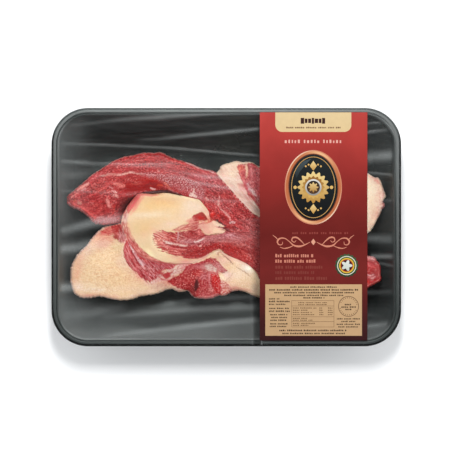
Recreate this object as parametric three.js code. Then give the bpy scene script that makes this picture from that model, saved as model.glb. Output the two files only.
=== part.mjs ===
// A film-sealed retail tray of raw beef brisket: a black thermoformed tray with a
// turned-down flange, a clear top film sealed on the flange, a broad paper label
// laid across the film, and four slabs of meat pressed side by side in the tray.
// Millimetres, +Z up, origin at the middle of the tray's base.
import * as THREE from 'three';

// ---- driving dimensions -------------------------------------------------------
const TRAY_LENGTH = 264;         // along X, over the flange
const TRAY_WIDTH = 180;          // along Y, over the flange
const TRAY_HEIGHT = 40;          // base to flange top
const RIM_CORNER_R = 27.5;       // outer corner radius of the flange, in plan
const CORNER_R_PER_INSET = 0.3;  // how fast the plan radius shrinks down the wall
const SHEET = 0.9;               // wall, floor and flange thickness
const FLANGE_FLAT_END = 3.9;     // inset where the flange's flat top ends
const FLANGE_EDGE_R = 1.2;       // roll of both flange edges
const SKIRT_DEPTH = 3.4;         // turned-down lip outside the flange
const WALL_ANGLE = 66 * Math.PI / 180;
const FLOOR_FILLET_R = 24;       // wall to floor, inside
const CORNER_STEPS = 8;          // facets round each plan corner

const FILM_THICKNESS = 0.3;
const FILM_INSET = 0.8;          // film stops just inside the flange's edge
const LAYER_GAP = 0.3;           // air between neighbouring sheets

const LABEL_X = [25.3, 106.4];   // label band, left and right edges
const LABEL_Y = [-85.4, 86.6];   // reaches across the whole opening
const LABEL_THICKNESS = 0.3;

const MEAT_CLEARANCE = 0.5;      // each slab's side stands back from a shared line
const MEAT_LIFT = 0.4;           // meat above the tray's inside surface
const SECTION_HALF = 9;          // facets over the top, and again underneath
const EDGE_SQUARENESS = 3.2;     // superellipse power of a slab's cross-section
const EDGE_HEIGHT = 0.5;         // where the slab is widest, as a share of its height

// ---- colours ------------------------------------------------------------------
const finish = (color, roughness, metalness = 0) =>
  new THREE.MeshStandardMaterial({ color, roughness, metalness });
const BLACK_PLASTIC = finish(0x2a2d2c, 0.35);
const CLEAR_FILM = new THREE.MeshStandardMaterial({
  color: 0xf4f6f6, roughness: 0.08, metalness: 0, transparent: true, opacity: 0.12 });
const LABEL_RED = finish(0x8c2a2c, 0.45);
const LEAN = finish(0xa8343a, 0.35);
const FAT = finish(0xefd0a0, 0.4);

// ---- closed skins from rings --------------------------------------------------
// Rings of equal length are joined side to side; the first and last are closed by
// fans. The winding is turned so that the faces point out.
function closedLoft(rings) {
  const n = rings[0].length;
  const pos = [];
  for (const ring of rings) for (const p of ring) pos.push(p[0], p[1], p[2]);
  const index = [];
  for (let i = 0; i + 1 < rings.length; i++) {
    for (let k = 0; k < n; k++) {
      const a = i * n + k, b = i * n + (k + 1) % n;
      const c = a + n, d = b + n;
      index.push(a, b, d, a, d, c);
    }
  }
  const cap = (start, flip) => {
    const mid = [0, 0, 0];
    for (let k = 0; k < n; k++) for (let j = 0; j < 3; j++) mid[j] += pos[(start + k) * 3 + j] / n;
    const m = pos.length / 3;
    pos.push(...mid);
    for (let k = 0; k < n; k++) {
      const a = start + k, b = start + (k + 1) % n;
      if (flip) index.push(m, a, b); else index.push(m, b, a);
    }
  };
  cap(0, false);
  cap((rings.length - 1) * n, true);
  let volume = 0;
  const at = (i) => [pos[i * 3], pos[i * 3 + 1], pos[i * 3 + 2]];
  for (let t = 0; t < index.length; t += 3) {
    const [p, q, r] = [at(index[t]), at(index[t + 1]), at(index[t + 2])];
    volume += p[0] * (q[1] * r[2] - q[2] * r[1])
            - p[1] * (q[0] * r[2] - q[2] * r[0])
            + p[2] * (q[0] * r[1] - q[1] * r[0]);
  }
  if (volume < 0) {
    for (let t = 0; t < index.length; t += 3) {
      const swap = index[t + 1]; index[t + 1] = index[t + 2]; index[t + 2] = swap;
    }
  }
  const g = new THREE.BufferGeometry();
  g.setAttribute('position', new THREE.Float32BufferAttribute(pos, 3));
  g.setIndex(index);
  g.computeVertexNormals();
  return g;
}

const group = new THREE.Group();
function add(name, geometry, material, z = 0) {
  const mesh = new THREE.Mesh(geometry, material);
  mesh.name = name;
  mesh.position.z = z;
  group.add(mesh);
  return mesh;
}

// ---- tray ---------------------------------------------------------------------
// The plan outline at an inset d from the flange's outer edge.
const planRadius = (d) => d < 5 ? RIM_CORNER_R - d
  : RIM_CORNER_R - 5 - (d - 5) * CORNER_R_PER_INSET;
function planRing(d, z) {
  const r = planRadius(d);
  const cx = TRAY_LENGTH / 2 - d - r, cy = TRAY_WIDTH / 2 - d - r;
  const ring = [];
  for (const [sx, sy, a0] of [[1, 1, 0], [-1, 1, 90], [-1, -1, 180], [1, -1, 270]]) {
    for (let k = 0; k <= CORNER_STEPS; k++) {
      const a = (a0 + 90 * k / CORNER_STEPS) * Math.PI / 180;
      ring.push([sx * cx + r * Math.cos(a), sy * cy + r * Math.sin(a), z]);
    }
  }
  return ring;
}
// The wall's section: flange, rolled edge, straight wall, fillet, floor.
const wallTop = [FLANGE_FLAT_END + FLANGE_EDGE_R * Math.sin(WALL_ANGLE),
  TRAY_HEIGHT - FLANGE_EDGE_R * (1 - Math.cos(WALL_ANGLE))];
const filletTopZ = SHEET + FLOOR_FILLET_R * (1 - Math.cos(WALL_ANGLE));
const filletTopD = wallTop[0] + (wallTop[1] - filletTopZ) / Math.tan(WALL_ANGLE);
const floorD = filletTopD + FLOOR_FILLET_R * Math.sin(WALL_ANGLE);
function insideHeight(d) {
  if (d >= floorD) return SHEET;
  if (d >= filletTopD) {
    const s = (floorD - d) / FLOOR_FILLET_R;
    return SHEET + FLOOR_FILLET_R * (1 - Math.sqrt(1 - s * s));
  }
  return wallTop[1] - (Math.max(d, wallTop[0]) - wallTop[0]) * Math.tan(WALL_ANGLE);
}
function trayGeometry() {
  const section = [];
  const FILLET_STEPS = 6, ROLL_STEPS = 3;
  for (let k = 0; k <= FILLET_STEPS; k++) {            // inside, floor to wall
    const a = WALL_ANGLE * k / FILLET_STEPS;
    section.push([floorD - FLOOR_FILLET_R * Math.sin(a), SHEET + FLOOR_FILLET_R * (1 - Math.cos(a))]);
  }
  for (let k = ROLL_STEPS; k >= 0; k--) {              // wall to flange
    const a = WALL_ANGLE * k / ROLL_STEPS;
    section.push([FLANGE_FLAT_END + FLANGE_EDGE_R * Math.sin(a),
      TRAY_HEIGHT - FLANGE_EDGE_R * (1 - Math.cos(a))]);
  }
  for (let k = 0; k <= ROLL_STEPS; k++) {              // flange to skirt
    const a = Math.PI / 2 * k / ROLL_STEPS;
    section.push([FLANGE_EDGE_R * (1 - Math.sin(a)), TRAY_HEIGHT - FLANGE_EDGE_R * (1 - Math.cos(a))]);
  }
  section.push([0, TRAY_HEIGHT - SKIRT_DEPTH], [SHEET, TRAY_HEIGHT - SKIRT_DEPTH]);
  section.push([SHEET, TRAY_HEIGHT - SHEET - 0.4], [SHEET + 0.4, TRAY_HEIGHT - SHEET]);
  const outerTop = [wallTop[0] - SHEET * Math.sin(WALL_ANGLE), wallTop[1] - SHEET * Math.cos(WALL_ANGLE)];
  section.push([outerTop[0] - 0.35, TRAY_HEIGHT - SHEET], outerTop);
  for (let k = FILLET_STEPS; k >= 0; k--) {            // outside, wall to base
    const a = WALL_ANGLE * k / FILLET_STEPS;
    const r = FLOOR_FILLET_R + SHEET;
    section.push([floorD - r * Math.sin(a), r * (1 - Math.cos(a))]);
  }
  return closedLoft(section.map(([d, z]) => planRing(d, z)));
}
add('tray', trayGeometry(), BLACK_PLASTIC);

// ---- film and label -----------------------------------------------------------
function sheet(x0, x1, y0, y1, r, thickness) {
  const s = new THREE.Shape();
  s.moveTo(x0 + r, y0);
  s.lineTo(x1 - r, y0); s.absarc(x1 - r, y0 + r, r, -Math.PI / 2, 0);
  s.lineTo(x1, y1 - r); s.absarc(x1 - r, y1 - r, r, 0, Math.PI / 2);
  s.lineTo(x0 + r, y1); s.absarc(x0 + r, y1 - r, r, Math.PI / 2, Math.PI);
  s.lineTo(x0, y0 + r); s.absarc(x0 + r, y0 + r, r, Math.PI, Math.PI * 1.5);
  return new THREE.ExtrudeGeometry(s, { depth: thickness, bevelEnabled: false, curveSegments: 8 });
}
const filmZ = TRAY_HEIGHT + LAYER_GAP;
add('film', sheet(-TRAY_LENGTH / 2 + FILM_INSET, TRAY_LENGTH / 2 - FILM_INSET,
  -TRAY_WIDTH / 2 + FILM_INSET, TRAY_WIDTH / 2 - FILM_INSET,
  RIM_CORNER_R - FILM_INSET, FILM_THICKNESS), CLEAR_FILM, filmZ);
const labelZ = filmZ + FILM_THICKNESS + LAYER_GAP;
add('label', sheet(LABEL_X[0], LABEL_X[1], LABEL_Y[0], LABEL_Y[1], 0.6, LABEL_THICKNESS),
  LABEL_RED, labelZ);

// ---- meat ---------------------------------------------------------------------
// Plan lines shared by neighbouring slabs, or free where a slab meets the tray.
const LINES = {
  stripTop: [[-120, 20], [-117.5, 24.5], [-105.5, 34], [-99, 41.5], [-87.5, 48], [-77, 53],
    [-65, 56], [-53.5, 56.5], [-45.5, 54.5], [-31, 49], [-18, 44.5], [-7.5, 41.5]],
  stripLow: [[-120, 20], [-116, 15], [-109.5, 12], [-104, 7.5], [-99, 3], [-90.5, 1.5],
    [-82, 3], [-80.5, 10.5], [-77.5, 16.5], [-72.5, 21], [-67, 24.5]],
  stripToCorner: [[-7.5, 41.5], [-3, 35.5], [5.5, 25.5], [13.5, 16.5], [21, 9.5], [30, 5],
    [44.5, 2.5], [59, 0], [65, -6]],
  stripToCentre: [[-67, 24.5], [-57.5, 27], [-46, 27.5], [-36, 25], [-27, 22.5], [-20.5, 20],
    [-12.5, 10.5], [-4, 0], [2.5, -3.5], [14.5, -4.5], [27, -6], [44.5, -9], [59, -10.5], [65, -6]],
  centreLeft: [[-79, 3], [-79, 7.5], [-76, 13.5], [-72.5, 19.5], [-67, 24.5]],
  centreToLower: [[-79, 3], [-77, -4.5], [-74, -11.5], [-69.5, -17.5], [-62.5, -23], [-53, -26.5],
    [-40.5, -27.5], [-27, -28], [-17.5, -25], [-10.5, -20.5], [-5.5, -18], [-1, -20.5],
    [5.5, -24.5], [18, -31], [23.5, -37], [30, -41], [44.5, -43.5], [58, -44]],
  centreTop: [[65, -6], [70, -10], [82, -13.5], [95, -17], [106.5, -21.5], [113.5, -25], [117, -33]],
  centreLow: [[58, -44], [71, -46.5], [86, -49], [102.5, -47.5], [112.5, -43], [117, -33]],
  lowerLeft: [[-118, -37], [-114, -23], [-108, -16], [-102.5, -10], [-96.5, -2.5], [-92, 0.5],
    [-82, 2.5], [-79, 3]],
  lowerFree: [[-118, -37], [-116, -47.5], [-111.5, -53], [-101, -53.5], [-92, -53.5], [-81.5, -55.5],
    [-72.5, -55], [-63.5, -52], [-50, -50], [-41.5, -47], [-34, -49], [-28, -49], [-23.5, -53.5],
    [-13.5, -54], [-3, -52], [4, -49], [11.5, -48.5], [25.5, -53.5], [40.5, -55.5],
    [54.5, -55], [60, -51], [58, -44]],
  cornerTop: [[-7.5, 41.5], [-5.5, 44], [-1, 47.5], [5.5, 49], [20.5, 48], [28.5, 46], [44.5, 47.5],
    [63.5, 49], [82, 47.5], [96, 43.5], [106.5, 40.5], [114, 37], [117.5, 32], [120.5, 22]],
  cornerLow: [[65, -6], [78.5, -7.5], [90, -8.5], [102.5, -7], [109.5, -2.5], [115.5, 9.5], [120.5, 22]],
};
function chain(...names) {
  const pts = [];
  for (const name of names) {
    const curve = new THREE.CatmullRomCurve3(
      LINES[name].map(([x, y]) => new THREE.Vector3(x, y, 0)), false, 'centripetal');
    const dense = curve.getPoints(LINES[name].length * 8);
    if (pts.length) dense.shift();
    pts.push(...dense);
  }
  const run = [0];
  for (let i = 1; i < pts.length; i++) run.push(run[i - 1] + pts[i].distanceTo(pts[i - 1]));
  const total = run[run.length - 1];
  return (u) => {
    const s = Math.min(Math.max(u, 0), 1) * total;
    let i = 1;
    while (i < run.length - 1 && run[i] < s) i++;
    const f = (s - run[i - 1]) / (run[i] - run[i - 1]);
    return [pts[i - 1].x + (pts[i].x - pts[i - 1].x) * f, pts[i - 1].y + (pts[i].y - pts[i - 1].y) * f];
  };
}
// The tray's inside height under a plan point, with the meat's clearance.
function bedHeight(x, y) {
  const r = RIM_CORNER_R;
  const qx = Math.abs(x) - (TRAY_LENGTH / 2 - r), qy = Math.abs(y) - (TRAY_WIDTH / 2 - r);
  const out = Math.hypot(Math.max(qx, 0), Math.max(qy, 0)) + Math.min(Math.max(qx, qy), 0) - r;
  return insideHeight(-out - 1.0) + MEAT_LIFT;
}
const bump = (x, y, cx, cy, rx, ry, h) =>
  h * Math.exp(-(((x - cx) / rx) ** 2) - (((y - cy) / ry) ** 2));
const lerpTies = (ties, s) => {
  let i = 1;
  while (i < ties.length - 1 && ties[i][0] < s) i++;
  const f = (s - ties[i - 1][0]) / (ties[i][0] - ties[i - 1][0]);
  return [ties[i - 1][1] + (ties[i][1] - ties[i - 1][1]) * f,
    ties[i - 1][2] + (ties[i][2] - ties[i - 1][2]) * f];
};
// A slab lies between an upper and a lower plan line. Each station's section is a
// rounded ring: crowned over the top, following the tray underneath.
function slabGeometry({ upper, lower, ties, stations, crown }) {
  const rings = [];
  for (let i = 1; i < stations; i++) {
    const s = 0.5 - 0.5 * Math.cos(Math.PI * i / stations);
    const [uu, ul] = lerpTies(ties, 0.5 * s + 0.5 * i / stations);
    const a = upper(uu), b = lower(ul);
    const w = Math.hypot(b[0] - a[0], b[1] - a[1]);
    const k = Math.min(MEAT_CLEARANCE / w, 0.4);
    const p = [a[0] + (b[0] - a[0]) * k, a[1] + (b[1] - a[1]) * k];
    const q = [b[0] + (a[0] - b[0]) * k, b[1] + (a[1] - b[1]) * k];
    const ring = [];
    for (let j = 0; j < 2 * SECTION_HALF; j++) {
      const th = Math.PI * j / SECTION_HALF;
      const v = 0.5 - 0.5 * Math.cos(th);
      const x = p[0] + (q[0] - p[0]) * v, y = p[1] + (q[1] - p[1]) * v;
      const bed = bedHeight(x, y);
      const top = Math.max(crown(x, y), bed + 4);
      const edge = Math.abs(Math.cos(th));
      const rise = Math.pow(Math.max(0, 1 - Math.pow(edge, EDGE_SQUARENESS)), 1 / EDGE_SQUARENESS);
      const mid = bed + (top - bed) * EDGE_HEIGHT;
      ring.push([x, y, j <= SECTION_HALF ? mid + (top - mid) * rise : mid - (mid - bed) * rise]);
    }
    rings.push(ring);
  }
  return closedLoft(rings);
}

// Long lean strip, curling down at its left end.
add('brisket_lean_strip', slabGeometry({
  upper: chain('stripTop', 'stripToCorner'), lower: chain('stripLow', 'stripToCentre'),
  ties: [[0, 0, 0], [0.12, 0.075, 0.09], [0.27, 0.2, 0.2], [0.4, 0.33, 0.315], [0.6, 0.53, 0.55],
    [0.8, 0.74, 0.77], [1, 1, 1]],
  stations: 44,
  crown: (x, y) => 31.5 + bump(x, y, -40, 42, 50, 16, 3.2) + bump(x, y, -95, 20, 16, 14, 1.6)
    - bump(x, y, -78, 16, 7, 9, 7),
}), LEAN);

// Folded centre slab, fat side up at its left, lean running to the right.
add('brisket_centre_slab', slabGeometry({
  upper: chain('centreLeft', 'stripToCentre', 'centreTop'), lower: chain('centreToLower', 'centreLow'),
  ties: [[0, 0, 0], [0.12, 0.08, 0.09], [0.3, 0.27, 0.27], [0.5, 0.5, 0.48], [0.75, 0.74, 0.74], [1, 1, 1]],
  stations: 42,
  crown: (x, y) => 32.5 + bump(x, y, -50, 4, 26, 22, 2.6) + bump(x, y, 5, -14, 30, 10, 0.8),
}), FAT);

// Lower slab: broad fat end at the left, lean knob in the middle, fat flap at the right.
add('brisket_lower_slab', slabGeometry({
  upper: chain('lowerLeft', 'centreToLower'), lower: chain('lowerFree'),
  ties: [[0, 0, 0], [0.15, 0.14, 0.12], [0.32, 0.33, 0.27], [0.5, 0.5, 0.41], [0.63, 0.63, 0.57],
    [0.78, 0.77, 0.72], [1, 1, 1]],
  stations: 44,
  crown: (x, y) => 27 + bump(x, y, -92, -32, 20, 20, 2.2) + bump(x, y, -20, -42, 12, 8, 2.2)
    + bump(x, y, 18, -42, 18, 9, 1.4),
}), FAT);

// Upper right slab: fat over lean, running under the label to a pale fat end.
add('brisket_corner_slab', slabGeometry({
  upper: chain('cornerTop'), lower: chain('stripToCorner', 'cornerLow'),
  ties: [[0, 0, 0], [0.15, 0.12, 0.13], [0.5, 0.46, 0.46], [0.8, 0.77, 0.78], [1, 1, 1]],
  stations: 36,
  crown: (x, y) => 32 + bump(x, y, 20, 36, 24, 14, 1.8) + bump(x, y, 100, 15, 24, 22, 1.6),
}), FAT);

export default group;
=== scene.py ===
"""Looks of a film-sealed tray pack of raw beef brisket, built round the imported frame."""
import bpy
import math
import numpy as np
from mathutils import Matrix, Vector, geometry


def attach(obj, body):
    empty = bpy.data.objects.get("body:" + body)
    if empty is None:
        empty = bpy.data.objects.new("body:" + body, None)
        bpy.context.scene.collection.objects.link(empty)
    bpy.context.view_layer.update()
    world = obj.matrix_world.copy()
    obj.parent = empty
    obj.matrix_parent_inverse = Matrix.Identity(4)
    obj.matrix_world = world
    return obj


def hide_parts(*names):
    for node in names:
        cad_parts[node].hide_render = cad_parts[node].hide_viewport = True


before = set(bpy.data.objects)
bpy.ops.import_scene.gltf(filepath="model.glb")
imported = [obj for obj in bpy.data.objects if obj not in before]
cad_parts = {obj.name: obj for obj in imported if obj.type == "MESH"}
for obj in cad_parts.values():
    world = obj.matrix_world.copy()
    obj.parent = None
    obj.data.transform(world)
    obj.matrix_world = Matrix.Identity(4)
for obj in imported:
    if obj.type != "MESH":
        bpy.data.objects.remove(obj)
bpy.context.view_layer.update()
MM = 0.001

# ------------------------------------------------------------------ plan frame
# Plan features are laid out on a drawing of 453 x 453 squares of 0.7543 mm, origin
# at its upper left; the pack's middle is at (226, 226.75).
SQ, CX, CY = 0.7543, 226.0, 226.75


def to_mm(p):
    p = np.asarray(p, float)
    return np.stack([(p[..., 0] - CX) * SQ, (CY - p[..., 1]) * SQ], -1)


def to_px(x, y):
    return x / SQ + CX, CY - y / SQ


def lin(c):
    c = np.asarray(c, float) / 255.0
    return np.where(c <= 0.04045, c / 12.92, ((c + 0.055) / 1.055) ** 2.4)


# ------------------------------------------------------------------ noise
def _hash(ix, iy, seed):
    h = (ix.astype(np.int64) * 374761393 + iy.astype(np.int64) * 668265263 + seed * 974634777) & 0xFFFFFFFF
    h = ((h ^ (h >> 13)) * 1274126177) & 0xFFFFFFFF
    h = ((h ^ (h >> 16)) * 2246822519) & 0xFFFFFFFF
    return (h ^ (h >> 15)) & 0xFFFFFFFF


def vnoise(x, y, seed=0):
    """Gradient noise, about -1 to 1."""
    x0, y0 = np.floor(x), np.floor(y)
    fx, fy = x - x0, y - y0
    u, v = fx * fx * fx * (fx * (fx * 6 - 15) + 10), fy * fy * fy * (fy * (fy * 6 - 15) + 10)

    def g(i, j):
        a = _hash(x0 + i, y0 + j, seed) * (2 * math.pi / 4294967296.0)
        return np.cos(a) * (fx - i) + np.sin(a) * (fy - j)
    a, b, c, d = g(0, 0), g(1, 0), g(0, 1), g(1, 1)
    return 1.5 * ((a + (b - a) * u) * (1 - v) + (c + (d - c) * u) * v)


def fbm(x, y, seed=0, octaves=3, gain=0.5):
    s, a, t = 0.0, 1.0, 0.0
    for k in range(octaves):
        s = s + a * vnoise(x * 2 ** k, y * 2 ** k, seed + 17 * k)
        t += a
        a *= gain
    return s / t


def cells(x, y, seed=0):
    """Distance to the nearest and second nearest of scattered points, and a value for the nearest."""
    x0, y0 = np.floor(x), np.floor(y)
    d1 = np.full(x.shape, 9.0)
    d2 = np.full(x.shape, 9.0)
    val = np.zeros(x.shape)
    for i in (-1, 0, 1):
        for j in (-1, 0, 1):
            a = _hash(x0 + i, y0 + j, seed) / 4294967296.0
            b = _hash(x0 + i, y0 + j, seed + 91) / 4294967296.0
            c = _hash(x0 + i, y0 + j, seed + 173) / 4294967296.0
            d = np.hypot(x0 + i + a - x, y0 + j + b - y)
            near = d < d1
            d2 = np.where(near, d1, np.minimum(d2, d))
            val = np.where(near, c, val)
            d1 = np.where(near, d, d1)
    return d1, d2, val


def smooth(a, b, t):
    t = np.clip((t - a) / (b - a), 0, 1)
    return t * t * (3 - 2 * t)


# ------------------------------------------------------------------ curves in plan
def spline(pts, step=0.6, closed=False):
    """Centripetal Catmull-Rom through the points, resampled evenly."""
    p = np.asarray(pts, float)
    if len(p) < 3 and not closed:
        dense = p
    else:
        if closed:
            q = np.vstack([p[-1], p, p[0], p[1]])
        else:
            q = np.vstack([2 * p[0] - p[1], p, 2 * p[-1] - p[-2]])
        out = []
        for i in range(1, len(q) - 2):
            p0, p1, p2, p3 = q[i - 1], q[i], q[i + 1], q[i + 2]
            t0 = 0.0
            t1 = t0 + max(np.linalg.norm(p1 - p0), 1e-6) ** 0.5
            t2 = t1 + max(np.linalg.norm(p2 - p1), 1e-6) ** 0.5
            t3 = t2 + max(np.linalg.norm(p3 - p2), 1e-6) ** 0.5
            t = np.linspace(t1, t2, 13)[:-1, None]
            a1 = (t1 - t) / (t1 - t0) * p0 + (t - t0) / (t1 - t0) * p1
            a2 = (t2 - t) / (t2 - t1) * p1 + (t - t1) / (t2 - t1) * p2
            a3 = (t3 - t) / (t3 - t2) * p2 + (t - t2) / (t3 - t2) * p3
            b1 = (t2 - t) / (t2 - t0) * a1 + (t - t0) / (t2 - t0) * a2
            b2 = (t3 - t) / (t3 - t1) * a2 + (t - t1) / (t3 - t1) * a3
            out.append((t2 - t) / (t2 - t1) * b1 + (t - t1) / (t2 - t1) * b2)
        dense = np.vstack(out + [q[-2][None]])
    seg = np.linalg.norm(np.diff(dense, axis=0), axis=1)
    run = np.concatenate([[0], np.cumsum(seg)])
    n = max(2, int(round(run[-1] / step)) + 1)
    s = np.linspace(0, run[-1], n)
    res = np.stack([np.interp(s, run, dense[:, 0]), np.interp(s, run, dense[:, 1])], 1)
    return res[:-1] if closed else res


def inside(poly, x, y):
    r = np.zeros(x.shape, bool)
    px, py = poly[:, 0], poly[:, 1]
    qx, qy = np.roll(px, -1), np.roll(py, -1)
    for a, b, c, d in zip(px, py, qx, qy):
        if b == d:
            continue
        k = ((b > y) != (d > y)) & (x < (c - a) * (y - b) / (d - b) + a)
        r ^= k
    return r


def near_line(line, x, y, reach):
    """Distance to a polyline and the place along it (0 to 1), within reach."""
    d = np.full(x.shape, reach * 1.0)
    s = np.zeros(x.shape)
    side = np.zeros(x.shape)
    a, b = line[:-1], line[1:]
    n = len(a)
    lo, hi = line.min(0) - reach, line.max(0) + reach
    idx = np.nonzero((x > lo[0]) & (x < hi[0]) & (y > lo[1]) & (y < hi[1]))[0]
    if not len(idx):
        return d, s, side
    X, Y = x[idx], y[idx]
    D, S, G = np.full(X.shape, reach * 1.0), np.zeros(X.shape), np.zeros(X.shape)
    for i in range(n):
        m = np.nonzero((X > min(a[i, 0], b[i, 0]) - reach) & (X < max(a[i, 0], b[i, 0]) + reach)
                       & (Y > min(a[i, 1], b[i, 1]) - reach) & (Y < max(a[i, 1], b[i, 1]) + reach))[0]
        if not len(m):
            continue
        v = b[i] - a[i]
        L = v @ v
        if L <= 0:
            continue
        wx, wy = X[m] - a[i, 0], Y[m] - a[i, 1]
        t = np.clip((wx * v[0] + wy * v[1]) / L, 0, 1)
        dd = np.hypot(wx - t * v[0], wy - t * v[1])
        k = dd < D[m]
        mm = m[k]
        D[mm] = dd[k]
        S[mm] = (i + t[k]) / n
        G[mm] = np.sign(v[0] * wy[k] - v[1] * wx[k])
    d[idx], s[idx], side[idx] = D, S, G
    return d, s, side


def signed(poly, x, y, reach):
    """Distance to a closed outline, positive inside, limited to reach."""
    ring = np.vstack([poly, poly[:1]])
    d, _, _ = near_line(ring, x, y, reach)
    return np.where(inside(poly, x, y), d, -d)


# ------------------------------------------------------------------ mesh helpers
def make_mesh(name, verts, faces, smooth_shade=True):
    me = bpy.data.meshes.new(name)
    me.from_pydata([tuple(v) for v in verts], [], faces)
    me.update()
    if smooth_shade:
        me.polygons.foreach_set("use_smooth", [True] * len(me.polygons))
    ob = bpy.data.objects.new(name, me)
    bpy.context.scene.collection.objects.link(ob)
    return ob


def mesh_arrays(name, co, tris, quads=None, smooth_shade=True):
    """Mesh from numpy arrays: triangles, and quads if any."""
    quads = np.zeros((0, 4), int) if quads is None else np.asarray(quads)
    tris = np.asarray(tris).reshape(-1, 3)
    me = bpy.data.meshes.new(name)
    nf = len(tris) + len(quads)
    loops = np.concatenate([tris.ravel(), quads.ravel()]).astype(np.int32)
    start = np.concatenate([np.arange(len(tris)) * 3, len(tris) * 3 + np.arange(len(quads)) * 4]).astype(np.int32)
    me.vertices.add(len(co))
    me.vertices.foreach_set("co", np.asarray(co, np.float32).ravel())
    me.loops.add(len(loops))
    me.loops.foreach_set("vertex_index", loops)
    me.polygons.add(nf)
    me.polygons.foreach_set("loop_start", start)
    me.polygons.foreach_set("use_smooth", np.full(nf, smooth_shade))
    me.update(calc_edges=True)
    me.validate()
    ob = bpy.data.objects.new(name, me)
    bpy.context.scene.collection.objects.link(ob)
    return ob


def set_float(ob, name, values):
    a = ob.data.attributes.new(name, "FLOAT", "POINT")
    a.data.foreach_set("value", np.asarray(values, np.float32))


def set_color(ob, name, rgb):
    a = ob.data.attributes.new(name, "FLOAT_COLOR", "POINT")
    c = np.ones((len(rgb), 4), np.float32)
    c[:, :3] = rgb
    a.data.foreach_set("color", c.ravel())


class Mat:
    """Small helper to wire a node material."""

    def __init__(self, name):
        self.m = bpy.data.materials.new(name)
        self.m.use_nodes = True
        self.t = self.m.node_tree
        self.t.nodes.clear()
        self.out = self.t.nodes.new("ShaderNodeOutputMaterial")

    def n(self, kind, **kw):
        node = self.t.nodes.new("ShaderNode" + kind)
        for k, v in kw.items():
            if k.startswith("_"):
                setattr(node, k[1:], v)
            else:
                node.inputs[k.replace("__", " ")].default_value = v
        return node

    def l(self, a, b):
        self.t.links.new(a, b)
        return b


# ------------------------------------------------------------------ sizes shared with the CAD
TRAY_L, TRAY_W, TRAY_H = 264.0, 180.0, 40.0
RIM_R, R_PER_INSET, SHEET = 27.5, 0.3, 0.9
FLAT_END, EDGE_R, SKIRT = 3.9, 1.2, 3.4
WALL = math.radians(66)
FILLET = 24.0
WALL_TOP = (FLAT_END + EDGE_R * math.sin(WALL), TRAY_H - EDGE_R * (1 - math.cos(WALL)))
FIL_Z = SHEET + FILLET * (1 - math.cos(WALL))
FIL_D = WALL_TOP[0] + (WALL_TOP[1] - FIL_Z) / math.tan(WALL)
FLOOR_D = FIL_D + FILLET * math.sin(WALL)


def plan_radius(d):
    return RIM_R - d if d < 5 else RIM_R - 5 - (d - 5) * R_PER_INSET


def inside_height(d):
    d = np.asarray(d, float)
    s = np.clip((FLOOR_D - d) / FILLET, 0, math.sin(WALL))
    fil = SHEET + FILLET * (1 - np.sqrt(1 - s * s))
    wall = WALL_TOP[1] - (np.maximum(d, WALL_TOP[0]) - WALL_TOP[0]) * math.tan(WALL)
    return np.where(d >= FLOOR_D, SHEET, np.where(d >= FIL_D, fil, wall))


def bed_height(x, y, back=1.0):
    qx, qy = np.abs(x) - (TRAY_L / 2 - RIM_R), np.abs(y) - (TRAY_W / 2 - RIM_R)
    out = np.hypot(np.maximum(qx, 0), np.maximum(qy, 0)) + np.minimum(np.maximum(qx, qy), 0) - RIM_R
    return inside_height(-out - back) + 0.4


# ------------------------------------------------------------------ camera, floor, light
scene = bpy.context.scene
scene.view_settings.view_transform = "Standard"
scene.view_settings.look = "None"

FRAME_W = 453 * SQ * MM
CAM_H = 3.2
cam_data = bpy.data.cameras.new("camera")
cam_data.sensor_width = 36.0
cam_data.lens = 36.0 * (CAM_H - TRAY_H * MM) / FRAME_W
cam_data.clip_start, cam_data.clip_end = 0.1, 20.0
cam = bpy.data.objects.new("camera", cam_data)
# the picture's middle lies at (226.2, 226.15) of the plan
cam.location = ((226.2 - CX) * SQ * MM, (CY - 226.15) * SQ * MM, CAM_H)
scene.collection.objects.link(cam)
scene.camera = cam

floor = make_mesh("floor", [(-6, -6, 0), (6, -6, 0), (6, 6, 0), (-6, 6, 0)], [(0, 1, 2, 3)], False)
fm = Mat("floor_white")
fb = fm.n("BsdfPrincipled", Base__Color=(0.92, 0.925, 0.93, 1), Roughness=0.8)
fb.inputs["Specular IOR Level"].default_value = 0.1
fm.l(fb.outputs[0], fm.out.inputs[0])
floor.data.materials.append(fm.m)


def area(name, pos, target, sx, sy, power, color=(1, 1, 1)):
    d = bpy.data.lights.new(name, "AREA")
    d.shape = "RECTANGLE"
    d.size, d.size_y = sx, sy
    d.energy = power
    d.color = color
    o = bpy.data.objects.new(name, d)
    o.location = pos
    v = Vector(target) - Vector(pos)
    o.rotation_mode = "QUATERNION"
    o.rotation_quaternion = v.to_track_quat("-Z", "Y")
    scene.collection.objects.link(o)
    return o


def polar(phi, az, r):
    """phi from the zenith, az from +X towards +Y, degrees."""
    p, a = math.radians(phi), math.radians(az)
    return (r * math.sin(p) * math.cos(a), r * math.sin(p) * math.sin(a), r * math.cos(p))


area("key", polar(24.5, 89.5, 1.6), (0, 0, 0.03), 0.24, 0.45, 16.6)

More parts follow.
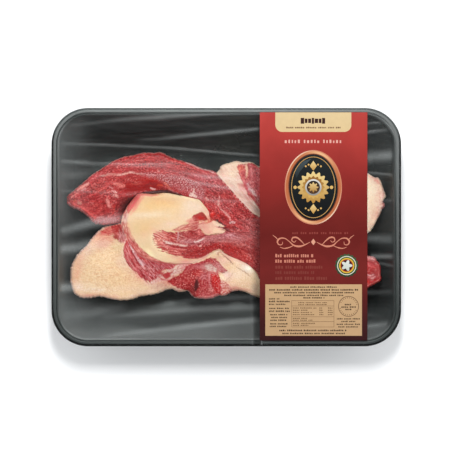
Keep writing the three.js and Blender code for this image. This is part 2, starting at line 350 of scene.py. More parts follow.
world = bpy.data.worlds.new("world")
scene.world = world
world.use_nodes = True
wt = world.node_tree
wt.nodes.clear()
wo = wt.nodes.new("ShaderNodeOutputWorld")
wb = wt.nodes.new("ShaderNodeBackground")
wc = wt.nodes.new("ShaderNodeTexCoord")
ws = wt.nodes.new("ShaderNodeSeparateXYZ")
wr = wt.nodes.new("ShaderNodeValToRGB")
wt.links.new(wc.outputs["Generated"], ws.inputs[0])
wt.links.new(ws.outputs["Z"], wr.inputs[0])
ramp = wr.color_ramp
ramp.elements[0].position, ramp.elements[0].color = 0.0, (0.97, 0.985, 1.0, 1)
ramp.elements[1].position, ramp.elements[1].color = 0.86, (0.97, 0.985, 1.0, 1)
e = ramp.elements.new(0.95)
e.color = (0.0, 0.0, 0.0, 1)
# the room is brighter towards +X and +Y
wd = wt.nodes.new("ShaderNodeVectorMath")
wd.operation = "DOT_PRODUCT"
wd.inputs[1].default_value = (0.16, 0.28, 0.0)
wt.links.new(wc.outputs["Generated"], wd.inputs[0])
wa = wt.nodes.new("ShaderNodeMath")
wa.operation = "ADD"
wa.inputs[1].default_value = 1.0
wt.links.new(wd.outputs["Value"], wa.inputs[0])
wm = wt.nodes.new("ShaderNodeMath")
wm.operation = "MULTIPLY"
wm.inputs[1].default_value = 1.26
wt.links.new(wa.outputs[0], wm.inputs[0])
wt.links.new(wr.outputs[0], wb.inputs[0])
wt.links.new(wm.outputs[0], wb.inputs[1])
wt.links.new(wb.outputs[0], wo.inputs[0])

# ------------------------------------------------------------------ tray
def plan_ring(d, z, steps):
    r = plan_radius(d)
    cx, cy = TRAY_L / 2 - d - r, TRAY_W / 2 - d - r
    out = []
    for sx, sy, a0 in ((1, 1, 0), (-1, 1, 90), (-1, -1, 180), (1, -1, 270)):
        for k in range(steps + 1):
            a = math.radians(a0 + 90 * k / steps)
            out.append((sx * cx + r * math.cos(a), sy * cy + r * math.sin(a), z))
    return out


def build_tray():
    steps = 26
    sec = [(FLOOR_D + 6, SHEET), (FLOOR_D + 1.5, SHEET)]
    nf = 26
    for k in range(nf + 1):
        a = WALL * k / nf
        sec.append((FLOOR_D - FILLET * math.sin(a), SHEET + FILLET * (1 - math.cos(a))))
    top_d, top_z = 5.62, 38.3
    for k in range(1, 9):                      # the straight wall, in rows
        f = k / 8
        sec.append((FIL_D + (top_d - FIL_D) * f, FIL_Z + (top_z - FIL_Z) * f))
    # the inner lip, a groove, the flange's flat band and its small outer roll
    bead = [(5.54, 38.62), (5.47, 38.98), (5.36, 39.30), (5.20, 39.54), (5.02, 39.70), (4.84, 39.76), (4.68, 39.70),
            (4.54, 39.52), (4.42, 39.30), (4.30, 39.14), (4.14, 39.06), (3.98, 39.12), (3.84, 39.30), (3.72, 39.54),
            (3.58, 39.74), (3.38, 39.86), (3.1, 39.88), (2.7, 39.84), (2.2, 39.77), (1.8, 39.70), (1.5, 39.62), (1.22, 39.50),
            (0.94, 39.32), (0.68, 39.10), (0.46, 38.84), (0.30, 38.52), (0.16, 38.14), (0.06, 37.7)]
    sec += bead
    sec += [(0.0, TRAY_H - SKIRT + 0.25), (0.1, TRAY_H - SKIRT + 0.05), (0.35, TRAY_H - SKIRT),
            (0.65, TRAY_H - SKIRT), (0.85, TRAY_H - SKIRT + 0.08), (SHEET, TRAY_H - SKIRT + 0.3),
            (SHEET, TRAY_H - SHEET - 0.9), (1.0, TRAY_H - SHEET - 0.5), (1.25, TRAY_H - SHEET - 0.25),
            (1.6, TRAY_H - SHEET - 0.18)]
    o = (WALL_TOP[0] - SHEET * math.sin(WALL), WALL_TOP[1] - SHEET * math.cos(WALL))
    sec += [(o[0] - 0.8, TRAY_H - SHEET - 0.18), (o[0] - 0.3, TRAY_H - SHEET - 0.25), (o[0] - 0.05, o[1] - 0.1)]
    ro = FILLET + SHEET
    ow = (FLOOR_D - ro * math.sin(WALL), ro * (1 - math.cos(WALL)))
    for k in range(1, 6):
        f = k / 6
        sec.append((o[0] + (ow[0] - o[0]) * f, o[1] + (ow[1] - o[1]) * f))
    for k in range(nf, -1, -1):
        a = WALL * k / nf
        sec.append((FLOOR_D - ro * math.sin(a), ro * (1 - math.cos(a))))
    sec += [(FLOOR_D + 1.5, 0.0), (FLOOR_D + 6, 0.0)]
    rings = [plan_ring(d, z, steps) for d, z in sec]
    n = len(rings[0])
    co = np.array([p for r in rings for p in r])
    quads = []
    for i in range(len(rings) - 1):
        a = i * n + np.arange(n)
        b = i * n + (np.arange(n) + 1) % n
        quads.append(np.stack([a, a + n, b + n, b], 1))
    quads = np.vstack(quads)
    # the floor and the base are closed by rings of triangles round a middle point
    m0, m1 = len(co), len(co) + 1
    co = np.vstack([co, [[0, 0, SHEET], [0, 0, 0]]])
    k = np.arange(n)
    tri = [np.stack([np.full(n, m0), k, (k + 1) % n], 1),
           np.stack([np.full(n, m1), (len(rings) - 1) * n + (k + 1) % n, (len(rings) - 1) * n + k], 1)]
    ob = mesh_arrays("tray_body", co * MM, np.vstack(tri), quads)
    # painted shade: the outer roll on the sides away from the light gets a darker, rougher copy of the plastic, which
    # narrows to nothing along the +Y side
    mid = np.array([np.mean([co[v] for v in q.vertices], axis=0) for q in ob.data.polygons])
    qx, qy = np.abs(mid[:, 0]) - (TRAY_L / 2 - RIM_R), np.abs(mid[:, 1]) - (TRAY_W / 2 - RIM_R)
    dist = RIM_R - (np.hypot(np.maximum(qx, 0), np.maximum(qy, 0)) + np.minimum(np.maximum(qx, qy), 0))
    ny = np.where(qy > 0, np.maximum(qy, 0) / np.maximum(np.hypot(np.maximum(qx, 0), np.maximum(qy, 0)), 1e-6), 0) * np.sign(mid[:, 1])
    thin = (1.5 + 0.45 * smooth(20.0, -50.0, mid[:, 1])) * (1 - smooth(0.05, 0.6, ny))
    ob.data.polygons.foreach_set("material_index", ((dist < thin) & (mid[:, 2] > TRAY_H - 3.6)).astype(np.int32))
    # painted light: a greyer tone on the flat flange, strongest at the +Y end towards the key light and on the upper
    # parts of the side flanges; a slight lift of the whole tray's tone is left out beside the meat at upper left and
    # right, as painted shade
    qx, qy = np.abs(co[:, 0]) - (TRAY_L / 2 - RIM_R), np.abs(co[:, 1]) - (TRAY_W / 2 - RIM_R)
    dv = RIM_R - (np.hypot(np.maximum(qx, 0), np.maximum(qy, 0)) + np.minimum(np.maximum(qx, qy), 0))
    back = 1.25 * smooth(60.0, 80.0, co[:, 1]) * smooth(-62.0, -36.0, co[:, 0])
    flat = smooth(1.2, 2.0, dv) * (1 - smooth(3.5 + back, 3.9 + back, dv)) * (co[:, 2] > TRAY_H - 1.2)
    grow = smooth(-30.0, 40.0, co[:, 1])
    deep = smooth(95.0, 118.0, co[:, 0]) * smooth(50.0, 34.0, co[:, 1])
    deep = np.maximum(deep, smooth(-110.0, -50.0, co[:, 0]) * smooth(26.0, 38.0, co[:, 1]) * (co[:, 0] < 30))
    set_float(ob, "bloom", 0.008 * (1 - deep) + flat * (0.006 + 0.043 * grow + 0.040 * smooth(10.0, 66.0, co[:, 1]) * smooth(112.0, 124.0, np.abs(co[:, 0]))))
    set_float(ob, "polish", smooth(-115.0, -50.0, co[:, 0]) * smooth(28.0, 40.0, co[:, 1]) * (co[:, 2] < TRAY_H - 2.0))
    return ob


tray = build_tray()
tm = Mat("tray_black_plastic")
tb = tm.n("BsdfPrincipled", Base__Color=(0.0135, 0.0155, 0.0152, 1), Roughness=0.42)
# the attribute adds the painted light and shade to the plastic's base colour
tba = tm.n("Attribute", _attribute_name="bloom", _attribute_type="GEOMETRY")
tbc = tm.n("CombineColor")
for i, k in enumerate((1.0, 1.0, 0.99)):
    tbm = tm.n("Math", _operation="MULTIPLY_ADD")
    tbm.inputs[1].default_value, tbm.inputs[2].default_value = k, (0.0036, 0.0067, 0.0063)[i]
    tm.l(tba.outputs["Fac"], tbm.inputs[0])
    tm.l(tbm.outputs[0], tbc.inputs[i])
tm.l(tbc.outputs[0], tb.inputs["Base Color"])
tb.inputs["Specular Tint"].default_value = (0.93, 1.0, 0.97, 1)
tb.inputs["Sheen Weight"].default_value = 0.06
tb.inputs["Sheen Roughness"].default_value = 0.5
tb.inputs["Sheen Tint"].default_value = (0.96, 1.0, 0.99, 1)
tco = tm.n("TexCoord")
tn = tm.n("TexNoise", Scale=900.0, Detail=3.0, Roughness=0.6)
tm.l(tco.outputs["Object"], tn.inputs["Vector"])
tbump = tm.n("Bump", Strength=0.12, Distance=0.0002)
tm.l(tn.outputs["Fac"], tbump.inputs["Height"])
tm.l(tbump.outputs[0], tb.inputs["Normal"])
trr = tm.n("MapRange")
trr.inputs["To Min"].default_value, trr.inputs["To Max"].default_value = 0.36, 0.48
tn2 = tm.n("TexNoise", Scale=45.0, Detail=4.0)
tm.l(tco.outputs["Object"], tn2.inputs["Vector"])
tm.l(tn2.outputs["Fac"], trr.inputs["Value"])
tpa = tm.n("Attribute", _attribute_name="polish", _attribute_type="GEOMETRY")
tpm = tm.n("Math", _operation="MULTIPLY_ADD")
tpm.inputs[1].default_value = -0.215
tm.l(tpa.outputs["Fac"], tpm.inputs[0])
tm.l(trr.outputs[0], tpm.inputs[2])
tm.l(tpm.outputs[0], tb.inputs["Roughness"])
tm.l(tb.outputs[0], tm.out.inputs[0])
tray.data.materials.append(tm.m)
# the darker copy of the plastic that paints shade on the outer roll
te = Mat("tray_edge_painted_shade")
teb = te.n("BsdfPrincipled", Base__Color=(0.0035, 0.004, 0.0039, 1), Roughness=0.7)
teb.inputs["Specular IOR Level"].default_value = 0.06
ten = te.n("TexNoise", Scale=700.0, Detail=3.0)
teco = te.n("TexCoord")
te.l(teco.outputs["Object"], ten.inputs["Vector"])
tebump = te.n("Bump", Strength=0.2, Distance=0.0002)
te.l(ten.outputs["Fac"], tebump.inputs["Height"])
te.l(tebump.outputs[0], teb.inputs["Normal"])
te.l(teb.outputs[0], te.out.inputs[0])
tray.data.materials.append(te.m)
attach(tray, "root")
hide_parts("tray")

# ------------------------------------------------------------------ meat: plan outlines
STRIP_TOP = [(66.3, 199.6), (66.6, 196.8), (67.8, 194.6), (70.6, 192.2), (74.3, 188.8), (78.3, 185.7), (82.4, 182.2), (86.5, 178.7),
             (90.7, 174.8), (95.2, 171.8), (99.6, 169.1), (103.9, 166.1), (108, 163.5), (112, 161), (116, 159.4), (120, 157.5), (124, 156.3),
             (128, 155.5), (132, 155), (136, 154), (140, 152.8), (145, 152.2), (150, 152.3), (154, 152.6), (158, 151.8),
             (162, 152.6), (166, 154.6), (170, 156.6), (175, 158.5), (180, 160), (185, 161.5), (190, 163), (194, 165),
             (198, 166.6), (202, 168.4), (206, 169.2), (210, 169.8), (213, 171), (216, 172.4)]
STRIP_LOW = [(66.3, 199.6), (66.7, 203), (69.5, 205.8), (74, 208), (78, 209.6), (82, 212), (86, 215.2), (89, 218),
             (91, 220.5), (93.5, 222.6), (96, 223.6), (100, 224.2), (105, 224.9), (110, 224.3), (114, 223.9), (117.6, 223.1),
             (119.7, 222.2), (120.3, 219.6), (120.9, 216.7), (123.2, 211.5), (126.7, 205.5), (130.7, 200.1), (133.6, 196.6), (136.5, 193.6)]
STRIP_CORNER = [(216, 172.4), (218, 175), (221, 178.6), (225, 183), (229, 187.5), (233, 192), (237, 196.5), (241, 201),
                (245, 205), (249, 209.3), (254, 213.6), (260, 216.6), (270, 221), (285, 223.5), (304, 226.8), (312, 234.7)]
STRIP_CENTRE = [(136.5, 193.6), (140, 192.8), (146, 193), (152, 193.4), (158, 193), (163, 192.4), (168, 192.5), (172, 193.2),
                (178, 194.4), (184, 195.8), (190, 197.2), (195, 198.3), (199, 199.5), (203, 203.8), (206, 207.5), (208.5, 211.5),
                (209.6, 216.5), (213, 219.5), (217, 222.8), (221, 226), (225, 229.5), (230, 231.6), (240, 232.2),
                (250, 232.6), (262, 234.7), (285, 238.7), (304, 240.7), (312, 234.7)]
CENTRE_LEFT = [(120.5, 223), (121, 217), (123.5, 211.5), (127, 205.5), (131, 200), (136.5, 193.6)]
CENTRE_LOWER = [(120.5, 223), (122, 227), (123.5, 232), (126, 237.5), (129, 243), (132.5, 248), (137, 252.5), (143, 257),
                (150, 260), (158, 262.2), (166, 263.4), (175, 263.8), (184, 263.4), (192, 262.7), (198, 260.8), (204, 257.9),
                (209, 254.9), (213, 252.3), (216.5, 250.5), (219, 250.2), (222, 251.6), (226, 254.3), (231, 256.6), (236, 258.6),
                (242, 261.2), (247, 263.9), (250.8, 266.8), (254, 270.6), (257, 275.6), (261, 280), (285, 284.4), (303, 285)]
CENTRE_TOP = [(312, 234.7), (319, 240), (334.7, 244.6), (352, 249.3), (362, 253.2), (367, 255), (370, 256), (374, 257),
              (376.2, 259.2), (377.6, 261.6), (379.6, 263.6), (380.4, 267), (380.8, 271), (380.8, 275), (381.6, 278.4)]
CENTRE_LOW = [(303, 285), (320, 288.4), (340, 291.7), (356, 291.5), (366, 288.5), (371, 285.8), (376, 283), (380, 281),
              (381.6, 278.4)]
LOWER_LEFT = [(69.6, 277), (69.7, 272), (70.3, 267), (71.8, 263), (74.0, 258.4), (76.2, 255), (79.3, 251.6), (82.6, 248.3), (86, 245),
              (89, 241), (92, 237), (95, 233.5), (98, 230.5), (101, 228), (104, 226.2), (108, 225.2), (113, 224.6),
              (117, 223.6), (120.5, 223)]
LOWER_FREE = [(69.6, 277), (69.8, 282), (70.6, 286.5), (71.6, 290), (73.2, 293), (75.5, 294.8), (78, 296.6), (81, 297.5),
              (86, 297.8), (91, 297.4), (95, 296.8), (99, 296.6), (103, 297), (107, 298), (111, 298.8), (115, 299.3),
              (119, 300), (123, 299.8), (127, 299.7), (131, 299), (134, 298), (137, 297), (141, 295.8), (146, 295),
              (151, 294.4), (156, 293.4), (160, 292), (164, 290.2), (168, 289), (172, 288.8), (174, 290), (177, 291),
              (180, 291.4), (184, 291), (187, 290.4), (189, 292), (191, 295), (194, 297.2), (198, 298.2), (203, 298.6),
              (208, 298.6), (212, 298), (216, 296.4), (219, 295.3), (222, 295.6), (226, 294.6), (229, 293), (231, 291.6),
              (235, 290.6), (240, 290.5), (244, 291.2), (248, 292.9), (252, 294.8), (256, 296.2), (260, 297.4),
              (280, 300.3), (298, 299.8), (305.5, 294.5), (303, 285)]
CORNER_TOP = [(216, 172.4), (217.6, 171), (219.2, 169.2), (220, 167.2), (221.4, 165.4), (224, 163.8), (228, 162.9), (231, 161.9),
              (234, 161.1), (238, 160.9), (242, 161.8), (246, 161.6), (250, 161.8), (253, 162.8), (256, 164.6),
              (260, 166.4), (272, 165.5), (285, 163.8), (310, 161.8), (335, 163.8), (353, 169), (364, 172.4), (368, 173.2),
              (371.5, 175.2), (375, 177.2), (378, 177.6), (380, 179.4), (381.4, 182.4), (382.4, 186), (383.8, 190),
              (385.3, 193.6), (385.4, 196.6), (383.6, 199.4), (383, 201.8), (384.6, 204), (384.4, 206.4), (382.4, 208),
              (381, 211), (379.4, 214.5), (377.6, 218.4), (375.4, 222.6), (373, 227)]
CORNER_LOW = [(312, 234.7), (330, 236.7), (345.3, 238), (358, 237.4), (365, 234.5), (370, 231), (373, 227)]


def closed_outline(*parts):
    """Joins lines end to end (a minus sign as the first item turns one round) and drops doubled ends."""
    pts = []
    for p in parts:
        q = spline(p[1][::-1] if p[0] == "-" else p[1], 0.5)
        pts.append(q if not pts else q[1:])
    out = np.vstack(pts)
    if np.linalg.norm(out[0] - out[-1]) < 0.3:
        out = out[:-1]
    return out


OUTLINES = {
    "strip": closed_outline(("+", STRIP_TOP), ("+", STRIP_CORNER), ("-", STRIP_CENTRE), ("-", STRIP_LOW)),
    "centre": closed_outline(("+", CENTRE_LEFT), ("+", STRIP_CENTRE), ("+", CENTRE_TOP), ("-", CENTRE_LOW),
                             ("-", CENTRE_LOWER)),
    "lower": closed_outline(("+", LOWER_LEFT), ("+", CENTRE_LOWER), ("-", LOWER_FREE)),
    "corner": closed_outline(("+", CORNER_TOP), ("-", CORNER_LOW), ("-", STRIP_CORNER)),
}


def bump(x, y, cx, cy, rx, ry, h, ang=0.0):
    """A soft hill in plan squares."""
    c, s = math.cos(math.radians(ang)), math.sin(math.radians(ang))
    u, v = (x - cx) * c + (y - cy) * s, -(x - cx) * s + (y - cy) * c
    return h * np.exp(-(u / rx) ** 2 - (v / ry) ** 2)


def crown_strip(x, y):
    z = 31.5 + bump(x, y, 170, 172, 66, 20, 2.9, 8) + bump(x, y, 100, 196, 22, 18, 1.8) + bump(x, y, 232, 214, 20, 16, 1.2, 45)
    z = z - bump(x, y, 122, 206, 6, 9, 4.0, -35) - bump(x, y, 152, 190, 22, 4.5, 2.2, -2)
    d, _, _ = near_line(spline(STRIP_CORNER, 2.0), x, y, 30.0)
    z = z + (crown_corner(x, y) + 0.1 - z) * np.exp(-(d / 11.0) ** 2)
    d, _, _ = near_line(spline([(199, 199.5), (206, 207.5), (213, 219.5), (221, 226), (230, 231.6), (250, 232.6), (285, 238.7)], 2.0), x, y, 30.0)
    return z + (crown_centre(x, y) + 0.1 - z) * np.exp(-(d / 9.0) ** 2)


def crown_centre(x, y):
    z = 32.0 + bump(x, y, 158, 222, 34, 30, 3.0) + bump(x, y, 235, 245, 30, 12, 1.4, 8)
    return z


def crown_lower(x, y):
    z = 27.5 + bump(x, y, 105, 268, 26, 26, 2.8) + bump(x, y, 200, 281, 18, 11, 3.0) + bump(x, y, 240, 275, 18, 13, 2.2, 35)
    d, _, _ = near_line(spline(CENTRE_LOWER, 2.0), x, y, 30.0)
    w = np.exp(-(d / 13.0) ** 2)
    return z + (crown_centre(x, y) - 0.2 - z) * w


def crown_corner(x, y):
    return 32.0 + bump(x, y, 240, 185, 26, 20, 2.0, 45) + bump(x, y, 362, 204, 26, 26, 2.0)


# each piece's CAD node, crown and edge rounding in mm; tight_factor gives a close joint a smaller rounding
PIECES = {
    "strip": dict(node="brisket_lean_strip", crown=crown_strip, edge=3.0),
    "centre": dict(node="brisket_centre_slab", crown=crown_centre, edge=3.0),
    "lower": dict(node="brisket_lower_slab", crown=crown_lower, edge=2.4),
    "corner": dict(node="brisket_corner_slab", crown=crown_corner, edge=2.6),
}


def tight_factor(name, x, y):
    """0 where two slabs press so closely that no crevice shows, 1 elsewhere."""
    f = np.ones(x.shape)
    lines = {
        "strip": [(STRIP_CORNER, 6, 0.06), ([(213, 219.5), (221, 226), (230, 231.6), (250, 232.6), (285, 238.7)], 6, 0.06),
                  (STRIP_CENTRE[:9], 5, 0.35), (STRIP_CENTRE[9:17], 5, 0.06)],
        "centre": [(STRIP_CENTRE[9:17], 5, 0.1), ([(213, 219.5), (221, 226), (230, 231.6), (250, 232.6), (285, 238.7)], 6, 0.06),
                   (CENTRE_LOWER, 5, 0.02)],
        "lower": [(CENTRE_LOWER, 5, 0.03)],
        "corner": [(STRIP_CORNER, 6, 0.06)],
    }[name]
    for pts, reach, k in lines:
        d, _, _ = near_line(spline(pts, 0.8), x, y, float(reach))
        f = np.minimum(f, k + (1 - k) * smooth(1.5, float(reach), d))
    return f


LABEL_X0, LABEL_X1 = 262.0, 364.0


def sheet_points(poly, h_fine, h_coarse, margin):
    """Hexagonal points inside an outline, finer where nothing lies over them."""
    lo, hi = poly.min(0), poly.max(0)

    def grid(h):
        ys = np.arange(lo[1] + h / 2, hi[1], h * 0.866)
        pts = []
        for j, yy in enumerate(ys):
            xs = np.arange(lo[0] + (h / 2 if j % 2 else 0), hi[0], h)
            pts.append(np.stack([xs, np.full(xs.shape, yy)], 1))
        return np.vstack(pts)
    f = grid(h_fine)
    f = f[(f[:, 0] < LABEL_X0) | (f[:, 0] > LABEL_X1)]
    c = grid(h_coarse)
    c = c[(c[:, 0] >= LABEL_X0 + h_fine) & (c[:, 0] <= LABEL_X1 - h_fine)]
    p = np.vstack([f, c])
    d = signed(poly, p[:, 0], p[:, 1], 12.0)
    keep = d > margin
    return p[keep], d[keep]


def triangulate(boundary, inner):
    verts = [Vector(p) for p in boundary] + [Vector(p) for p in inner]
    n = len(boundary)
    vs, _, fs, ov, _, _ = geometry.delaunay_2d_cdt(verts, [(i, (i + 1) % n) for i in range(n)], [], 1, 1e-6)
    order = np.array([o[0] for o in ov])
    tri = np.array([[order[i] for i in f] for f in fs if len(f) == 3])
    return tri


def build_slab(name):
    spec = PIECES[name]
    outline = OUTLINES[name]
    h = 0.5
    ring_px = spline(outline[::2], h * 1.0, closed=True)
    # the slab stands back a little from its neighbours and the drawn line
    nb0 = len(ring_px)
    nxt, prv = np.roll(ring_px, -1, 0), np.roll(ring_px, 1, 0)
    t = nxt - prv
    t /= np.linalg.norm(t, axis=1)[:, None]
    area2 = np.sum(ring_px[:, 0] * nxt[:, 1] - nxt[:, 0] * ring_px[:, 1])
    nrm = np.stack([-t[:, 1], t[:, 0]], 1) * (1 if area2 > 0 else -1)   # points inwards
    rag = 0.34 * vnoise(ring_px[:, 0] / 2.4, ring_px[:, 1] / 2.4, 81) + 0.18 * vnoise(ring_px[:, 0], ring_px[:, 1], 82)
    seam = np.full(nb0, 9.0)
    for other, line in OUTLINES.items():
        if other != name:
            dd, _, _ = near_line(np.vstack([line, line[:1]]), ring_px[:, 0], ring_px[:, 1], 9.0)
            seam = np.minimum(seam, dd)
    if name == "lower":
        rag = rag * (1 + 0.9 * smooth(110, 90, ring_px[:, 0]))
    ring_px = ring_px + nrm * (0.012 + (rag - 0.16) * smooth(0.5, 3.0, seam))[:, None]
    pts, d_in = sheet_points(ring_px, h, 2.4, h * 0.55)
    tri = triangulate(ring_px, pts)
    nb = len(ring_px)
    P = np.vstack([ring_px, pts])
    D = np.concatenate([np.zeros(nb), d_in]) * SQ          # distance to the edge, mm
    px, py = P[:, 0], P[:, 1]
    xy = to_mm(P)
    bed = bed_height(xy[:, 0], xy[:, 1])
    paint = painters[name](px, py)
    top = spec["crown"](px, py)
    r = spec["edge"] * tight_factor(name, px, py)
    q = np.clip(1 - D / r, 0, 1)
    fall = r * (1 - np.sqrt(np.maximum(0, 1 - q ** 2)))
    edge_fade = smooth(0.0, 2.0, D)
    z_top = np.maximum(top - fall, bed + 3.0) + paint.h * (0.25 + 0.75 * edge_fade)
    # side rows under the boundary ring, bulging down to the bed
    zb0 = z_top[:nb]
    rows = 9
    side, side_col = [], []
    bed_in = []
    for k in range(1, rows + 1):
        f = k / rows
        inset = 1.6 * f ** 2.2 - 0.5 * math.sin(math.pi * min(1, f * 1.15))
        q_px = ring_px + nrm * inset / SQ
        q_mm = to_mm(q_px)
        bd = bed_height(q_mm[:, 0], q_mm[:, 1])
        zz = zb0 + (bd - zb0) * (1 - (1 - f) ** 1.25)
        wob = 0.22 * vnoise(q_px[:, 0] / 3.1, q_px[:, 1] / 3.1 + k * 0.6, 5) * math.sin(math.pi * f)
        side.append(np.stack([q_mm[:, 0], q_mm[:, 1], zz], 1) + np.concatenate([nrm * [1, -1] * wob[:, None], np.zeros((nb, 1))], 1))
        bed_in = q_px
    # the underside: a coarser sheet on the same last ring
    upts, _ = sheet_points(ring_px, 3.2, 3.2, 3.6)
    utri = triangulate(ring_px, upts)
    umm = to_mm(upts)
    ubed = bed_height(umm[:, 0], umm[:, 1])
    n_top = len(P)
    co = [np.concatenate([xy, z_top[:, None]], 1)] + side + [np.concatenate([umm, ubed[:, None]], 1)]
    co = np.vstack(co)
    quads = []
    prev = np.arange(nb)
    ccw = -1 if area2 > 0 else 1            # px y points down, so a positive px area is clockwise in mm
    for k in range(rows):
        cur = n_top + k * nb + np.arange(nb)
        a, b = prev, np.roll(prev, -1)
        c, dd = np.roll(cur, -1), cur
        quads.append(np.stack([a, dd, c, b], 1) if ccw > 0 else np.stack([a, b, c, dd], 1))
        prev = cur
    last = n_top + (rows - 1) * nb
    u_off = n_top + rows * nb
    utri = np.where(utri < nb, utri + last, utri - nb + u_off)

    def orient(tr, up):
        a, b, c = co[tr[:, 0]], co[tr[:, 1]], co[tr[:, 2]]
        z = (b[:, 0] - a[:, 0]) * (c[:, 1] - a[:, 1]) - (b[:, 1] - a[:, 1]) * (c[:, 0] - a[:, 0])
        flip = (z < 0) if up else (z > 0)
        tr = tr.copy()
        tr[flip] = tr[flip][:, [0, 2, 1]]
        return tr
    tri, utri = orient(tri, True), orient(utri, False)
    ob = mesh_arrays("brisket_" + name, co * MM, np.vstack([tri, utri]), np.vstack(quads))
    reps = lambda a: np.concatenate([a] + [a[:nb]] * rows + [np.full((len(umm),) + a.shape[1:], a[:nb].mean(0))])
    col = reps(paint.c)
    # the sides darken and redden a little away from the top
    shade = np.concatenate([np.ones(n_top)] + [np.full(nb, 1 - 0.25 * (k / rows)) for k in range(1, rows + 1)] + [np.full(len(umm), 0.75)])
    set_color(ob, "albedo", np.clip(col * shade[:, None], 0, 0.98))
    set_float(ob, "lean", reps(paint.lean))
    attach(ob, "root")
    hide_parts(spec["node"])
    return ob


# ------------------------------------------------------------------ painting
SEEN_GAIN, SEEN_HAZE = 1.36, 0.016      # light on the meat, and what the film adds, over white


def albedo(rgb):
    """The surface colour that is seen as the drawn tone under the film."""
    return np.clip((lin(rgb) - SEEN_HAZE) / SEEN_GAIN, 0.002, 0.96)


class Paint:
    """Colour, relief and wetness worked out for points of the plan."""

    def __init__(self, x, y, rgb, lean):
        self.x, self.y = x, y
        self.c = np.tile(albedo(rgb), (len(x), 1))
        self.h = np.zeros(len(x))
        self.lean = np.full(len(x), float(lean))

    def mix(self, m, rgb, lean=None, dh=0.0):
        m = np.clip(m, 0, 1)
        self.c += (albedo(rgb) - self.c) * m[:, None]
        if lean is not None:
            self.lean += (lean - self.lean) * m
        if dh:
            self.h += dh * m
        return m

    def times(self, k, m=None):
        k = np.asarray(k)
        if m is not None:
            k = 1 + (k - 1) * m
        # a darker lean tone keeps its red longer than its green and blue
        self.c *= np.stack([k ** 0.75, k ** 1.6, k ** 1.55], 1)

    def region(self, pts, soft=1.0, wob=0.7, scale=4.0, seed=1):
        """Soft mask of a drawn outline, its edge made uneven."""
        x, y = self.x, self.y
        wx = x + wob * vnoise(x / scale, y / scale, seed) + 0.5 * wob * vnoise(x / scale * 2.7, y / scale * 2.7, seed + 3)
        wy = y + wob * vnoise(x / scale, y / scale, seed + 7) + 0.5 * wob * vnoise(x / scale * 2.7, y / scale * 2.7, seed + 5)
        d = signed(spline(pts, 0.8, closed=True), wx, wy, 3.0 + soft)
        return smooth(-soft / 2, soft / 2, d)

    def feather(self, pts, u, v, lu, lv, amp, soft=0.8, seed=1):
        """Mask of a drawn outline whose edge runs out in streaks along u."""
        top = float(np.max(amp))
        d = signed(spline(pts, 0.8, closed=True), self.x, self.y, 1.6 * top + soft + 1)
        return smooth(-soft / 2, soft / 2, d + amp * 1.5 * fibres(u, v, lu, lv, seed))

    def stroke(self, pts, w, soft=0.7, wob=0.35, scale=3.0, seed=2, ends=0.06):
        """Soft mask of a drawn line; w is its half-width, one number or several along it."""
        x, y = self.x, self.y
        wx = x + wob * vnoise(x / scale, y / scale, seed)
        wy = y + wob * vnoise(x / scale, y / scale, seed + 7)
        w = np.atleast_1d(np.asarray(w, float))
        reach = w.max() + soft + 0.8
        d, s, _ = near_line(spline(pts, 0.9), wx, wy, reach)
        ww = np.interp(s, np.linspace(0, 1, len(w)), w)
        m = 1 - smooth(-soft, soft, d - ww)
        m = np.where(d >= reach, 0, m)
        if ends:
            m = m * smooth(0, ends, s + 1e-3) * smooth(0, ends, 1 - s + 1e-3)
        return m

    def spot(self, cx, cy, rx, ry, ang=0.0, rough=0.35, seed=3):
        """Mask of a soft oval, roughened."""
        c, s = math.cos(math.radians(ang)), math.sin(math.radians(ang))
        u, v = (self.x - cx) * c + (self.y - cy) * s, -(self.x - cx) * s + (self.y - cy) * c
        q = np.exp(-((u / rx) ** 2 + (v / ry) ** 2) * 1.1)
        k = np.ones_like(q)
        i = q > 0.01
        if rough:
            k[i] = 1 + rough * vnoise(self.x[i] / 2.6, self.y[i] / 2.6, seed + int(cx))
        return np.clip(q * k, 0, 1)

    def spots(self, rows):
        for r in rows:
            cx, cy, rx, ry, ang, rgb, k = r[:7]
            self.mix(self.spot(cx, cy, rx, ry, ang) * k, rgb, *r[7:])

    def tints(self, rows):
        """Soft ovals that shift the tone by a factor for each of red, green and blue."""
        for cx, cy, rx, ry, ang, f in rows:
            self.c *= 1 + (np.asarray(f, float) - 1)[None] * self.spot(cx, cy, rx, ry, ang)[:, None]
        self.c = np.clip(self.c, 0.002, 0.96)

    def strokes(self, rows):
        for i, r in enumerate(rows):
            pts, w, rgb, k = r[:4]
            soft = r[4] if len(r) > 4 else 0.6
            dh = r[5] if len(r) > 5 else 0.0
            worn = np.clip(0.86 + 0.9 * vnoise(self.x / 1.4, self.y / 1.1, 170 + i), 0.25, 1.0)
            self.mix(self.stroke(pts, w, soft, 0.6, 2.0, seed=100 + i) * worn * k, rgb, dh=dh)


def along(pts, x, y, reach=70.0):
    """Coordinates along and across a drawn line, in squares."""
    line = spline(pts, 3.0)
    d, s, g = near_line(line, x, y, reach)
    total = np.linalg.norm(np.diff(line, axis=0), axis=1).sum()
    return s * total, d * g


def turned(x, y, deg):
    """Coordinates along and across a direction; deg turns from +x towards +y of the plan."""
    c, s = math.cos(math.radians(deg)), math.sin(math.radians(deg))
    return x * c + y * s, -x * s + y * c


def fibres(u, v, lu, lv, seed, octaves=3):
    """Streaky noise, long along u and fine across v."""
    return fbm(u / lu + 0.35 * vnoise(u / (lu * 2.1), v / (lv * 3.0), seed + 50), v / lv, seed, octaves, 0.6)


def worms(u, v, lu, lv, seed):
    """Bright crooked lines: the crests of folded noise."""
    a = fbm(u / lu, v / lv, seed, 2, 0.6)
    return np.clip(1 - np.abs(a) * 4.5, 0, 1)


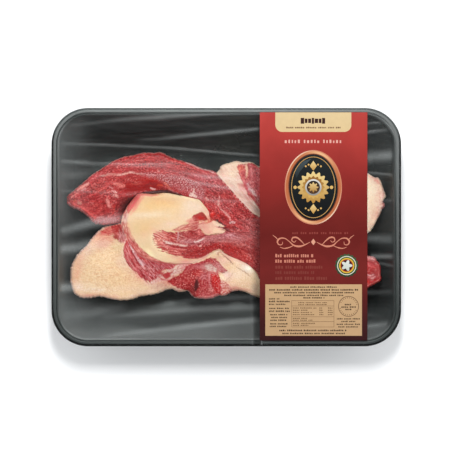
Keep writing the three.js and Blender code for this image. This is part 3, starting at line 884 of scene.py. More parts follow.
def muscle(p, m, u, v, seed, streak=1.0, grain=1.0, fleck=1.0, pale=(224, 142, 136), lu=9.0, lv=1.9):
    """Lean in a mask: bundles, fine fibres, grains, and small pale flecks and crooked lines that are partly painted wet
    glints.
    """
    f1 = fibres(u, v, lu, lv, seed)
    f2 = fibres(u, v, lu * 0.42, lv * 0.5, seed + 9)
    g1 = fbm(u / 2.4, v / 1.35, seed + 60, 2, 0.7)
    g0 = vnoise(u / 1.7, v / 1.05, seed + 66)
    big = fbm(u / 17.0, v / 5.0, seed + 21, 2)
    patch = smooth(-0.3, 0.35, fbm(u / 13.0, v / 6.0, seed + 71, 2))
    grain = grain * (0.45 + 0.8 * patch)
    fleck = fleck * (0.35 + 0.8 * patch)
    k = 1 + streak * (0.46 * f1 + 0.54 * f2) + 0.28 * big + grain * (0.76 * g1 + 0.74 * g0)
    p.times(np.clip(k, 0.25, 1.9), m)
    w = worms(u, v, lu * 0.5, lv * 0.9, seed + 33)
    spots = smooth(0.12, 0.5, fbm(p.x / 3.4, p.y / 3.0, seed + 44, 2))
    p.mix(m * fleck * np.clip(0.75 * w * spots + 0.6 * smooth(0.3, 0.62, g1) + 0.75 * smooth(0.42, 0.7, g0), 0, 0.9), pale)
    p.h += m * (0.06 * streak * f1 + 0.06 * f2 + grain * (0.06 * g1 + 0.05 * g0) + 0.05 * w)


def lobules(p, m, seed, grain=1.0, size=3.2):
    """Fat in a mask: soft lobules with faint lines between, and broad drifts of tone."""
    x, y = p.x, p.y
    wx, wy = x + 0.9 * vnoise(x / 5, y / 5, seed), y + 0.9 * vnoise(x / 5, y / 5, seed + 2)
    d1, d2, v = cells(wx / size, wy / (size * 0.8), seed)
    edge = smooth(0.0, 0.35, d2 - d1)
    big = fbm(x / 12.0, y / 9.0, seed + 5, 3)
    fine = fbm(x / 1.5, y / 1.5, seed + 8, 2)
    tiny = vnoise(x / 1.2, y / 1.2, seed + 9)
    k = 1 + grain * (0.09 * (edge - 0.7) + 0.08 * (v - 0.5) + 0.10 * fine + 0.09 * tiny) + 0.045 * big
    k = 1 + (k - 1) * m
    p.c *= np.stack([k ** 0.5, k, k ** 1.6], 1)
    p.h += m * (grain * (0.10 * (edge - 0.5) + 0.04 * fine + 0.02 * tiny) + 0.10 * big)


def rim(p, outline, w, rgb, k, soft=0.6, seed=4):
    """A line along a piece's own edge."""
    ring = np.vstack([outline, outline[:1]])
    d, _, _ = near_line(ring, p.x, p.y, w + 2 * soft + 1)
    m = 1 - smooth(w - soft, w + soft, d + 0.35 * vnoise(p.x / 3, p.y / 3, seed))
    return p.mix(m * k, rgb)


def torn_wedge(p):
    """The end of the cream wedge of fat: two lobes, with painted shade in the dark crevices between and above them."""
    p.mix(p.region([(212, 221.2), (215.6, 220.6), (218, 222.2), (221, 224), (224.2, 225.9), (222.4, 227), (218.6, 226.4), (214, 225)],
                   0.9, 0.5, 2.0, seed=39) * 0.95, (240, 200, 172), 0.0, 0.1)
    p.mix(p.region([(214, 227), (218, 227.8), (221.4, 228.8), (224.4, 231), (223.4, 232.6), (218, 233), (213, 232)],
                   0.9, 0.5, 2.0, seed=40) * 0.95, (240, 198, 168), 0.0, 0.1)
    p.strokes([
        ([(214.6, 218.6), (216.4, 220.2), (219, 221.8), (222, 223.6), (225.4, 225.6)], [0.4, 0.8, 0.9, 0.7, 0.4], (58, 16, 14), 0.95, 0.5, -0.4),
        ([(216.8, 226.9), (219.6, 226.6), (222.6, 227.4), (226, 228.6), (229, 230.4)], [0.3, 0.5, 0.9, 1.5, 0.9], (104, 22, 24), 0.9, 0.6, -0.25),
        ([(219.6, 229.4), (222.6, 229.6), (225.4, 230.8)], [0.3, 0.5, 0.9], (140, 36, 36), 0.85, 0.6, -0.15),
        ([(224.4, 227), (227.6, 229.6), (230, 232)], [0.8, 1.2, 0.8], (122, 24, 28), 0.8, 0.8, -0.1),
        ([(216, 224.2), (219.4, 225), (222, 226)], 0.5, (250, 220, 198), 0.6),
        ([(217.6, 231), (220.6, 230.8), (223, 231.8)], 0.45, (250, 214, 190), 0.6),
    ])


def paint_strip(x, y):
    p = Paint(x, y, (173, 55, 56), 1.0)
    one = np.ones(len(x))
    u, v = along([(64, 203), (80, 198), (100, 187), (122, 174), (145, 168), (170, 171), (195, 180), (215, 195),
                  (232, 210), (248, 222), (275, 236)], x, y)
    p.spots([
        (213, 214, 8, 4.6, 28, (190, 42, 38), 0.95), (212, 213.6, 3.4, 2.6, 20, (198, 42, 34), 0.9), (222, 217, 6, 2.6, 20, (178, 36, 38), 0.7),
        (152, 158, 18, 7, 0, (180, 46, 46), 0.85), (120, 164, 14, 5, -15, (182, 60, 60), 0.75),
        (185, 166, 14, 4, 22, (186, 68, 66), 0.7), (205, 173, 12, 5, 18, (180, 72, 74), 0.6),
        (205, 178, 22, 3.5, 10, (188, 92, 98), 0.6), (210, 186, 18, 3, 12, (176, 78, 84), 0.6),
        (238, 200, 8, 6, 45, (180, 58, 58), 0.6), (240, 213, 12, 7, 30, (164, 46, 48), 0.7),
        (212, 196, 10, 5, 20, (168, 68, 70), 0.6), (225, 206, 8, 6, 30, (178, 70, 72), 0.5),
        (250, 224, 9, 5, 10, (176, 86, 86), 0.6), (85, 186, 9, 5, -40, (196, 78, 76), 0.5),
        (98, 183, 10, 6, -40, (188, 72, 70), 0.6), (112, 180, 9, 5, -20, (186, 66, 64), 0.6),
        (90, 199, 9, 4, 0, (164, 42, 46), 0.8), (76, 196, 6, 4, -20, (188, 50, 52), 0.7),
        (98, 208, 9, 5, 10, (182, 62, 60), 0.6), (86, 209, 9, 3.5, 30, (200, 74, 72), 0.7),
        (100, 190, 10, 3, 0, (190, 68, 62), 0.6), (128, 180, 12, 4, -5, (178, 56, 54), 0.6),
        (146, 181, 10, 4, 0, (170, 44, 42), 0.6),
    ])
    muscle(p, one, u, v, 11, 1.0, 1.2, 0.8)
    # broad bundles: darker and paler ribbons that follow the strip
    rb = fbm(u / 42.0, v / 3.4, 111, 2, 0.5)
    p.times(np.clip(1 + 0.55 * rb, 0.6, 1.5))
    # the silvery, mottled skin over the middle, its pale mottle partly a painted wet sheen
    silver = p.region([(140, 173), (150, 172), (165, 173.5), (180, 176), (192, 180), (203, 188), (204, 195), (196, 199),
                       (188, 192), (178, 189.5), (168, 185), (158, 178), (148, 176)], 5.0, 1.5, seed=12)
    p.mix(silver * 0.55, (186, 96, 98))
    g = fbm(x / 1.35, y / 1.1, 71, 2, 0.8)
    p.mix(silver * smooth(0.03, 0.3, g) * 0.8, (236, 178, 176), dh=0.08)
    p.mix(silver * smooth(0.05, 0.32, -g) * 0.75, (132, 36, 42), dh=-0.08)
    silver2 = p.region([(195, 172), (212, 175), (222, 182), (214, 190), (200, 184)], 5.0, 1.5, seed=13)
    p.mix(silver2 * 0.18 * smooth(-0.1, 0.4, g), (212, 130, 132))
    # deep red shade along the overhung lower side
    deep = p.region([(123, 184), (128, 181.5), (138, 183), (147, 180), (155, 180.5), (163, 183), (160, 187.5), (150, 189),
                     (140, 192), (131, 195), (124, 193), (126, 188)], 2.4, 1.2, seed=14)
    p.mix(deep * 0.85, (160, 28, 30), dh=-0.25)
    p.mix(deep * 0.35 * smooth(0.0, 0.5, fibres(x, y, 7, 1.4, 15)), (212, 66, 58))
    p.strokes([
        # fascia line
        ([(98, 175.6), (104, 175), (110, 173.6), (117, 174.4), (123, 173.6), (128, 172.2), (132, 171.6), (136, 173), (143, 174.2)],
         [0.5, 0.8, 0.9, 1.0, 1.1, 1.1, 1.0, 0.8, 0.5], (216, 142, 132), 0.85, 0.8, 0.12),
        ([(116, 174.9), (121, 174.3), (126, 173.2), (131, 172), (135, 173.3)], 0.6, (248, 182, 170), 0.85, 0.6, 0.05),
        ([(146, 174.5), (151, 174.2), (156, 175.4)], 0.5, (228, 160, 158), 0.7),
        # glints and cracks of the left end
        ([(75.5, 190.4), (79, 188), (82.5, 186.2), (86, 184.4), (89, 182)], [0.5, 1.1, 1.5, 1.3, 0.5], (246, 158, 146), 0.95, 0.6, 0.12),
        ([(70, 197.4), (74, 194.6), (78, 191.6)], [0.4, 0.9, 0.5], (236, 130, 122), 0.8, 0.7, 0.08),
        ([(82, 190.4), (85, 188.2), (89, 184.4)], 0.35, (120, 26, 30), 0.8, 0.5, -0.1),
        ([(90, 181.4), (91.5, 184.6)], 0.8, (224, 62, 68), 0.6, 0.8),
        ([(66.8, 200.5), (68.5, 203.6), (73, 206.4), (79, 208.6), (84, 212.3), (88, 216), (92, 220)], 0.5, (206, 146, 144), 0.8),
        ([(71, 202.4), (75, 204.6), (80, 206.6), (85, 209.8), (89, 213.2), (93, 216.6), (97, 218.6)], [0.6, 0.9, 1.0, 0.9, 0.8],
         (230, 92, 88), 0.85, 0.8, 0.08),
        ([(76.5, 203), (79, 202.2), (81, 203.6)], 1.3, (206, 138, 124), 0.8, 0.8, 0.05),
        ([(73, 200.5), (75, 199.6)], 0.7, (196, 92, 48), 0.6),
        ([(85, 199.5), (90, 198), (95, 197.6), (99, 196.5)], 0.6, (150, 32, 36), 0.6, 0.9, -0.05),
        ([(89, 204.4), (94, 203.9), (99, 204.3)], 0.5, (214, 96, 88), 0.6),
        ([(88, 207), (94, 206.6), (99, 207.4)], 0.45, (156, 38, 40), 0.6),
        ([(103, 195.5), (102.7, 203), (103.2, 211), (104.4, 217)], [0.4, 0.7, 0.9, 0.5], (136, 28, 32), 0.75, 0.8, -0.1),
        ([(100, 197), (99.6, 205), (101, 213)], 0.4, (204, 74, 70), 0.5),
        ([(105.8, 197.6), (107, 201), (108.3, 205), (110, 208)], [1.0, 1.7, 1.2, 0.6], (242, 150, 140), 0.92, 0.8, 0.12),
        ([(112, 194.6), (115.6, 195.4), (118, 197.4)], [0.7, 1.3, 0.7], (238, 158, 148), 0.85, 0.7, 0.1),
        ([(95, 199.6), (97.6, 203), (98.6, 208)], [0.5, 0.8, 0.5], (150, 30, 34), 0.7, 0.8, -0.08),
        ([(88, 201.4), (92, 200.6), (96, 201.8)], 0.6, (206, 70, 66), 0.6, 0.8),
        ([(91, 209.8), (95, 211.6), (98, 215)], [0.5, 1.0, 0.5], (160, 40, 42), 0.6, 0.9, -0.06),
        ([(104.8, 198.8), (105.6, 203), (106.6, 207.4)], 0.35, (112, 22, 26), 0.8, 0.45, -0.08),
        ([(110, 198.4), (111.5, 203), (112, 208)], 0.45, (226, 104, 98), 0.6),
        ([(113, 204.5), (113.5, 210), (111.6, 214)], 0.9, (206, 52, 40), 0.6, 0.9),
        ([(108.4, 206), (109.4, 211), (108, 215)], 0.5, (150, 36, 38), 0.6),
        # pale chunk and the cracks beside it
        ([(112, 184), (116, 183.4), (120, 184.8), (125, 185.6)], [0.7, 1.5, 1.6, 0.9], (234, 128, 118), 0.9, 0.8, 0.12),
        ([(117, 187.2), (121, 187), (124, 188.2)], [0.5, 1.0, 0.5], (226, 130, 122), 0.8, 0.7, 0.08),
        ([(128, 177.4), (136, 177.8), (144, 177.2)], 0.7, (150, 30, 32), 0.55, 1.0, -0.06),
        ([(133, 179.6), (140, 180.4), (150, 179.2), (157, 180.6)], [0.4, 0.9, 0.9, 0.4], (196, 52, 46), 0.6, 0.9),
        ([(142, 186.6), (150, 183.6), (158, 184.2), (164, 186.6)], [0.5, 1.2, 1.2, 0.5], (140, 18, 20), 0.6, 1.0, -0.1),
        ([(113, 182.6), (117, 185.8)], 0.35, (248, 156, 146), 0.7, 0.5),
        ([(116, 188.6), (119, 189.4), (123, 188.4), (125.4, 187.4)], 0.45, (112, 24, 24), 0.8, 0.5, -0.12),
        ([(126, 184.5), (126.4, 188), (127, 192)], 0.5, (142, 22, 26), 0.7, 0.7),
        ([(130, 183), (136, 184), (142, 183.2)], 0.5, (222, 96, 84), 0.55),
        ([(134, 181.3), (137, 182.8)], 0.6, (232, 112, 100), 0.6),
        ([(132, 186.4), (139, 187.6), (147, 185.8)], 0.45, (196, 42, 40), 0.5),
        ([(156.5, 184.8), (160, 184.6), (162, 185.6)], 0.9, (222, 78, 60), 0.8, 0.8, 0.08),
        ([(163.5, 181.8), (166, 184), (168.4, 187), (171, 189)], [0.8, 1.1, 0.9, 0.5], (230, 110, 92), 0.8, 0.8, 0.08),
        ([(168, 188.4), (171.5, 190.4), (175, 192)], 0.6, (214, 132, 128), 0.7),
        ([(172, 186), (176, 190), (180, 193.2)], 0.7, (168, 34, 40), 0.6),
        # a painted glint on the strip's pale lower lip
        ([(149.4, 187.4), (152.4, 188.4), (155, 189.3)], [0.5, 0.95, 0.5], (246, 192, 186), 0.95, 0.5, 0.12),
        ([(174.5, 192.4), (178, 193.2)], 0.5, (226, 176, 170), 0.8),
        # fat specks and the vein of the right part
        ([(193, 187.6), (193.6, 190.6), (192.4, 194)], [0.3, 0.7, 1.4], (240, 200, 186), 0.95, 0.5, 0.1),
        ([(188.6, 194.4), (191.4, 194.6), (194.6, 195.6), (196.4, 197)], [1.2, 1.9, 1.5, 0.7], (241, 207, 192), 0.95, 0.6, 0.1),
        ([(198.4, 191), (200.6, 193.4)], 0.6, (214, 110, 106), 0.6),
        ([(205.6, 196.4), (206.6, 198.6)], 0.7, (228, 160, 150), 0.8), ([(208.6, 198.4), (207.8, 199.6)], 0.5, (216, 150, 140), 0.7),
        ([(219, 195.4), (219.3, 198)], 0.6, (238, 172, 164), 0.85, 0.5),
        ([(218.2, 199), (218.2, 203), (219, 206), (221, 209.4)], [0.9, 1.1, 0.6, 0.7], (232, 156, 148), 0.85, 0.6, 0.06),
        ([(221, 209.4), (224, 211.8), (227, 214.4), (229, 217), (230.4, 220.6)], [0.6, 1.1, 1.3, 1.0, 0.6], (234, 156, 148), 0.85, 0.6, 0.06),
        ([(229, 222.6), (232, 221.8), (235.4, 222.6)], [0.7, 1.3, 0.7], (206, 150, 148), 0.8, 0.8),
        ([(222.6, 190.6), (224.4, 193.6), (223.4, 196), (226, 197.6)], 0.4, (226, 96, 88), 0.7, 0.5),
        ([(228, 194.6), (231, 196.4)], 0.45, (222, 96, 90), 0.7), ([(231.4, 203.4), (232.4, 206)], 0.5, (214, 120, 114), 0.7),
        # vivid red beside the fat corner
        ([(199.6, 201.2), (203, 204.6), (206.6, 208.4), (209.4, 212)], [0.6, 1.1, 1.4, 1.4], (204, 50, 48), 0.8, 1.0),
        ([(206, 204), (209, 207.6), (211.4, 211.6)], [0.6, 1.2, 0.8], (186, 44, 44), 0.6, 1.2),
        ([(209.8, 210), (210.4, 213)], 0.6, (96, 14, 14), 0.8, 0.5, -0.15),
        ([(220.6, 216.6), (224.6, 217.2), (227.4, 219)], 0.8, (122, 36, 34), 0.7, 0.7, -0.08),
        ([(216.4, 214), (219.4, 216.8)], 0.8, (226, 62, 58), 0.6),
        # dark lean and light flecks along the lower seam
        ([(223, 225.4), (228, 226.8), (233, 228.8), (237, 230.6)], [1.0, 1.6, 1.4, 0.8], (142, 26, 32), 0.85, 0.9, -0.1),
        ([(226, 223.4), (231, 224.8), (238, 225.6)], 0.5, (206, 88, 84), 0.6),
        ([(237, 230), (239.6, 229.4)], 0.9, (238, 128, 122), 0.85, 0.6, 0.08),
        # a painted glint
        ([(246.6, 226), (248.4, 228.4)], 0.8, (228, 124, 120), 0.8, 0.6, 0.05),
        ([(240, 215), (243, 216)], 0.4, (228, 110, 102), 0.7), ([(246, 216.4), (248, 217.4)], 0.5, (228, 116, 108), 0.7),
        ([(236, 212), (240, 213.2)], 0.35, (214, 96, 88), 0.6), ([(250.6, 212.6), (252, 215)], 0.4, (206, 96, 92), 0.6),
        # the pale, moist hem at the lower left
        ([(93, 221.6), (98, 220.4), (104, 219.8), (110, 219.8), (116, 219.6)], [1.2, 2.2, 2.8, 3.0, 3.0], (188, 112, 112), 0.75, 1.3),
        ([(96, 218.2), (99, 216.8), (103, 216.6)], 0.8, (226, 148, 146), 0.6),
        ([(107.4, 214.6), (108.6, 216.8)], 0.7, (222, 140, 136), 0.7),
    ])
    hem = p.stroke([(93, 222), (100, 220.6), (108, 220.2), (114, 220), (119, 218.6)], [1.4, 2.6, 3.2, 3.2, 2.6], 1.4)
    hs = fibres(*turned(x, y, 82), 5.0, 1.1, 171)
    p.mix(hem * smooth(0.05, 0.4, hs) * 0.5, (214, 150, 150), dh=0.05)
    p.mix(hem * smooth(0.05, 0.4, -hs) * 0.55, (150, 76, 78), dh=-0.05)
    # painted shade along the strip's lower edge where it meets the lower slab
    p.mix(p.stroke([(96, 224), (104, 225), (112, 224.2), (118, 223)], [0.5, 0.8, 0.8, 0.6], 0.8) * 0.7, (112, 34, 34), dh=-0.1)
    # painted wet glints on the strip's left part
    p.strokes([([(110.6, 190.4), (113.4, 191), (116.6, 192.6)], [0.5, 1.0, 0.5], (240, 172, 166), 0.8, 0.6, 0.08),
               ([(108.4, 186.2), (110.6, 187.2), (112.4, 188.8)], 0.6, (228, 142, 138), 0.75, 0.6, 0.05),
               ([(111, 195.4), (113.4, 196.4)], 0.6, (226, 146, 140), 0.7, 0.6, 0.05),
               ([(80.4, 190.6), (83, 188.8), (85.6, 187.4)], [0.5, 1.0, 0.5], (232, 160, 154), 0.7, 0.7, 0.06),
               ([(83.6, 184.8), (86.4, 182.8)], 0.6, (236, 170, 164), 0.7, 0.6, 0.05),
               ([(88, 187.4), (90.4, 189.2)], 0.5, (222, 136, 132), 0.65, 0.6, 0.04)])
    torn_wedge(p)
    hs2 = vnoise(x / 2.2, y / 2.2, 190)
    dc, _, _ = near_line(spline(STRIP_CORNER[:12], 0.8), x, y, 4.0)
    p.mix((1 - smooth(0.4, 1.5, dc - 0.8 * hs2)) * smooth(-0.2, 0.3, hs2) * 0.7, (226, 160, 150), 0.5, 0.03)
    p.strokes([([(217.5, 175.6), (219.4, 177.6), (221, 180.4)], 0.5, (110, 26, 28), 0.5, 0.8)])
    # the inner flank of the hanging end runs down into deep shade
    dfl, sfl, _ = near_line(spline(CENTRE_LEFT, 0.8), x, y, 20.0)
    uf, vf = turned(x, y, 78)
    far = dfl + 1.6 * fibres(uf, vf, 8, 1.3, 17)
    flank = (1 - smooth(1.5, 12.5, far)) * smooth(218, 209, y) * smooth(192.5, 198.0, y)
    p.mix(flank * 0.92, (74, 22, 18), dh=-0.5)
    p.mix(flank * 0.35 * smooth(0.1, 0.5, fibres(uf, vf, 6, 1.0, 18)) * smooth(3.0, 8.0, dfl), (190, 60, 56))
    # painted shade in the crevice against the centre slab
    crev = p.stroke([(140, 192.6), (146, 192.2), (152, 192.2), (158, 191.7), (163, 191.2), (168, 191.4), (174, 193), (184, 195.6)],
                    [0.7, 1.4, 2.0, 2.0, 1.8, 1.2, 0.8, 0.4], 0.9)
    p.mix(crev * 0.93, (66, 12, 12), 0.6, -0.35)
    # the same painted glint again
    p.strokes([([(149.4, 187.4), (152.4, 188.4), (155, 189.3)], [0.4, 0.8, 0.4], (246, 192, 186), 0.8, 0.5)])
    lit = p.region([(118, 188), (126, 186.6), (134, 187), (140, 189.4), (138, 193.8), (134.6, 197), (129, 196.6), (123, 196.6), (118, 194)], 1.8, 0.8, seed=191)
    p.mix(lit * 0.6, (158, 34, 36))
    # tone corrections at listed places; the darkening at (130, 201) is painted shade where the strip curls under
    p.tints([(92, 178, 6, 4, -42, (1.1, 1.25, 1.3)), (188, 178, 10, 5, 12, (1.1, 1.25, 1.25)), (212, 202, 8, 5, 30, (1.15, 1.5, 1.45)),
             (236, 202, 8, 5, 44, (1.15, 1.5, 1.45)), (140, 178, 10, 4, 0, (1.1, 1.45, 1.4)), (164, 185, 5, 4, 30, (1.15, 1.4, 1.35)),
             (124, 194, 5, 4, 0, (1.1, 0.95, 1.0)), (98, 176, 7, 3, -30, (1.05, 1.15, 1.2)), (92, 194, 5, 3.4, 0, (1.25, 1.15, 1.15)),
             (90, 178.6, 5, 2.4, -42, (1.1, 1.25, 1.25)), (93, 187, 5, 3.6, 0, (0.88, 0.76, 0.74)), (177, 186.6, 8, 3.4, 14, (1.0, 0.76, 0.78)),
             (248, 242, 9, 4, 10, (0.97, 0.82, 0.82)), (252, 178, 4, 5, 0, (1.0, 1.2, 1.2)), (122, 193, 5, 4, 0, (1.2, 1.55, 1.5)),
             (130, 201, 4, 4, 0, (0.85, 0.62, 0.58)), (90, 177, 5, 3, -42, (1.12, 1.3, 1.35)), (234, 201, 5, 5, 0, (1.12, 1.35, 1.35)),
             (250, 241, 5, 4, 0, (0.94, 0.76, 0.76)), (150, 162, 17, 3.6, 0, (0.94, 0.74, 0.74)), (242, 185, 5, 4, 0, (0.93, 0.78, 0.8)),
             (117, 192, 4, 3, 0, (1.18, 1.45, 1.4)), (206, 200, 4, 4, 0, (1.18, 1.4, 1.35)), (99, 174, 5, 3, -30, (1.05, 1.4, 1.4)),
             (153, 160, 12, 3.4, 0, (0.88, 0.78, 0.76)), (98, 184, 9, 4, 0, (0.92, 0.76, 0.72)), (126, 200, 4, 4, 0, (0.96, 0.65, 0.6)),
             (157, 190, 7, 2.4, 0, (0.9, 0.65, 0.6)), (232, 223, 10, 5, 0, (1.26, 1.55, 1.5)), (254, 184, 4, 3, 0, (0.97, 1.3, 1.2))])
    # painted highlights along the strip's upper edge
    edge_pts = np.array(STRIP_TOP[1:])
    p.mix(p.stroke(edge_pts, 0.45, 0.6, wob=0.2) * 0.6, (214, 150, 142))
    p.mix(p.stroke([(184, 161.6), (192, 164.6), (200, 168), (208, 170), (215, 173)], 0.55, 0.6) * 0.7, (232, 186, 182))
    return p


def paint_centre(x, y):
    p = Paint(x, y, (245, 212, 166), 0.0)
    one = np.ones(len(x))
    p.spots([
        (161, 203, 17, 5.5, 2, (246, 203, 144), 0.9), (150, 206, 8, 5, 0, (245, 205, 146), 0.6),
        (148, 214.5, 17, 2.6, 0, (251, 226, 192), 0.75), (164, 215, 14, 3, 0, (246, 219, 180), 0.5),
        (144, 228, 9, 8, 0, (245, 207, 152), 0.8), (155, 222, 12, 4, 0, (241, 207, 158), 0.6),
        (145, 234, 4, 3, 0, (248, 202, 162), 0.6), (136, 227, 3, 6, 0, (238, 212, 156), 0.5),
        (190, 206, 9, 8, 0, (247, 221, 194), 0.85), (199, 207, 7, 5, 30, (249, 222, 198), 0.7),
        (186, 216, 10, 5, 0, (245, 214, 186), 0.7), (171, 224, 9, 4, 0, (249, 219, 194), 0.75),
        (162, 227, 8, 2.6, 0, (248, 216, 180), 0.5), (147, 247, 8, 8, 20, (240, 212, 162), 0.7),
        (156, 254, 8, 4, 20, (247, 222, 180), 0.6), (170, 259, 12, 2.6, 6, (238, 212, 166), 0.6),
        (208, 213, 3, 4, 30, (246, 208, 186), 0.7), (153, 236, 3.5, 7, 0, (250, 203, 170), 0.7),
        (152, 244, 3, 5, 0, (246, 206, 166), 0.5),
    ])
    lobules(p, one, 31, 0.3, 3.6)
    left_part = 1 - smooth(150, 205, x)
    p.c *= np.stack([0.95 - 0.02 * left_part, 0.93 - 0.04 * left_part, 0.96 - 0.10 * left_part * (1 - smooth(205, 245, y))], 1)
    # red rim of the upper left edge, then a tan membrane below it
    p.mix(p.stroke([(141, 192.8), (137, 195.6), (133.4, 199.4), (130.6, 203.4), (128, 207.6), (125.8, 211.6), (124, 215.6), (122.6, 220)],
                   [2.0, 3.0, 3.4, 3.4, 3.2, 2.6, 1.8], 1.3, ends=0.02) * 0.92, (208, 84, 88), 0.7)
    p.mix(p.stroke([(138, 197), (134.4, 201.6), (131.4, 206), (129, 210)], [0.6, 1.0, 1.0, 0.6], 0.8) * 0.7, (230, 98, 102), 0.7)
    p.mix(p.stroke([(140.4, 198.6), (137, 202.6), (134.2, 207), (131.8, 211.4), (129.6, 215.4)], 0.9, 1.2) * 0.6, (240, 160, 138), 0.3)
    p.mix(p.stroke([(140, 194.4), (146, 193.2), (152, 193.6), (157, 193.6)], [1.1, 1.2, 0.9, 0.4], 0.8) * 0.8, (196, 92, 86), 0.5)
    p.mix(p.stroke([(141, 195.8), (147, 195.4), (153, 195.4), (158, 195)], 0.5, 0.8) * 0.5, (246, 178, 156), 0.2)
    p.mix(p.stroke([(127.4, 212.4), (125.4, 216), (124.2, 220), (124, 224)], [1.4, 2.2, 2.6, 2.4], 1.3) * 0.8, (232, 184, 166), 0.2)
    p.mix(p.stroke([(123.4, 221), (123.6, 227), (125.4, 233.6), (128.4, 239.6), (132.4, 245), (137.4, 250.4)],
                   [2.8, 3.4, 3.0, 2.4, 1.8, 0.8], 1.3) * 0.88, (218, 128, 112), 0.5)
    um, vm = turned(x, y, 66)
    edge_band = p.stroke([(123, 221), (123.4, 228), (125.4, 234.6), (129, 241)], [2.2, 2.8, 2.2, 1.2], 0.9)
    p.mix(edge_band * smooth(0.05, 0.4, fibres(um, vm, 9, 1.0, 33)) * 0.75, (184, 72, 72), 0.7)
    p.mix(edge_band * smooth(0.1, 0.4, -fibres(um, vm, 9, 1.0, 33)) * 0.6, (240, 186, 168), 0.2)
    p.mix(p.stroke([(127.4, 221), (128, 227), (129.4, 232), (131.4, 236.4), (134.6, 241)], [0.7, 0.8, 0.8, 0.7, 0.4], 0.9) * 0.6,
          (244, 178, 144), 0.2)
    p.mix(p.stroke([(122.6, 224), (123.4, 229), (125.4, 234.6)], 0.5, 0.7) * 0.5, (190, 92, 84), 0.6)
    # pale line under the crevice of the lean strip, and the crevice's edge darkened as painted shade
    p.mix(p.stroke([(158, 193.6), (165, 193.2), (172, 194.4), (180, 196.2), (188, 198), (196, 200.4)], 0.8, 0.8) * 0.55, (251, 228, 188))
    for cx, cy in ((153, 197.6), (159, 198.4), (164, 199), (156, 199.4)):
        p.mix(p.spot(cx, cy, 2.2, 0.7, 8) * 0.5, (232, 176, 128), dh=-0.05)

    # ---- the lean tongue and the lean body to its right
    u25, v25 = turned(x, y, 25)
    u8, v8 = turned(x, y, 9)
    lo = smooth(238, 246, y)
    uu, vv = u25 * (1 - lo) + u8 * lo, v25 * (1 - lo) + v8 * lo
    amp = 0.5 + 1.9 * (1 - smooth(158, 186, x)) + 0.5 * (x < 230)
    lean = p.feather([(152.6, 237), (153.6, 232.4), (157, 230.6), (163, 230.6), (168, 231.4), (174, 232), (178, 231.6), (182, 230.6),
                     (187, 230), (192, 229), (197, 227), (200, 228), (203, 232.4), (207, 234.6), (214, 234.2), (221, 233.2),
                     (224.6, 231), (226, 226), (229, 224), (236, 224), (250, 224), (275, 230), (320, 228), (400, 240), (400, 300), (262, 292),
                     (257.5, 275), (253, 269), (247, 265.6), (240, 262), (233, 259), (228, 256.4), (223.6, 252.4), (219.4, 249.6),
                     (215, 250.2), (211, 252), (206, 255.4), (200, 257.6), (194, 258.4), (188, 258.8), (183.6, 258), (181, 256.2),
                     (175, 255.8), (169.6, 253.6), (164, 251.4), (158.6, 248.6), (155.4, 245), (153.4, 241)], uu, vv, 9.0, 1.15, amp, 1.3, 32)
    base = p.c.copy()
    hh, ll = p.h.copy(), p.lean.copy()
    q = Paint(x, y, (170, 58, 58), 1.0)
    # lean tones; the greyish-pink spots across x 214 to 240 paint a sheen band
    q.spots([
        (160, 236, 6, 6, 0, (222, 122, 110), 0.8), (168, 236, 5, 4, 20, (204, 84, 78), 0.8), (174, 236, 4, 5, 0, (190, 58, 58), 0.85),
        (184, 234, 5, 4, 0, (158, 46, 50), 0.85), (193, 232, 5, 3, 10, (156, 40, 42), 0.85), (199, 232, 3, 2.4, 20, (232, 126, 120), 0.8),
        (186, 241, 9, 3, 0, (186, 112, 114), 0.8), (195, 243.6, 6, 2, 0, (150, 54, 58), 0.6),
        (178, 246, 9, 1.8, 6, (184, 62, 64), 0.8), (172, 252, 9, 2.4, 8, (206, 82, 76), 0.8), (175, 252.6, 2.4, 1.4, 0, (220, 58, 62), 0.8),
        (195, 252.6, 12, 4.6, -3, (156, 32, 34), 0.95), (206, 248.6, 9, 4, -20, (160, 32, 36), 0.9),
        (217, 245.4, 9, 3.2, 0, (158, 34, 36), 0.9), (227, 246, 9, 3.6, 18, (164, 34, 36), 0.85), (238, 251, 10, 4, 25, (174, 42, 40), 0.8),
        (248, 258, 9, 3.6, 28, (170, 50, 48), 0.8), (214, 238, 12, 3, -6, (184, 106, 108), 0.85), (229, 234.6, 8, 3, 0, (198, 126, 130), 0.85),
        (240, 238.6, 10, 3, 0, (188, 106, 106), 0.75), (222, 240.4, 16, 2, 0, (186, 112, 108), 0.6),
        (250, 232, 10, 7, 0, (178, 80, 80), 0.6), (251, 245, 9, 6, 10, (174, 68, 68), 0.6), (240, 244.6, 8, 2.4, 12, (190, 96, 90), 0.5),
        (160, 243, 3, 3, 40, (226, 118, 106), 0.7), (203, 243, 6, 2, -6, (170, 70, 74), 0.6),
        (371, 257.6, 7, 2.4, 14, (208, 140, 138), 0.9), (371, 265, 9, 4, 16, (196, 58, 62), 0.9), (376, 270, 5, 3.4, 20, (200, 76, 74), 0.8),
        (369, 271.6, 5, 3, 0, (178, 34, 38), 0.85), (371, 276, 6, 2.6, 0, (214, 120, 120), 0.8), (372, 281.4, 9, 2.8, -16, (196, 52, 54), 0.9),
    ])
    us, vs = along([(150, 238), (163, 243), (178, 248), (195, 249.6), (208, 244.6), (220, 242), (232, 245), (246, 252), (262, 260)], x, y)
    muscle(q, one, us, vs, 34, 1.15, 0.8, 0.7, lu=10.0, lv=1.5)
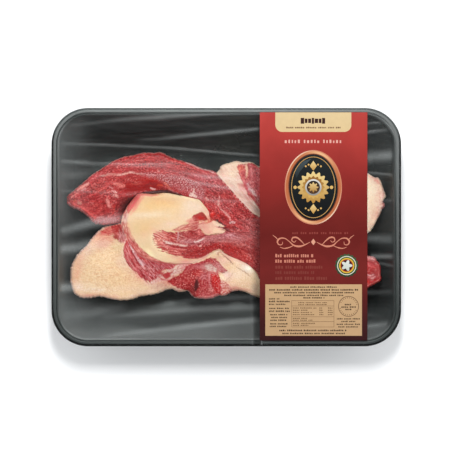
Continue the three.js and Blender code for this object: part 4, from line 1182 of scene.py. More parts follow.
    # the left end is drawn out in pale and red streaks
    ton = smooth(196, 172, x)
    sf = fibres(uu, vv, 9.0, 1.0, 132)
    q.mix(ton * smooth(0.04, 0.34, sf) * 0.85, (240, 168, 154), dh=0.08)
    q.mix(ton * smooth(0.06, 0.34, -sf) * 0.8, (158, 38, 42), dh=-0.06)
    uf, vf = along([(200, 232), (222, 240), (240, 248), (262, 257)], x, y)
    diag = q.region([(224, 243), (240, 240), (262, 240), (262, 270), (246, 262), (230, 254), (220, 247)], 4.0, 1.0, seed=35)
    fl = fibres(uf, vf, 12, 0.9, 36)
    q.times(np.clip(1 + 0.32 * fl, 0.5, 1.6), diag)
    q.mix(diag * smooth(0.2, 0.6, fl) * 0.5, (224, 118, 112), dh=0.04)
    q.strokes([
        ([(160, 232.4), (164, 236), (168, 239.2)], 0.55, (238, 140, 128), 0.8), ([(163, 231.6), (167.4, 234.6), (172, 238.6), (175, 241)], 0.5, (234, 116, 106), 0.75),
        ([(158, 234.4), (161.4, 238.4), (165, 240.6)], 0.5, (190, 76, 70), 0.6), ([(166, 233.8), (170, 237.4), (173, 240.4)], 0.35, (160, 42, 42), 0.6),
        ([(171, 232.4), (173.6, 236), (175.4, 240)], 0.4, (150, 36, 38), 0.5),
        ([(177.6, 231), (178, 235), (177.2, 240)], [0.8, 0.7, 0.5], (220, 164, 162), 0.85, 0.6, 0.05),
        ([(180, 233), (183, 236.6), (187, 239)], 0.4, (208, 120, 118), 0.6), ([(184, 231), (187, 234.6), (191, 237)], 0.4, (206, 104, 102), 0.6),
        ([(189, 230), (193, 233), (198, 235.6)], 0.35, (120, 22, 26), 0.7), ([(181, 231.4), (182, 235)], 0.5, (126, 30, 34), 0.7),
        ([(162, 239.6), (166, 241.6), (170, 243), (175, 244), (180, 244.8), (185, 245.6), (188, 244.6)],
         [0.4, 0.9, 1.1, 0.8, 0.9, 1.1, 0.5], (236, 184, 172), 0.9, 0.7, 0.1),
        ([(166.6, 242.4), (169, 243), (172, 243.4)], 0.5, (248, 214, 204), 0.8), ([(180, 244.9), (185.6, 245.6)], 0.4, (246, 208, 196), 0.8),
        ([(176, 240.4), (184, 241.8), (191, 242)], 0.35, (216, 146, 144), 0.6), ([(183, 239.4), (188, 241.6), (193, 244)], 0.4, (136, 52, 56), 0.6),
        ([(193, 241.6), (197, 241.2), (201, 239.4), (205, 237.6)], [0.5, 0.9, 0.9, 0.4], (236, 176, 170), 0.9, 0.6, 0.1),
        ([(188, 244.8), (194, 244.2), (200, 241.8)], 0.35, (198, 120, 118), 0.5),
        ([(160.6, 241.6), (164, 245), (168, 247), (173, 248.2), (180, 249), (185, 249.2)], [0.4, 0.7, 0.8, 0.6, 0.5, 0.3], (236, 122, 120), 0.85, 0.6, 0.08),
        ([(164, 243.2), (169, 245.2), (176, 246.8), (184, 247.8)], 0.4, (146, 44, 46), 0.7, 0.5, -0.05),
        ([(158.6, 241), (161, 245), (164.6, 248)], 0.6, (196, 84, 76), 0.6), ([(166, 248.8), (172, 250), (180, 249.8), (186, 250.2)], 0.45, (224, 124, 112), 0.75),
        ([(162.6, 250), (168, 252), (174, 254.4)], 0.5, (214, 108, 98), 0.6), ([(170, 251.2), (176, 253.8), (182, 254.6)], 0.3, (150, 30, 32), 0.6),
        ([(184, 250), (188, 251.4), (194, 251)], 0.5, (128, 20, 24), 0.6), ([(186, 254.6), (190, 253)], 0.4, (190, 52, 50), 0.6),
        ([(192, 256), (198, 255.6), (204, 253)], 0.4, (188, 52, 50), 0.6), ([(200, 245.6), (206, 246), (212, 244)], 0.4, (134, 24, 28), 0.6),
        ([(198.6, 246), (201.4, 245.6)], [0.5, 0.9], (240, 158, 148), 0.9, 0.5, 0.1), ([(203.4, 245.4), (204.8, 246.2)], 0.5, (226, 120, 112), 0.8, 0.5),
        # the first of these is a painted glint
        ([(220.8, 244.6), (221.3, 247.6)], [0.4, 0.7], (228, 108, 104), 0.85, 0.5), ([(221.4, 249.2), (223, 250.4)], 0.6, (110, 18, 20), 0.7),
        ([(222.4, 225.4), (224.4, 227), (227, 228.6)], 0.5, (112, 20, 22), 0.6),
        ([(230, 243.2), (236, 246.4), (241, 247.6)], 0.3, (222, 106, 98), 0.6), ([(236.6, 244), (239.6, 245.6)], 0.5, (234, 138, 128), 0.7),
        ([(240, 250.6), (247, 253.6), (254, 255.6)], 0.4, (230, 116, 110), 0.75), ([(243, 254), (250, 256.6), (257, 258.4)], 0.35, (222, 104, 98), 0.6),
        ([(231, 250.6), (238, 253.4), (246, 257.4)], 0.3, (142, 24, 26), 0.6), ([(238, 247.4), (246, 250), (256, 252.4)], 0.3, (146, 34, 36), 0.6),
        ([(248.2, 245.6), (249, 248)], 0.6, (234, 130, 124), 0.85, 0.5, 0.08), ([(250.6, 236.6), (252, 238.4)], 0.6, (220, 126, 122), 0.7),
        ([(243, 239.6), (245, 241)], 0.5, (214, 112, 108), 0.6), ([(240.6, 229), (244, 230.4)], 0.5, (210, 104, 100), 0.5),
        # greyish-pink streaks of the painted sheen band
        ([(229, 233.2), (234, 236), (240, 238.4)], 0.35, (214, 152, 154), 0.5), ([(204, 236.8), (212, 235.8), (220, 234.8)], 0.5, (214, 140, 140), 0.6),
        ([(236, 233.6), (240, 236), (244, 236.6)], 0.4, (150, 60, 62), 0.5),
        ([(366, 256.4), (371, 257.6), (375.6, 259.8)], [0.8, 0.9, 0.5], (228, 166, 162), 0.8, 0.7, 0.08),
        ([(366, 261), (370, 261.6), (376, 264.4)], 0.45, (132, 26, 30), 0.7), ([(368, 265.4), (372, 266.8), (377, 267.6)], 0.5, (234, 112, 108), 0.75),
        ([(367, 274.2), (370.6, 275.4), (374.4, 273.8)], [0.5, 0.9, 0.5], (248, 196, 192), 0.9, 0.5, 0.08),
        ([(369.4, 277.6), (372.8, 278), (375.6, 276)], [0.4, 0.8, 0.5], (244, 180, 176), 0.9, 0.5, 0.08),
        ([(376.6, 262), (378.6, 267), (378.8, 273), (377.6, 278)], 0.5, (222, 116, 112), 0.7), ([(371, 269.6), (374.4, 271), (377, 271)], 0.4, (142, 22, 26), 0.7),
        ([(366, 286), (370.6, 284), (375.6, 281.6), (380, 279)], 0.6, (232, 122, 114), 0.85, 0.6, 0.06), ([(366.6, 281), (368.4, 282)], 0.9, (222, 60, 44), 0.8),
    ])
    p.c = base + (q.c - base) * lean[:, None]
    p.h = hh + (q.h - 0.15 - hh) * lean
    p.lean = ll + (1 - ll) * lean
    # pale haze of fat where the tongue begins
    p.mix(p.spot(156, 231, 5, 2.4, 20) * 0.5, (244, 180, 154))
    p.mix(p.spot(155, 243, 2, 4, -10) * 0.5, (246, 192, 160))
    # the red streak above the tongue, up to the red diamond
    un, vn = turned(x, y, -20)
    sn = fibres(un, vn, 8.0, 1.1, 137)
    above = p.feather([(172, 229.6), (178, 227.0), (184, 224.6), (189, 222.2), (191, 219.6), (195, 220), (200, 222), (204, 222.6),
                       (202, 225.6), (199, 229), (191, 230.4), (184, 230.2), (178, 230.6)], un, vn, 8.0, 1.1, 1.7, 0.9, 37)
    p.mix(above * 0.8, (212, 116, 108), 0.8)
    p.mix(above * smooth(0.0, 0.3, sn) * 0.75, (180, 56, 58), 0.9, -0.05)
    p.mix(above * smooth(0.05, 0.35, -sn) * 0.75, (244, 184, 162), 0.3, 0.05)
    p.strokes([
        ([(173, 229), (178, 227), (184, 225), (188, 223.4)], 0.35, (176, 112, 96), 0.7), ([(184, 227.4), (190, 226), (197, 226.4)], [0.5, 1.1, 0.9], (178, 56, 58), 0.75),
        ([(186, 229), (193, 228), (199, 229.4)], 0.5, (168, 44, 46), 0.6), ([(191, 223), (195, 223.8), (199, 224.6)], 0.5, (196, 104, 102), 0.7),
        ([(190, 225.6), (194, 224.8)], 0.4, (228, 150, 144), 0.6),
    ])
    dia = p.region([(191.6, 216.6), (195.6, 214), (200, 211.8), (203, 212.4), (205, 215), (207.4, 218.6), (204.6, 220.4), (201, 219.8),
                    (197, 221), (192.6, 220.2), (192.4, 218.4)], 0.9, 0.5, seed=38)
    p.mix(dia * 0.95, (168, 32, 38), 1.0, -0.1)
    p.mix(p.feather([(186, 221), (190, 217.6), (193.4, 216), (194, 220.6), (190, 222.4)], un, vn, 6.0, 1.0, 1.4, 0.9, 138) * 0.6, (226, 132, 122), 0.6)
    p.mix(p.spot(199.6, 217, 4, 2.2, 10) * 0.75, (196, 30, 38))
    p.strokes([([(193, 217), (196, 219), (199, 219.6)], 0.4, (226, 110, 104), 0.6), ([(200, 213), (203.6, 216), (206, 219)], 0.35, (120, 22, 24), 0.6),
               ([(196, 221.4), (200, 221), (204, 221.6), (208, 222.4)], 0.8, (222, 120, 110), 0.7), ([(202, 220), (203.6, 222)], 0.4, (240, 180, 166), 0.7),
               ([(207, 219), (209, 221.6), (212, 220.4)], 1.2, (220, 88, 74), 0.8)])
    # the cream wedge, with a painted highlight along its upper right edge and painted shade in the dark lines under and
    # beside it
    wedge = p.region([(197.4, 225.6), (201.6, 224), (206, 223.4), (210, 221.8), (213.6, 220.6), (217, 221), (220.4, 223.4), (222.6, 225.6),
                      (221, 226.8), (223.6, 229), (223, 231.4), (218.6, 232.8), (213, 233.4), (207.6, 234.2), (204, 232.8), (202.4, 229.8),
                      (200, 227.4)], 0.9, 1.1, 2.6, seed=39)
    p.mix(wedge * 0.97, (240, 196, 168), 0.0, 0.15)
    p.strokes([
        ([(211, 222), (215, 221.4), (219, 223.2), (222, 225.4)], 0.8, (247, 218, 194), 0.7), ([(216.6, 227.6), (219, 226.6), (221.4, 227.4)], 0.35, (206, 130, 112), 0.7),
        ([(216.8, 229.8), (219.4, 228.4), (222, 229.4)], 0.6, (250, 206, 182), 0.6), ([(202.6, 235), (208, 234.8), (215, 234), (222.6, 232.8)], 0.42, (128, 44, 42), 0.8, 0.5, -0.1),
        ([(200, 228.6), (202.4, 231.6), (204.6, 233.6)], 0.45, (176, 60, 58), 0.7), 
        ([(222, 227), (225, 229)], 0.6, (86, 18, 18), 0.7, 0.6, -0.1),
        ([(209.6, 217.6), (211.6, 219.6), (213.6, 220.8)], [1.5, 1.2, 0.5], (186, 50, 44), 0.85, 0.9),
        ([(214, 233.6), (219, 232.8), (224, 232)], [0.4, 0.8, 0.8], (150, 60, 58), 0.8, 0.7, -0.1),
        ([(204, 223.6), (208, 222.2), (212, 220.4)], [0.6, 1.0, 0.6], (216, 112, 98), 0.7, 1.0),
        # the thin pale hem along the lower seam
        ([(178, 262), (184, 262.4), (190, 262), (196, 260.6), (202, 258.4), (207, 255.6), (212, 252.6)], [0.5, 1.1, 1.3, 1.2, 1.1, 0.9, 0.5], (246, 208, 184), 0.85, 0.8),
    ])
    # the membrane down the left edge: streaks of tan, cream and red
    ml = [(134, 198), (129.5, 204), (125.8, 210), (123.6, 216), (122.9, 222), (124.2, 229), (127.2, 236), (131, 243)]
    us, vs = along(ml, x, y, 12.0)
    mem = p.stroke(ml, [0.5, 1.6, 2.7, 3.2, 3.4, 3.3, 2.6, 1.0], 1.6)
    ms = fibres(us, vs, 6.0, 0.85, 34)
    p.mix(mem * smooth(212, 222, y) * 0.35, (206, 116, 104), 0.4)
    p.mix(mem * smooth(0.03, 0.28, ms) * (0.5 + 0.35 * smooth(205, 215, y)), (244, 206, 182), 0.2, 0.06)
    p.mix(mem * smooth(0.03, 0.28, -ms) * 0.75 * smooth(204, 214, y), (186, 78, 76), 0.6, -0.06)
    # the red edge's soft inner side
    p.mix(p.stroke([(143.6, 195.4), (140.6, 198.8), (137.6, 203), (134.8, 207.6), (132.2, 212)], [0.8, 1.4, 1.7, 1.7, 1.0], 1.5) * 0.72, (236, 144, 126), 0.3)
    p.mix(p.stroke([(139.6, 195.4), (136.4, 199.6), (133.6, 204), (130.8, 208.4)], [1.0, 1.8, 1.9, 1.2], 1.0) * 0.6, (222, 92, 96), 0.6)
    p.mix(p.stroke([(168, 262), (178, 262), (188, 261), (198, 259), (208, 256), (217, 252.6)], [0.6, 1.6, 2.0, 2.0, 1.6, 0.6], 1.8) * 0.34, (206, 116, 112), 0.4)
    # a pink hem under the crevice
    p.mix(p.stroke([(139, 194.5), (144, 194.4), (150, 195.1), (155, 195), (159, 194.4)], [0.8, 1.0, 0.9, 0.7, 0.3], 0.9) * 0.75, (226, 124, 112), 0.4)
    # lean that shows along the lower left edge, dark at its inner border
    band = p.region([(122, 232), (126, 237.5), (129, 243.6), (132.5, 249), (137, 253.6), (143, 258.4), (150, 261.4), (158, 263.6), (168, 264.6), (172, 264),
                     (166, 262.3), (160.6, 261), (155, 258.6), (149.4, 255.6), (144.6, 252), (140.4, 248), (137.2, 244.2), (133.8, 238.8), (131, 233), (129, 228),
                     (125, 226)], 1.2, 0.6, 2.4, seed=192)
    ub, vb = along([(128, 230), (134, 242), (142, 251), (152, 258), (164, 262), (176, 264)], x, y, 16.0)
    bf = fibres(ub, vb, 5.0, 1.0, 193)
    wt = 0.35 + 0.6 * smooth(236, 244, y)
    p.mix(band * wt * 0.92, (192, 82, 82), 0.8)
    p.mix(band * wt * smooth(0.02, 0.3, bf) * 0.8, (232, 150, 146), 0.6, 0.05)
    p.mix(band * wt * smooth(0.02, 0.3, -bf) * 0.8, (158, 42, 48), 0.9, -0.05)
    p.mix(p.stroke([(137.6, 244.4), (140.8, 248), (145, 252), (149.8, 255.6), (155.4, 258.6), (161.4, 261.1), (170, 262.6), (178, 263.2), (186, 263.2)],
                   [0.3, 0.5, 0.55, 0.5, 0.45, 0.4, 0.4, 0.4, 0.2], 0.6) * 0.55, (174, 74, 68), 0.5)
    p.mix(p.stroke(CENTRE_LOWER[3:12], [0.3, 0.9, 0.9, 0.9, 0.6], 0.7) * 0.75, (184, 74, 76), 0.8, -0.05)
    # tone corrections at listed places; the darkening at (158, 192.8) is painted shade from the crevice above
    p.tints([(156, 236, 6, 4, 0, (1.15, 1.4, 1.4)), (156, 243, 5, 4, 0, (1.15, 1.4, 1.4)), (164, 242, 5, 3, 0, (1.05, 1.35, 1.35)),
             (199, 242, 9, 5, -6, (1.1, 1.5, 1.5)), (196, 226, 5, 4, 0, (0.86, 0.68, 0.72)), (205, 226, 5, 4, 0, (0.9, 0.72, 0.76)),
             (211, 218, 4, 3.4, 20, (0.9, 0.6, 0.66)), (220, 226, 5, 3.4, 0, (0.92, 0.74, 0.8)), (228, 250, 6, 4, 20, (0.98, 0.78, 0.78)),
             (246, 258, 7, 4, 24, (1.15, 1.25, 1.25)), (369, 266, 12, 14, 0, (1.1, 0.95, 0.95)), (183, 258, 8, 3, 0, (0.95, 0.72, 0.8)),
             (375, 275, 5, 5, 0, (0.8, 0.7, 0.7)), (371, 264, 7, 3, 0, (1.02, 1.4, 1.4)), (212, 218, 3.4, 3, 0, (0.95, 0.76, 0.8)),
             (220, 226, 5, 3.4, 0, (0.95, 0.82, 0.88)), (204, 210, 5, 3.4, 0, (0.93, 0.82, 0.87)), (201, 218, 5, 3, 0, (1.0, 0.82, 0.84)),
             (248, 242, 8, 4, 10, (0.98, 0.8, 0.8)), (148, 250, 4, 3, 40, (1.1, 1.15, 1.12)), (162, 249, 5, 4, 20, (1.2, 1.4, 1.4)),
             (146, 257, 5, 3.4, 40, (1.15, 1.4, 1.3)), (138, 249, 4, 4, 40, (1.13, 1.3, 1.25)), (130, 249, 4, 4, 0, (1.15, 1.3, 1.28)),
             (186, 262, 6, 3, 0, (0.96, 0.74, 0.82)), (210, 217, 4, 4, 0, (0.93, 0.68, 0.72)), (226, 233, 4, 4, 0, (0.91, 0.72, 0.74)),
             (234, 225, 5, 4, 0, (1.18, 1.35, 1.3)), (226, 225, 4, 4, 0, (1.16, 1.3, 1.3)), (202, 225, 4, 4, 0, (0.94, 0.8, 0.84)),
             (210, 233, 4, 4, 0, (0.94, 0.83, 0.85)), (250, 262.6, 5, 3, 20, (1.12, 1.3, 1.3)), (202, 256.5, 5, 3, 0, (1.0, 0.76, 0.86)),
             (202, 241, 5, 4, 0, (1.1, 1.28, 1.25)), (242, 256, 5, 3, 20, (1.22, 1.5, 1.45)), (186, 241, 5, 4, 0, (1.13, 1.3, 1.27)),
             (234, 256, 4, 3, 20, (1.12, 1.2, 1.16)), (234, 249, 5, 4, 0, (0.96, 0.72, 0.68)), (250, 241, 5, 4, 0, (0.94, 0.76, 0.76)),
             (371, 263, 5, 2.6, 0, (1.05, 1.5, 1.45)), (378, 269, 4, 3, 0, (0.8, 0.85, 0.85)), (371, 275, 4, 4, 0, (0.93, 0.75, 0.75)),
             (222, 232, 4, 3.4, 0, (0.88, 0.7, 0.76)), (366.6, 287, 2, 9, 0, (1.3, 1.5, 1.5)), (134, 200, 4, 4, 0, (0.84, 0.78, 0.74)), (158, 192.8, 7, 1.8, 0, (0.92, 0.7, 0.66)),
             (157, 239, 5, 4, 0, (1.16, 1.4, 1.35)), (150, 256, 5, 4, 40, (1.14, 1.33, 1.28)), (133, 247, 4.5, 4, 40, (1.15, 1.4, 1.35)),
             (206, 232, 4.5, 4, 0, (0.94, 0.78, 0.82)), (219, 230, 4.5, 4, 0, (0.88, 0.74, 0.8)), (214, 224, 4, 3, 0, (0.95, 0.84, 0.88)),
             (174, 256, 5, 3, 0, (0.98, 0.8, 0.86)), (126, 240, 4, 4, 0, (1.15, 1.14, 1.13)), (371, 263, 5, 3, 0, (1.03, 1.35, 1.3)),
             (150, 198, 12, 4, 0, (0.93, 0.88, 0.86)), (170, 199, 12, 4, 6, (0.93, 0.88, 0.9))])
    # painted light: the tone is raised just right of the label's edge, against the shade the label casts there
    p.c = np.minimum(p.c * (1 + 0.75 * np.exp(-np.maximum(x - 366.4, 0) / 2.0) * (x > 364))[:, None], 0.96)
    torn_wedge(p)
    return p


def paint_lower(x, y):
    p = Paint(x, y, (243, 208, 168), 0.0)
    one = np.ones(len(x))
    p.spots([
        (76, 272, 4, 13, 6, (240, 172, 142), 0.8), (80, 258, 4, 6, 30, (246, 194, 168), 0.6), (88, 250, 5, 8, 35, (240, 202, 184), 0.8),
        (95, 241, 4, 4, 0, (248, 190, 150), 0.7), (104, 244, 7, 4, 0, (240, 196, 176), 0.7), (115, 247, 6, 3, 0, (240, 216, 170), 0.6),
        (103, 257, 12, 6, 0, (247, 212, 172), 0.6), (97, 262, 6, 3, 0, (250, 214, 168), 0.6), (112, 265, 12, 8, 20, (245, 210, 168), 0.5),
        (90, 275, 9, 7, 0, (244, 206, 164), 0.6), (108, 281, 12, 6, 0, (244, 202, 156), 0.6), (121, 277, 8, 6, 30, (245, 208, 158), 0.6),
        (95, 289.6, 16, 2.4, 0, (249, 222, 200), 0.75), (125, 289, 16, 3, 0, (246, 216, 186), 0.6), (78, 286, 4, 6, -20, (246, 208, 188), 0.6),
        (88, 295.6, 8, 1.8, 0, (218, 148, 144), 0.8), (113, 296, 10, 2, 8, (240, 196, 170), 0.7), (134, 296, 9, 2, -12, (238, 200, 180), 0.7),
        (124, 263, 4, 8, -30, (240, 210, 186), 0.6), (138, 285, 9, 4, 20, (240, 212, 172), 0.6), (160, 286, 9, 4, 0, (226, 192, 168), 0.7),
        (150, 291, 12, 2.6, -8, (240, 202, 182), 0.6), (145, 288, 4, 2, 0, (238, 212, 160), 0.5), (176, 289.4, 8, 1.4, 10, (232, 196, 176), 0.8),
        (105, 234, 7, 2.2, -4, (232, 128, 112), 0.8), (106, 238, 7, 2.6, 0, (236, 166, 140), 0.7),
        # flap
        (238, 262, 14, 5, 30, (246, 214, 188), 0.7), (222, 262, 4, 6, 30, (247, 204, 182), 0.7), (246, 268, 7, 5, 30, (246, 224, 208), 0.8),
        (238, 275, 10, 6, 0, (245, 215, 188), 0.7), (226, 275, 5, 4, 0, (246, 212, 198), 0.7), (240, 284, 14, 3, 0, (240, 198, 166), 0.7),
        (244, 289.6, 12, 2, 12, (232, 174, 148), 0.8), (224, 284, 5, 5, 0, (244, 200, 176), 0.6),
        (225, 292, 5, 2.6, 0, (226, 152, 142), 0.7), (254, 289, 4, 5, 0, (214, 180, 160), 0.5),
    ])
    lobules(p, one, 41, 1.0, 2.6)
    # a pinker, knobbly margin round the broad fat end, and grains of tan
    dm, _, _ = near_line(spline(LOWER_FREE[15::-1] + LOWER_LEFT[:15], 0.8), x, y, 9.0)
    nm = fbm(x / 2.3, y / 2.3, 141, 2, 0.7)
    p.mix((1 - smooth(1.0, 6.5, dm + 2.2 * nm)) * 0.42, (240, 172, 148), 0.1)
    p.mix((1 - smooth(0.3, 2.4, dm + 1.2 * nm)) * 0.45, (248, 208, 196), 0.05, 0.06)
    broad = np.clip(1.25 * p.spot(104, 268, 36, 32, 0, 0), 0, 1)
    gr = fbm(x / 1.9, y / 1.5, 142, 2, 0.8)
    p.mix(smooth(0.05, 0.5, gr) * broad * 0.5, (228, 182, 134), 0.0, -0.05)
    p.mix(smooth(0.05, 0.5, -gr) * broad * 0.4, (252, 226, 190), 0.0, 0.05)
    ln = fbm(x / 5.6 + 0.6 * vnoise(x / 3, y / 3, 145), y / 4.4, 144, 2, 0.6)
    p.mix(np.clip(1 - np.abs(ln) * 9, 0, 1) * broad * 0.75, (224, 172, 132), 0.0, -0.12)
    p.mix(smooth(0.1, 0.4, ln) * broad * 0.35, (250, 220, 176), 0.0, 0.05)
    p.spots([(100, 245, 7, 5, 0, (228, 178, 156), 0.7), (80, 264, 4, 8, 10, (234, 176, 148), 0.5), (160, 287, 12, 4, -6, (206, 170, 146), 0.75),
             (140, 290, 9, 3.4, -4, (226, 192, 160), 0.6), (120, 262, 5, 6, -30, (232, 192, 170), 0.5), (150, 284, 7, 3, 0, (230, 200, 178), 0.5)])
    # rows of faint ripples in the broad fat end
    rp = fibres(x, y + 0.25 * x, 9, 1.5, 45)
    p.c *= (1 + 0.05 * rp * p.spot(103, 270, 34, 26, 0, 0))[:, None]
    # orange streaks and the red patch at its top
    u2, v2 = along([(96, 236), (106, 234.6), (116, 235.6)], x, y)
    m = p.region([(97.6, 234.6), (101, 230.8), (105, 228.4), (112, 226), (116, 227), (115, 234), (114, 239.6), (106, 240.6), (99, 240)], 2.0, 0.8, seed=42)
    p.mix(m * 0.55 * smooth(-0.1, 0.5, fibres(x, y, 9, 1.2, 43)), (214, 116, 98), 0.4)
    ur, vr = turned(x, y, -8)
    p.mix(p.feather([(99.6, 231.6), (103.6, 228.6), (108, 226.4), (113, 225.6), (114, 230.6), (112, 233.4), (106, 233.6), (101.6, 233.4)],
                    ur, vr, 7.0, 1.3, 3.2, 1.6, 44) * 0.82, (210, 80, 76), 0.7)
    p.strokes([([(102, 232.4), (107, 231.6), (112, 231.8)], 0.5, (196, 48, 52), 0.7), ([(101, 233.8), (106, 233.2)], 0.4, (246, 150, 138), 0.6),
               ([(104, 229.4), (108, 227.6)], 0.5, (236, 120, 110), 0.6), ([(105.6, 226), (108.4, 224.8)], [0.5, 1.0], (214, 128, 118), 0.8)])
    us2, vs2 = turned(x, y, 62)
    red = p.feather([(110, 225), (115, 224.2), (121, 223), (122.6, 228), (124, 233), (125.6, 237), (124, 240.6), (120, 240.2), (116.4, 239.2),
                     (113.6, 237.6), (113.2, 233), (112, 229)], us2, vs2, 7.0, 1.3, 3.0, 1.6, 46)
    p.mix(red * 0.92, (174, 38, 42), 1.0, -0.15)
    sr = fibres(us2, vs2, 7.0, 1.1, 146)
    p.mix(red * smooth(0.1, 0.38, sr) * 0.7, (230, 124, 118), 0.8, 0.08)
    p.mix(red * smooth(0.05, 0.35, -sr) * 0.6, (134, 20, 26), 1.0, -0.05)
    rs = fibres(*turned(x, y, -8), 5.0, 0.9, 147)
    top_red = p.region([(100, 232), (104, 228.4), (109, 226), (115, 225.4), (119, 228), (118, 233.6), (110, 234.8), (103, 234.8)], 2.0, 0.9, seed=148)
    p.mix(top_red * smooth(0.03, 0.3, rs) * 0.75, (240, 130, 120), 0.6, 0.1)
    p.mix(top_red * smooth(0.03, 0.3, -rs) * 0.7, (186, 34, 38), 0.9, -0.08)
    p.mix(p.region([(119.6, 231), (123, 228), (125.4, 234), (127, 240), (123.6, 242.4), (119, 241), (118.4, 236)], 1.8, 0.6, seed=47) * 0.8, (188, 108, 106), 0.8)
    mk = p.region([(117, 231), (121, 226), (124, 229), (126, 236), (127, 242), (122, 243.4), (117.4, 241)], 1.8, 0.6, seed=47)
    mt = fibres(*turned(x, y, 72), 6.0, 0.75, 172)
    p.mix(mk * smooth(0.02, 0.25, mt) * 0.8, (228, 166, 158), 0.5, 0.08)
    p.mix(mk * smooth(0.02, 0.25, -mt) * 0.75, (156, 56, 58), 0.8, -0.08)
    p.spots([(117.6, 234, 1.6, 0.9, 60, (244, 156, 150), 0.95), (119.4, 236.4, 1.1, 1.6, 20, (240, 160, 160), 0.85), (115, 232.6, 1.4, 0.7, 10, (238, 120, 112), 0.8),
             (113.4, 236.6, 1.2, 1.6, 0, (172, 44, 48), 0.8), (116.4, 229.4, 2.2, 2.6, 20, (168, 20, 28), 0.8)])
    p.strokes([([(117, 224.6), (119, 228), (120.4, 232)], 0.9, (150, 26, 30), 0.7, 0.9), ([(113.6, 227), (116, 230)], 0.7, (206, 66, 64), 0.6),
               ([(115.4, 232.4), (116.8, 234.8)], 0.5, (232, 110, 104), 0.7), ([(118, 233), (119.4, 235.6)], [0.5, 0.9], (236, 132, 130), 0.8, 0.6),
               ([(114, 233.6), (115, 237), (114, 239.6)], 0.6, (176, 62, 52), 0.7), ([(121, 236), (122.6, 232), (124, 228.6)], 0.35, (158, 62, 64), 0.6),
               ([(122.6, 239.6), (124, 235.4), (125, 231)], 0.35, (226, 164, 158), 0.6), ([(120, 239), (120.8, 235.6)], 0.4, (152, 70, 74), 0.6)])
    # the crescent of lean under the centre slab
    cres_pts = [(126, 239.4), (124.4, 242.6), (123, 247), (122.8, 252), (124, 257.6), (126.4, 263), (130, 267.8), (135, 272.4), (140.6, 276.8),
                (145.4, 281), (149.4, 283.2), (152, 280.8), (156, 279.6), (160.4, 278.6), (162, 275.4), (161.4, 271), (166, 269.6), (170.6, 270.2),
                (174, 267.6), (174.6, 263.8), (170, 263), (160, 262.6), (150, 260), (143, 257), (137, 252.5), (132.5, 248), (129, 243)]
    u55, v55 = turned(x, y, 56)
    low_end = smooth(262, 274, y)
    cres = p.feather(cres_pts, u55, v55, 8.0, 1.3, 0.5 + 1.9 * low_end, 1.0, 48)
    base, hh, ll = p.c.copy(), p.h.copy(), p.lean.copy()
    q = Paint(x, y, (192, 72, 74), 1.0)
    q.spots([
        (126, 253, 3, 7, -8, (206, 76, 76), 0.8), (139, 255, 4, 4, 40, (202, 76, 76), 0.8), (133, 249, 3, 5, -35, (176, 66, 68), 0.6),
        (144, 275, 4, 5, -40, (172, 46, 52), 0.85), (146, 279, 3, 3, -40, (150, 34, 40), 0.8), (152, 264, 5, 4, 0, (192, 74, 84), 0.7),
        (161, 266, 7, 3, 0, (188, 98, 104), 0.7), (168, 265, 5, 2.4, 0, (192, 86, 90), 0.7), (148, 269, 5, 3, 20, (214, 118, 116), 0.6),
        (142, 268, 4, 3, 0, (212, 118, 112), 0.5), (167, 275, 3.4, 3, 0, (204, 76, 80), 0.9), (158, 273.6, 3, 4, 0, (190, 66, 68), 0.8),
        (130, 262, 3, 5, -35, (184, 66, 70), 0.6), (150, 259, 6, 1.6, 30, (160, 52, 54), 0.6),
    ])
    uc, vc = along([(125, 238), (128, 247), (132, 256), (137, 264), (143, 271), (150, 278), (156, 284)], x, y)
    muscle(q, one, uc, vc, 49, 1.3, 0.7, 0.6, lu=11.0, lv=1.5)
    # streaks along it, pale and red
    sc = fibres(uc, vc, 10.0, 1.05, 149)
    q.mix(smooth(0.06, 0.32, sc) * 0.8, (238, 164, 162), dh=0.09)
    q.mix(smooth(0.06, 0.32, -sc) * 0.75, (156, 34, 40), dh=-0.08)
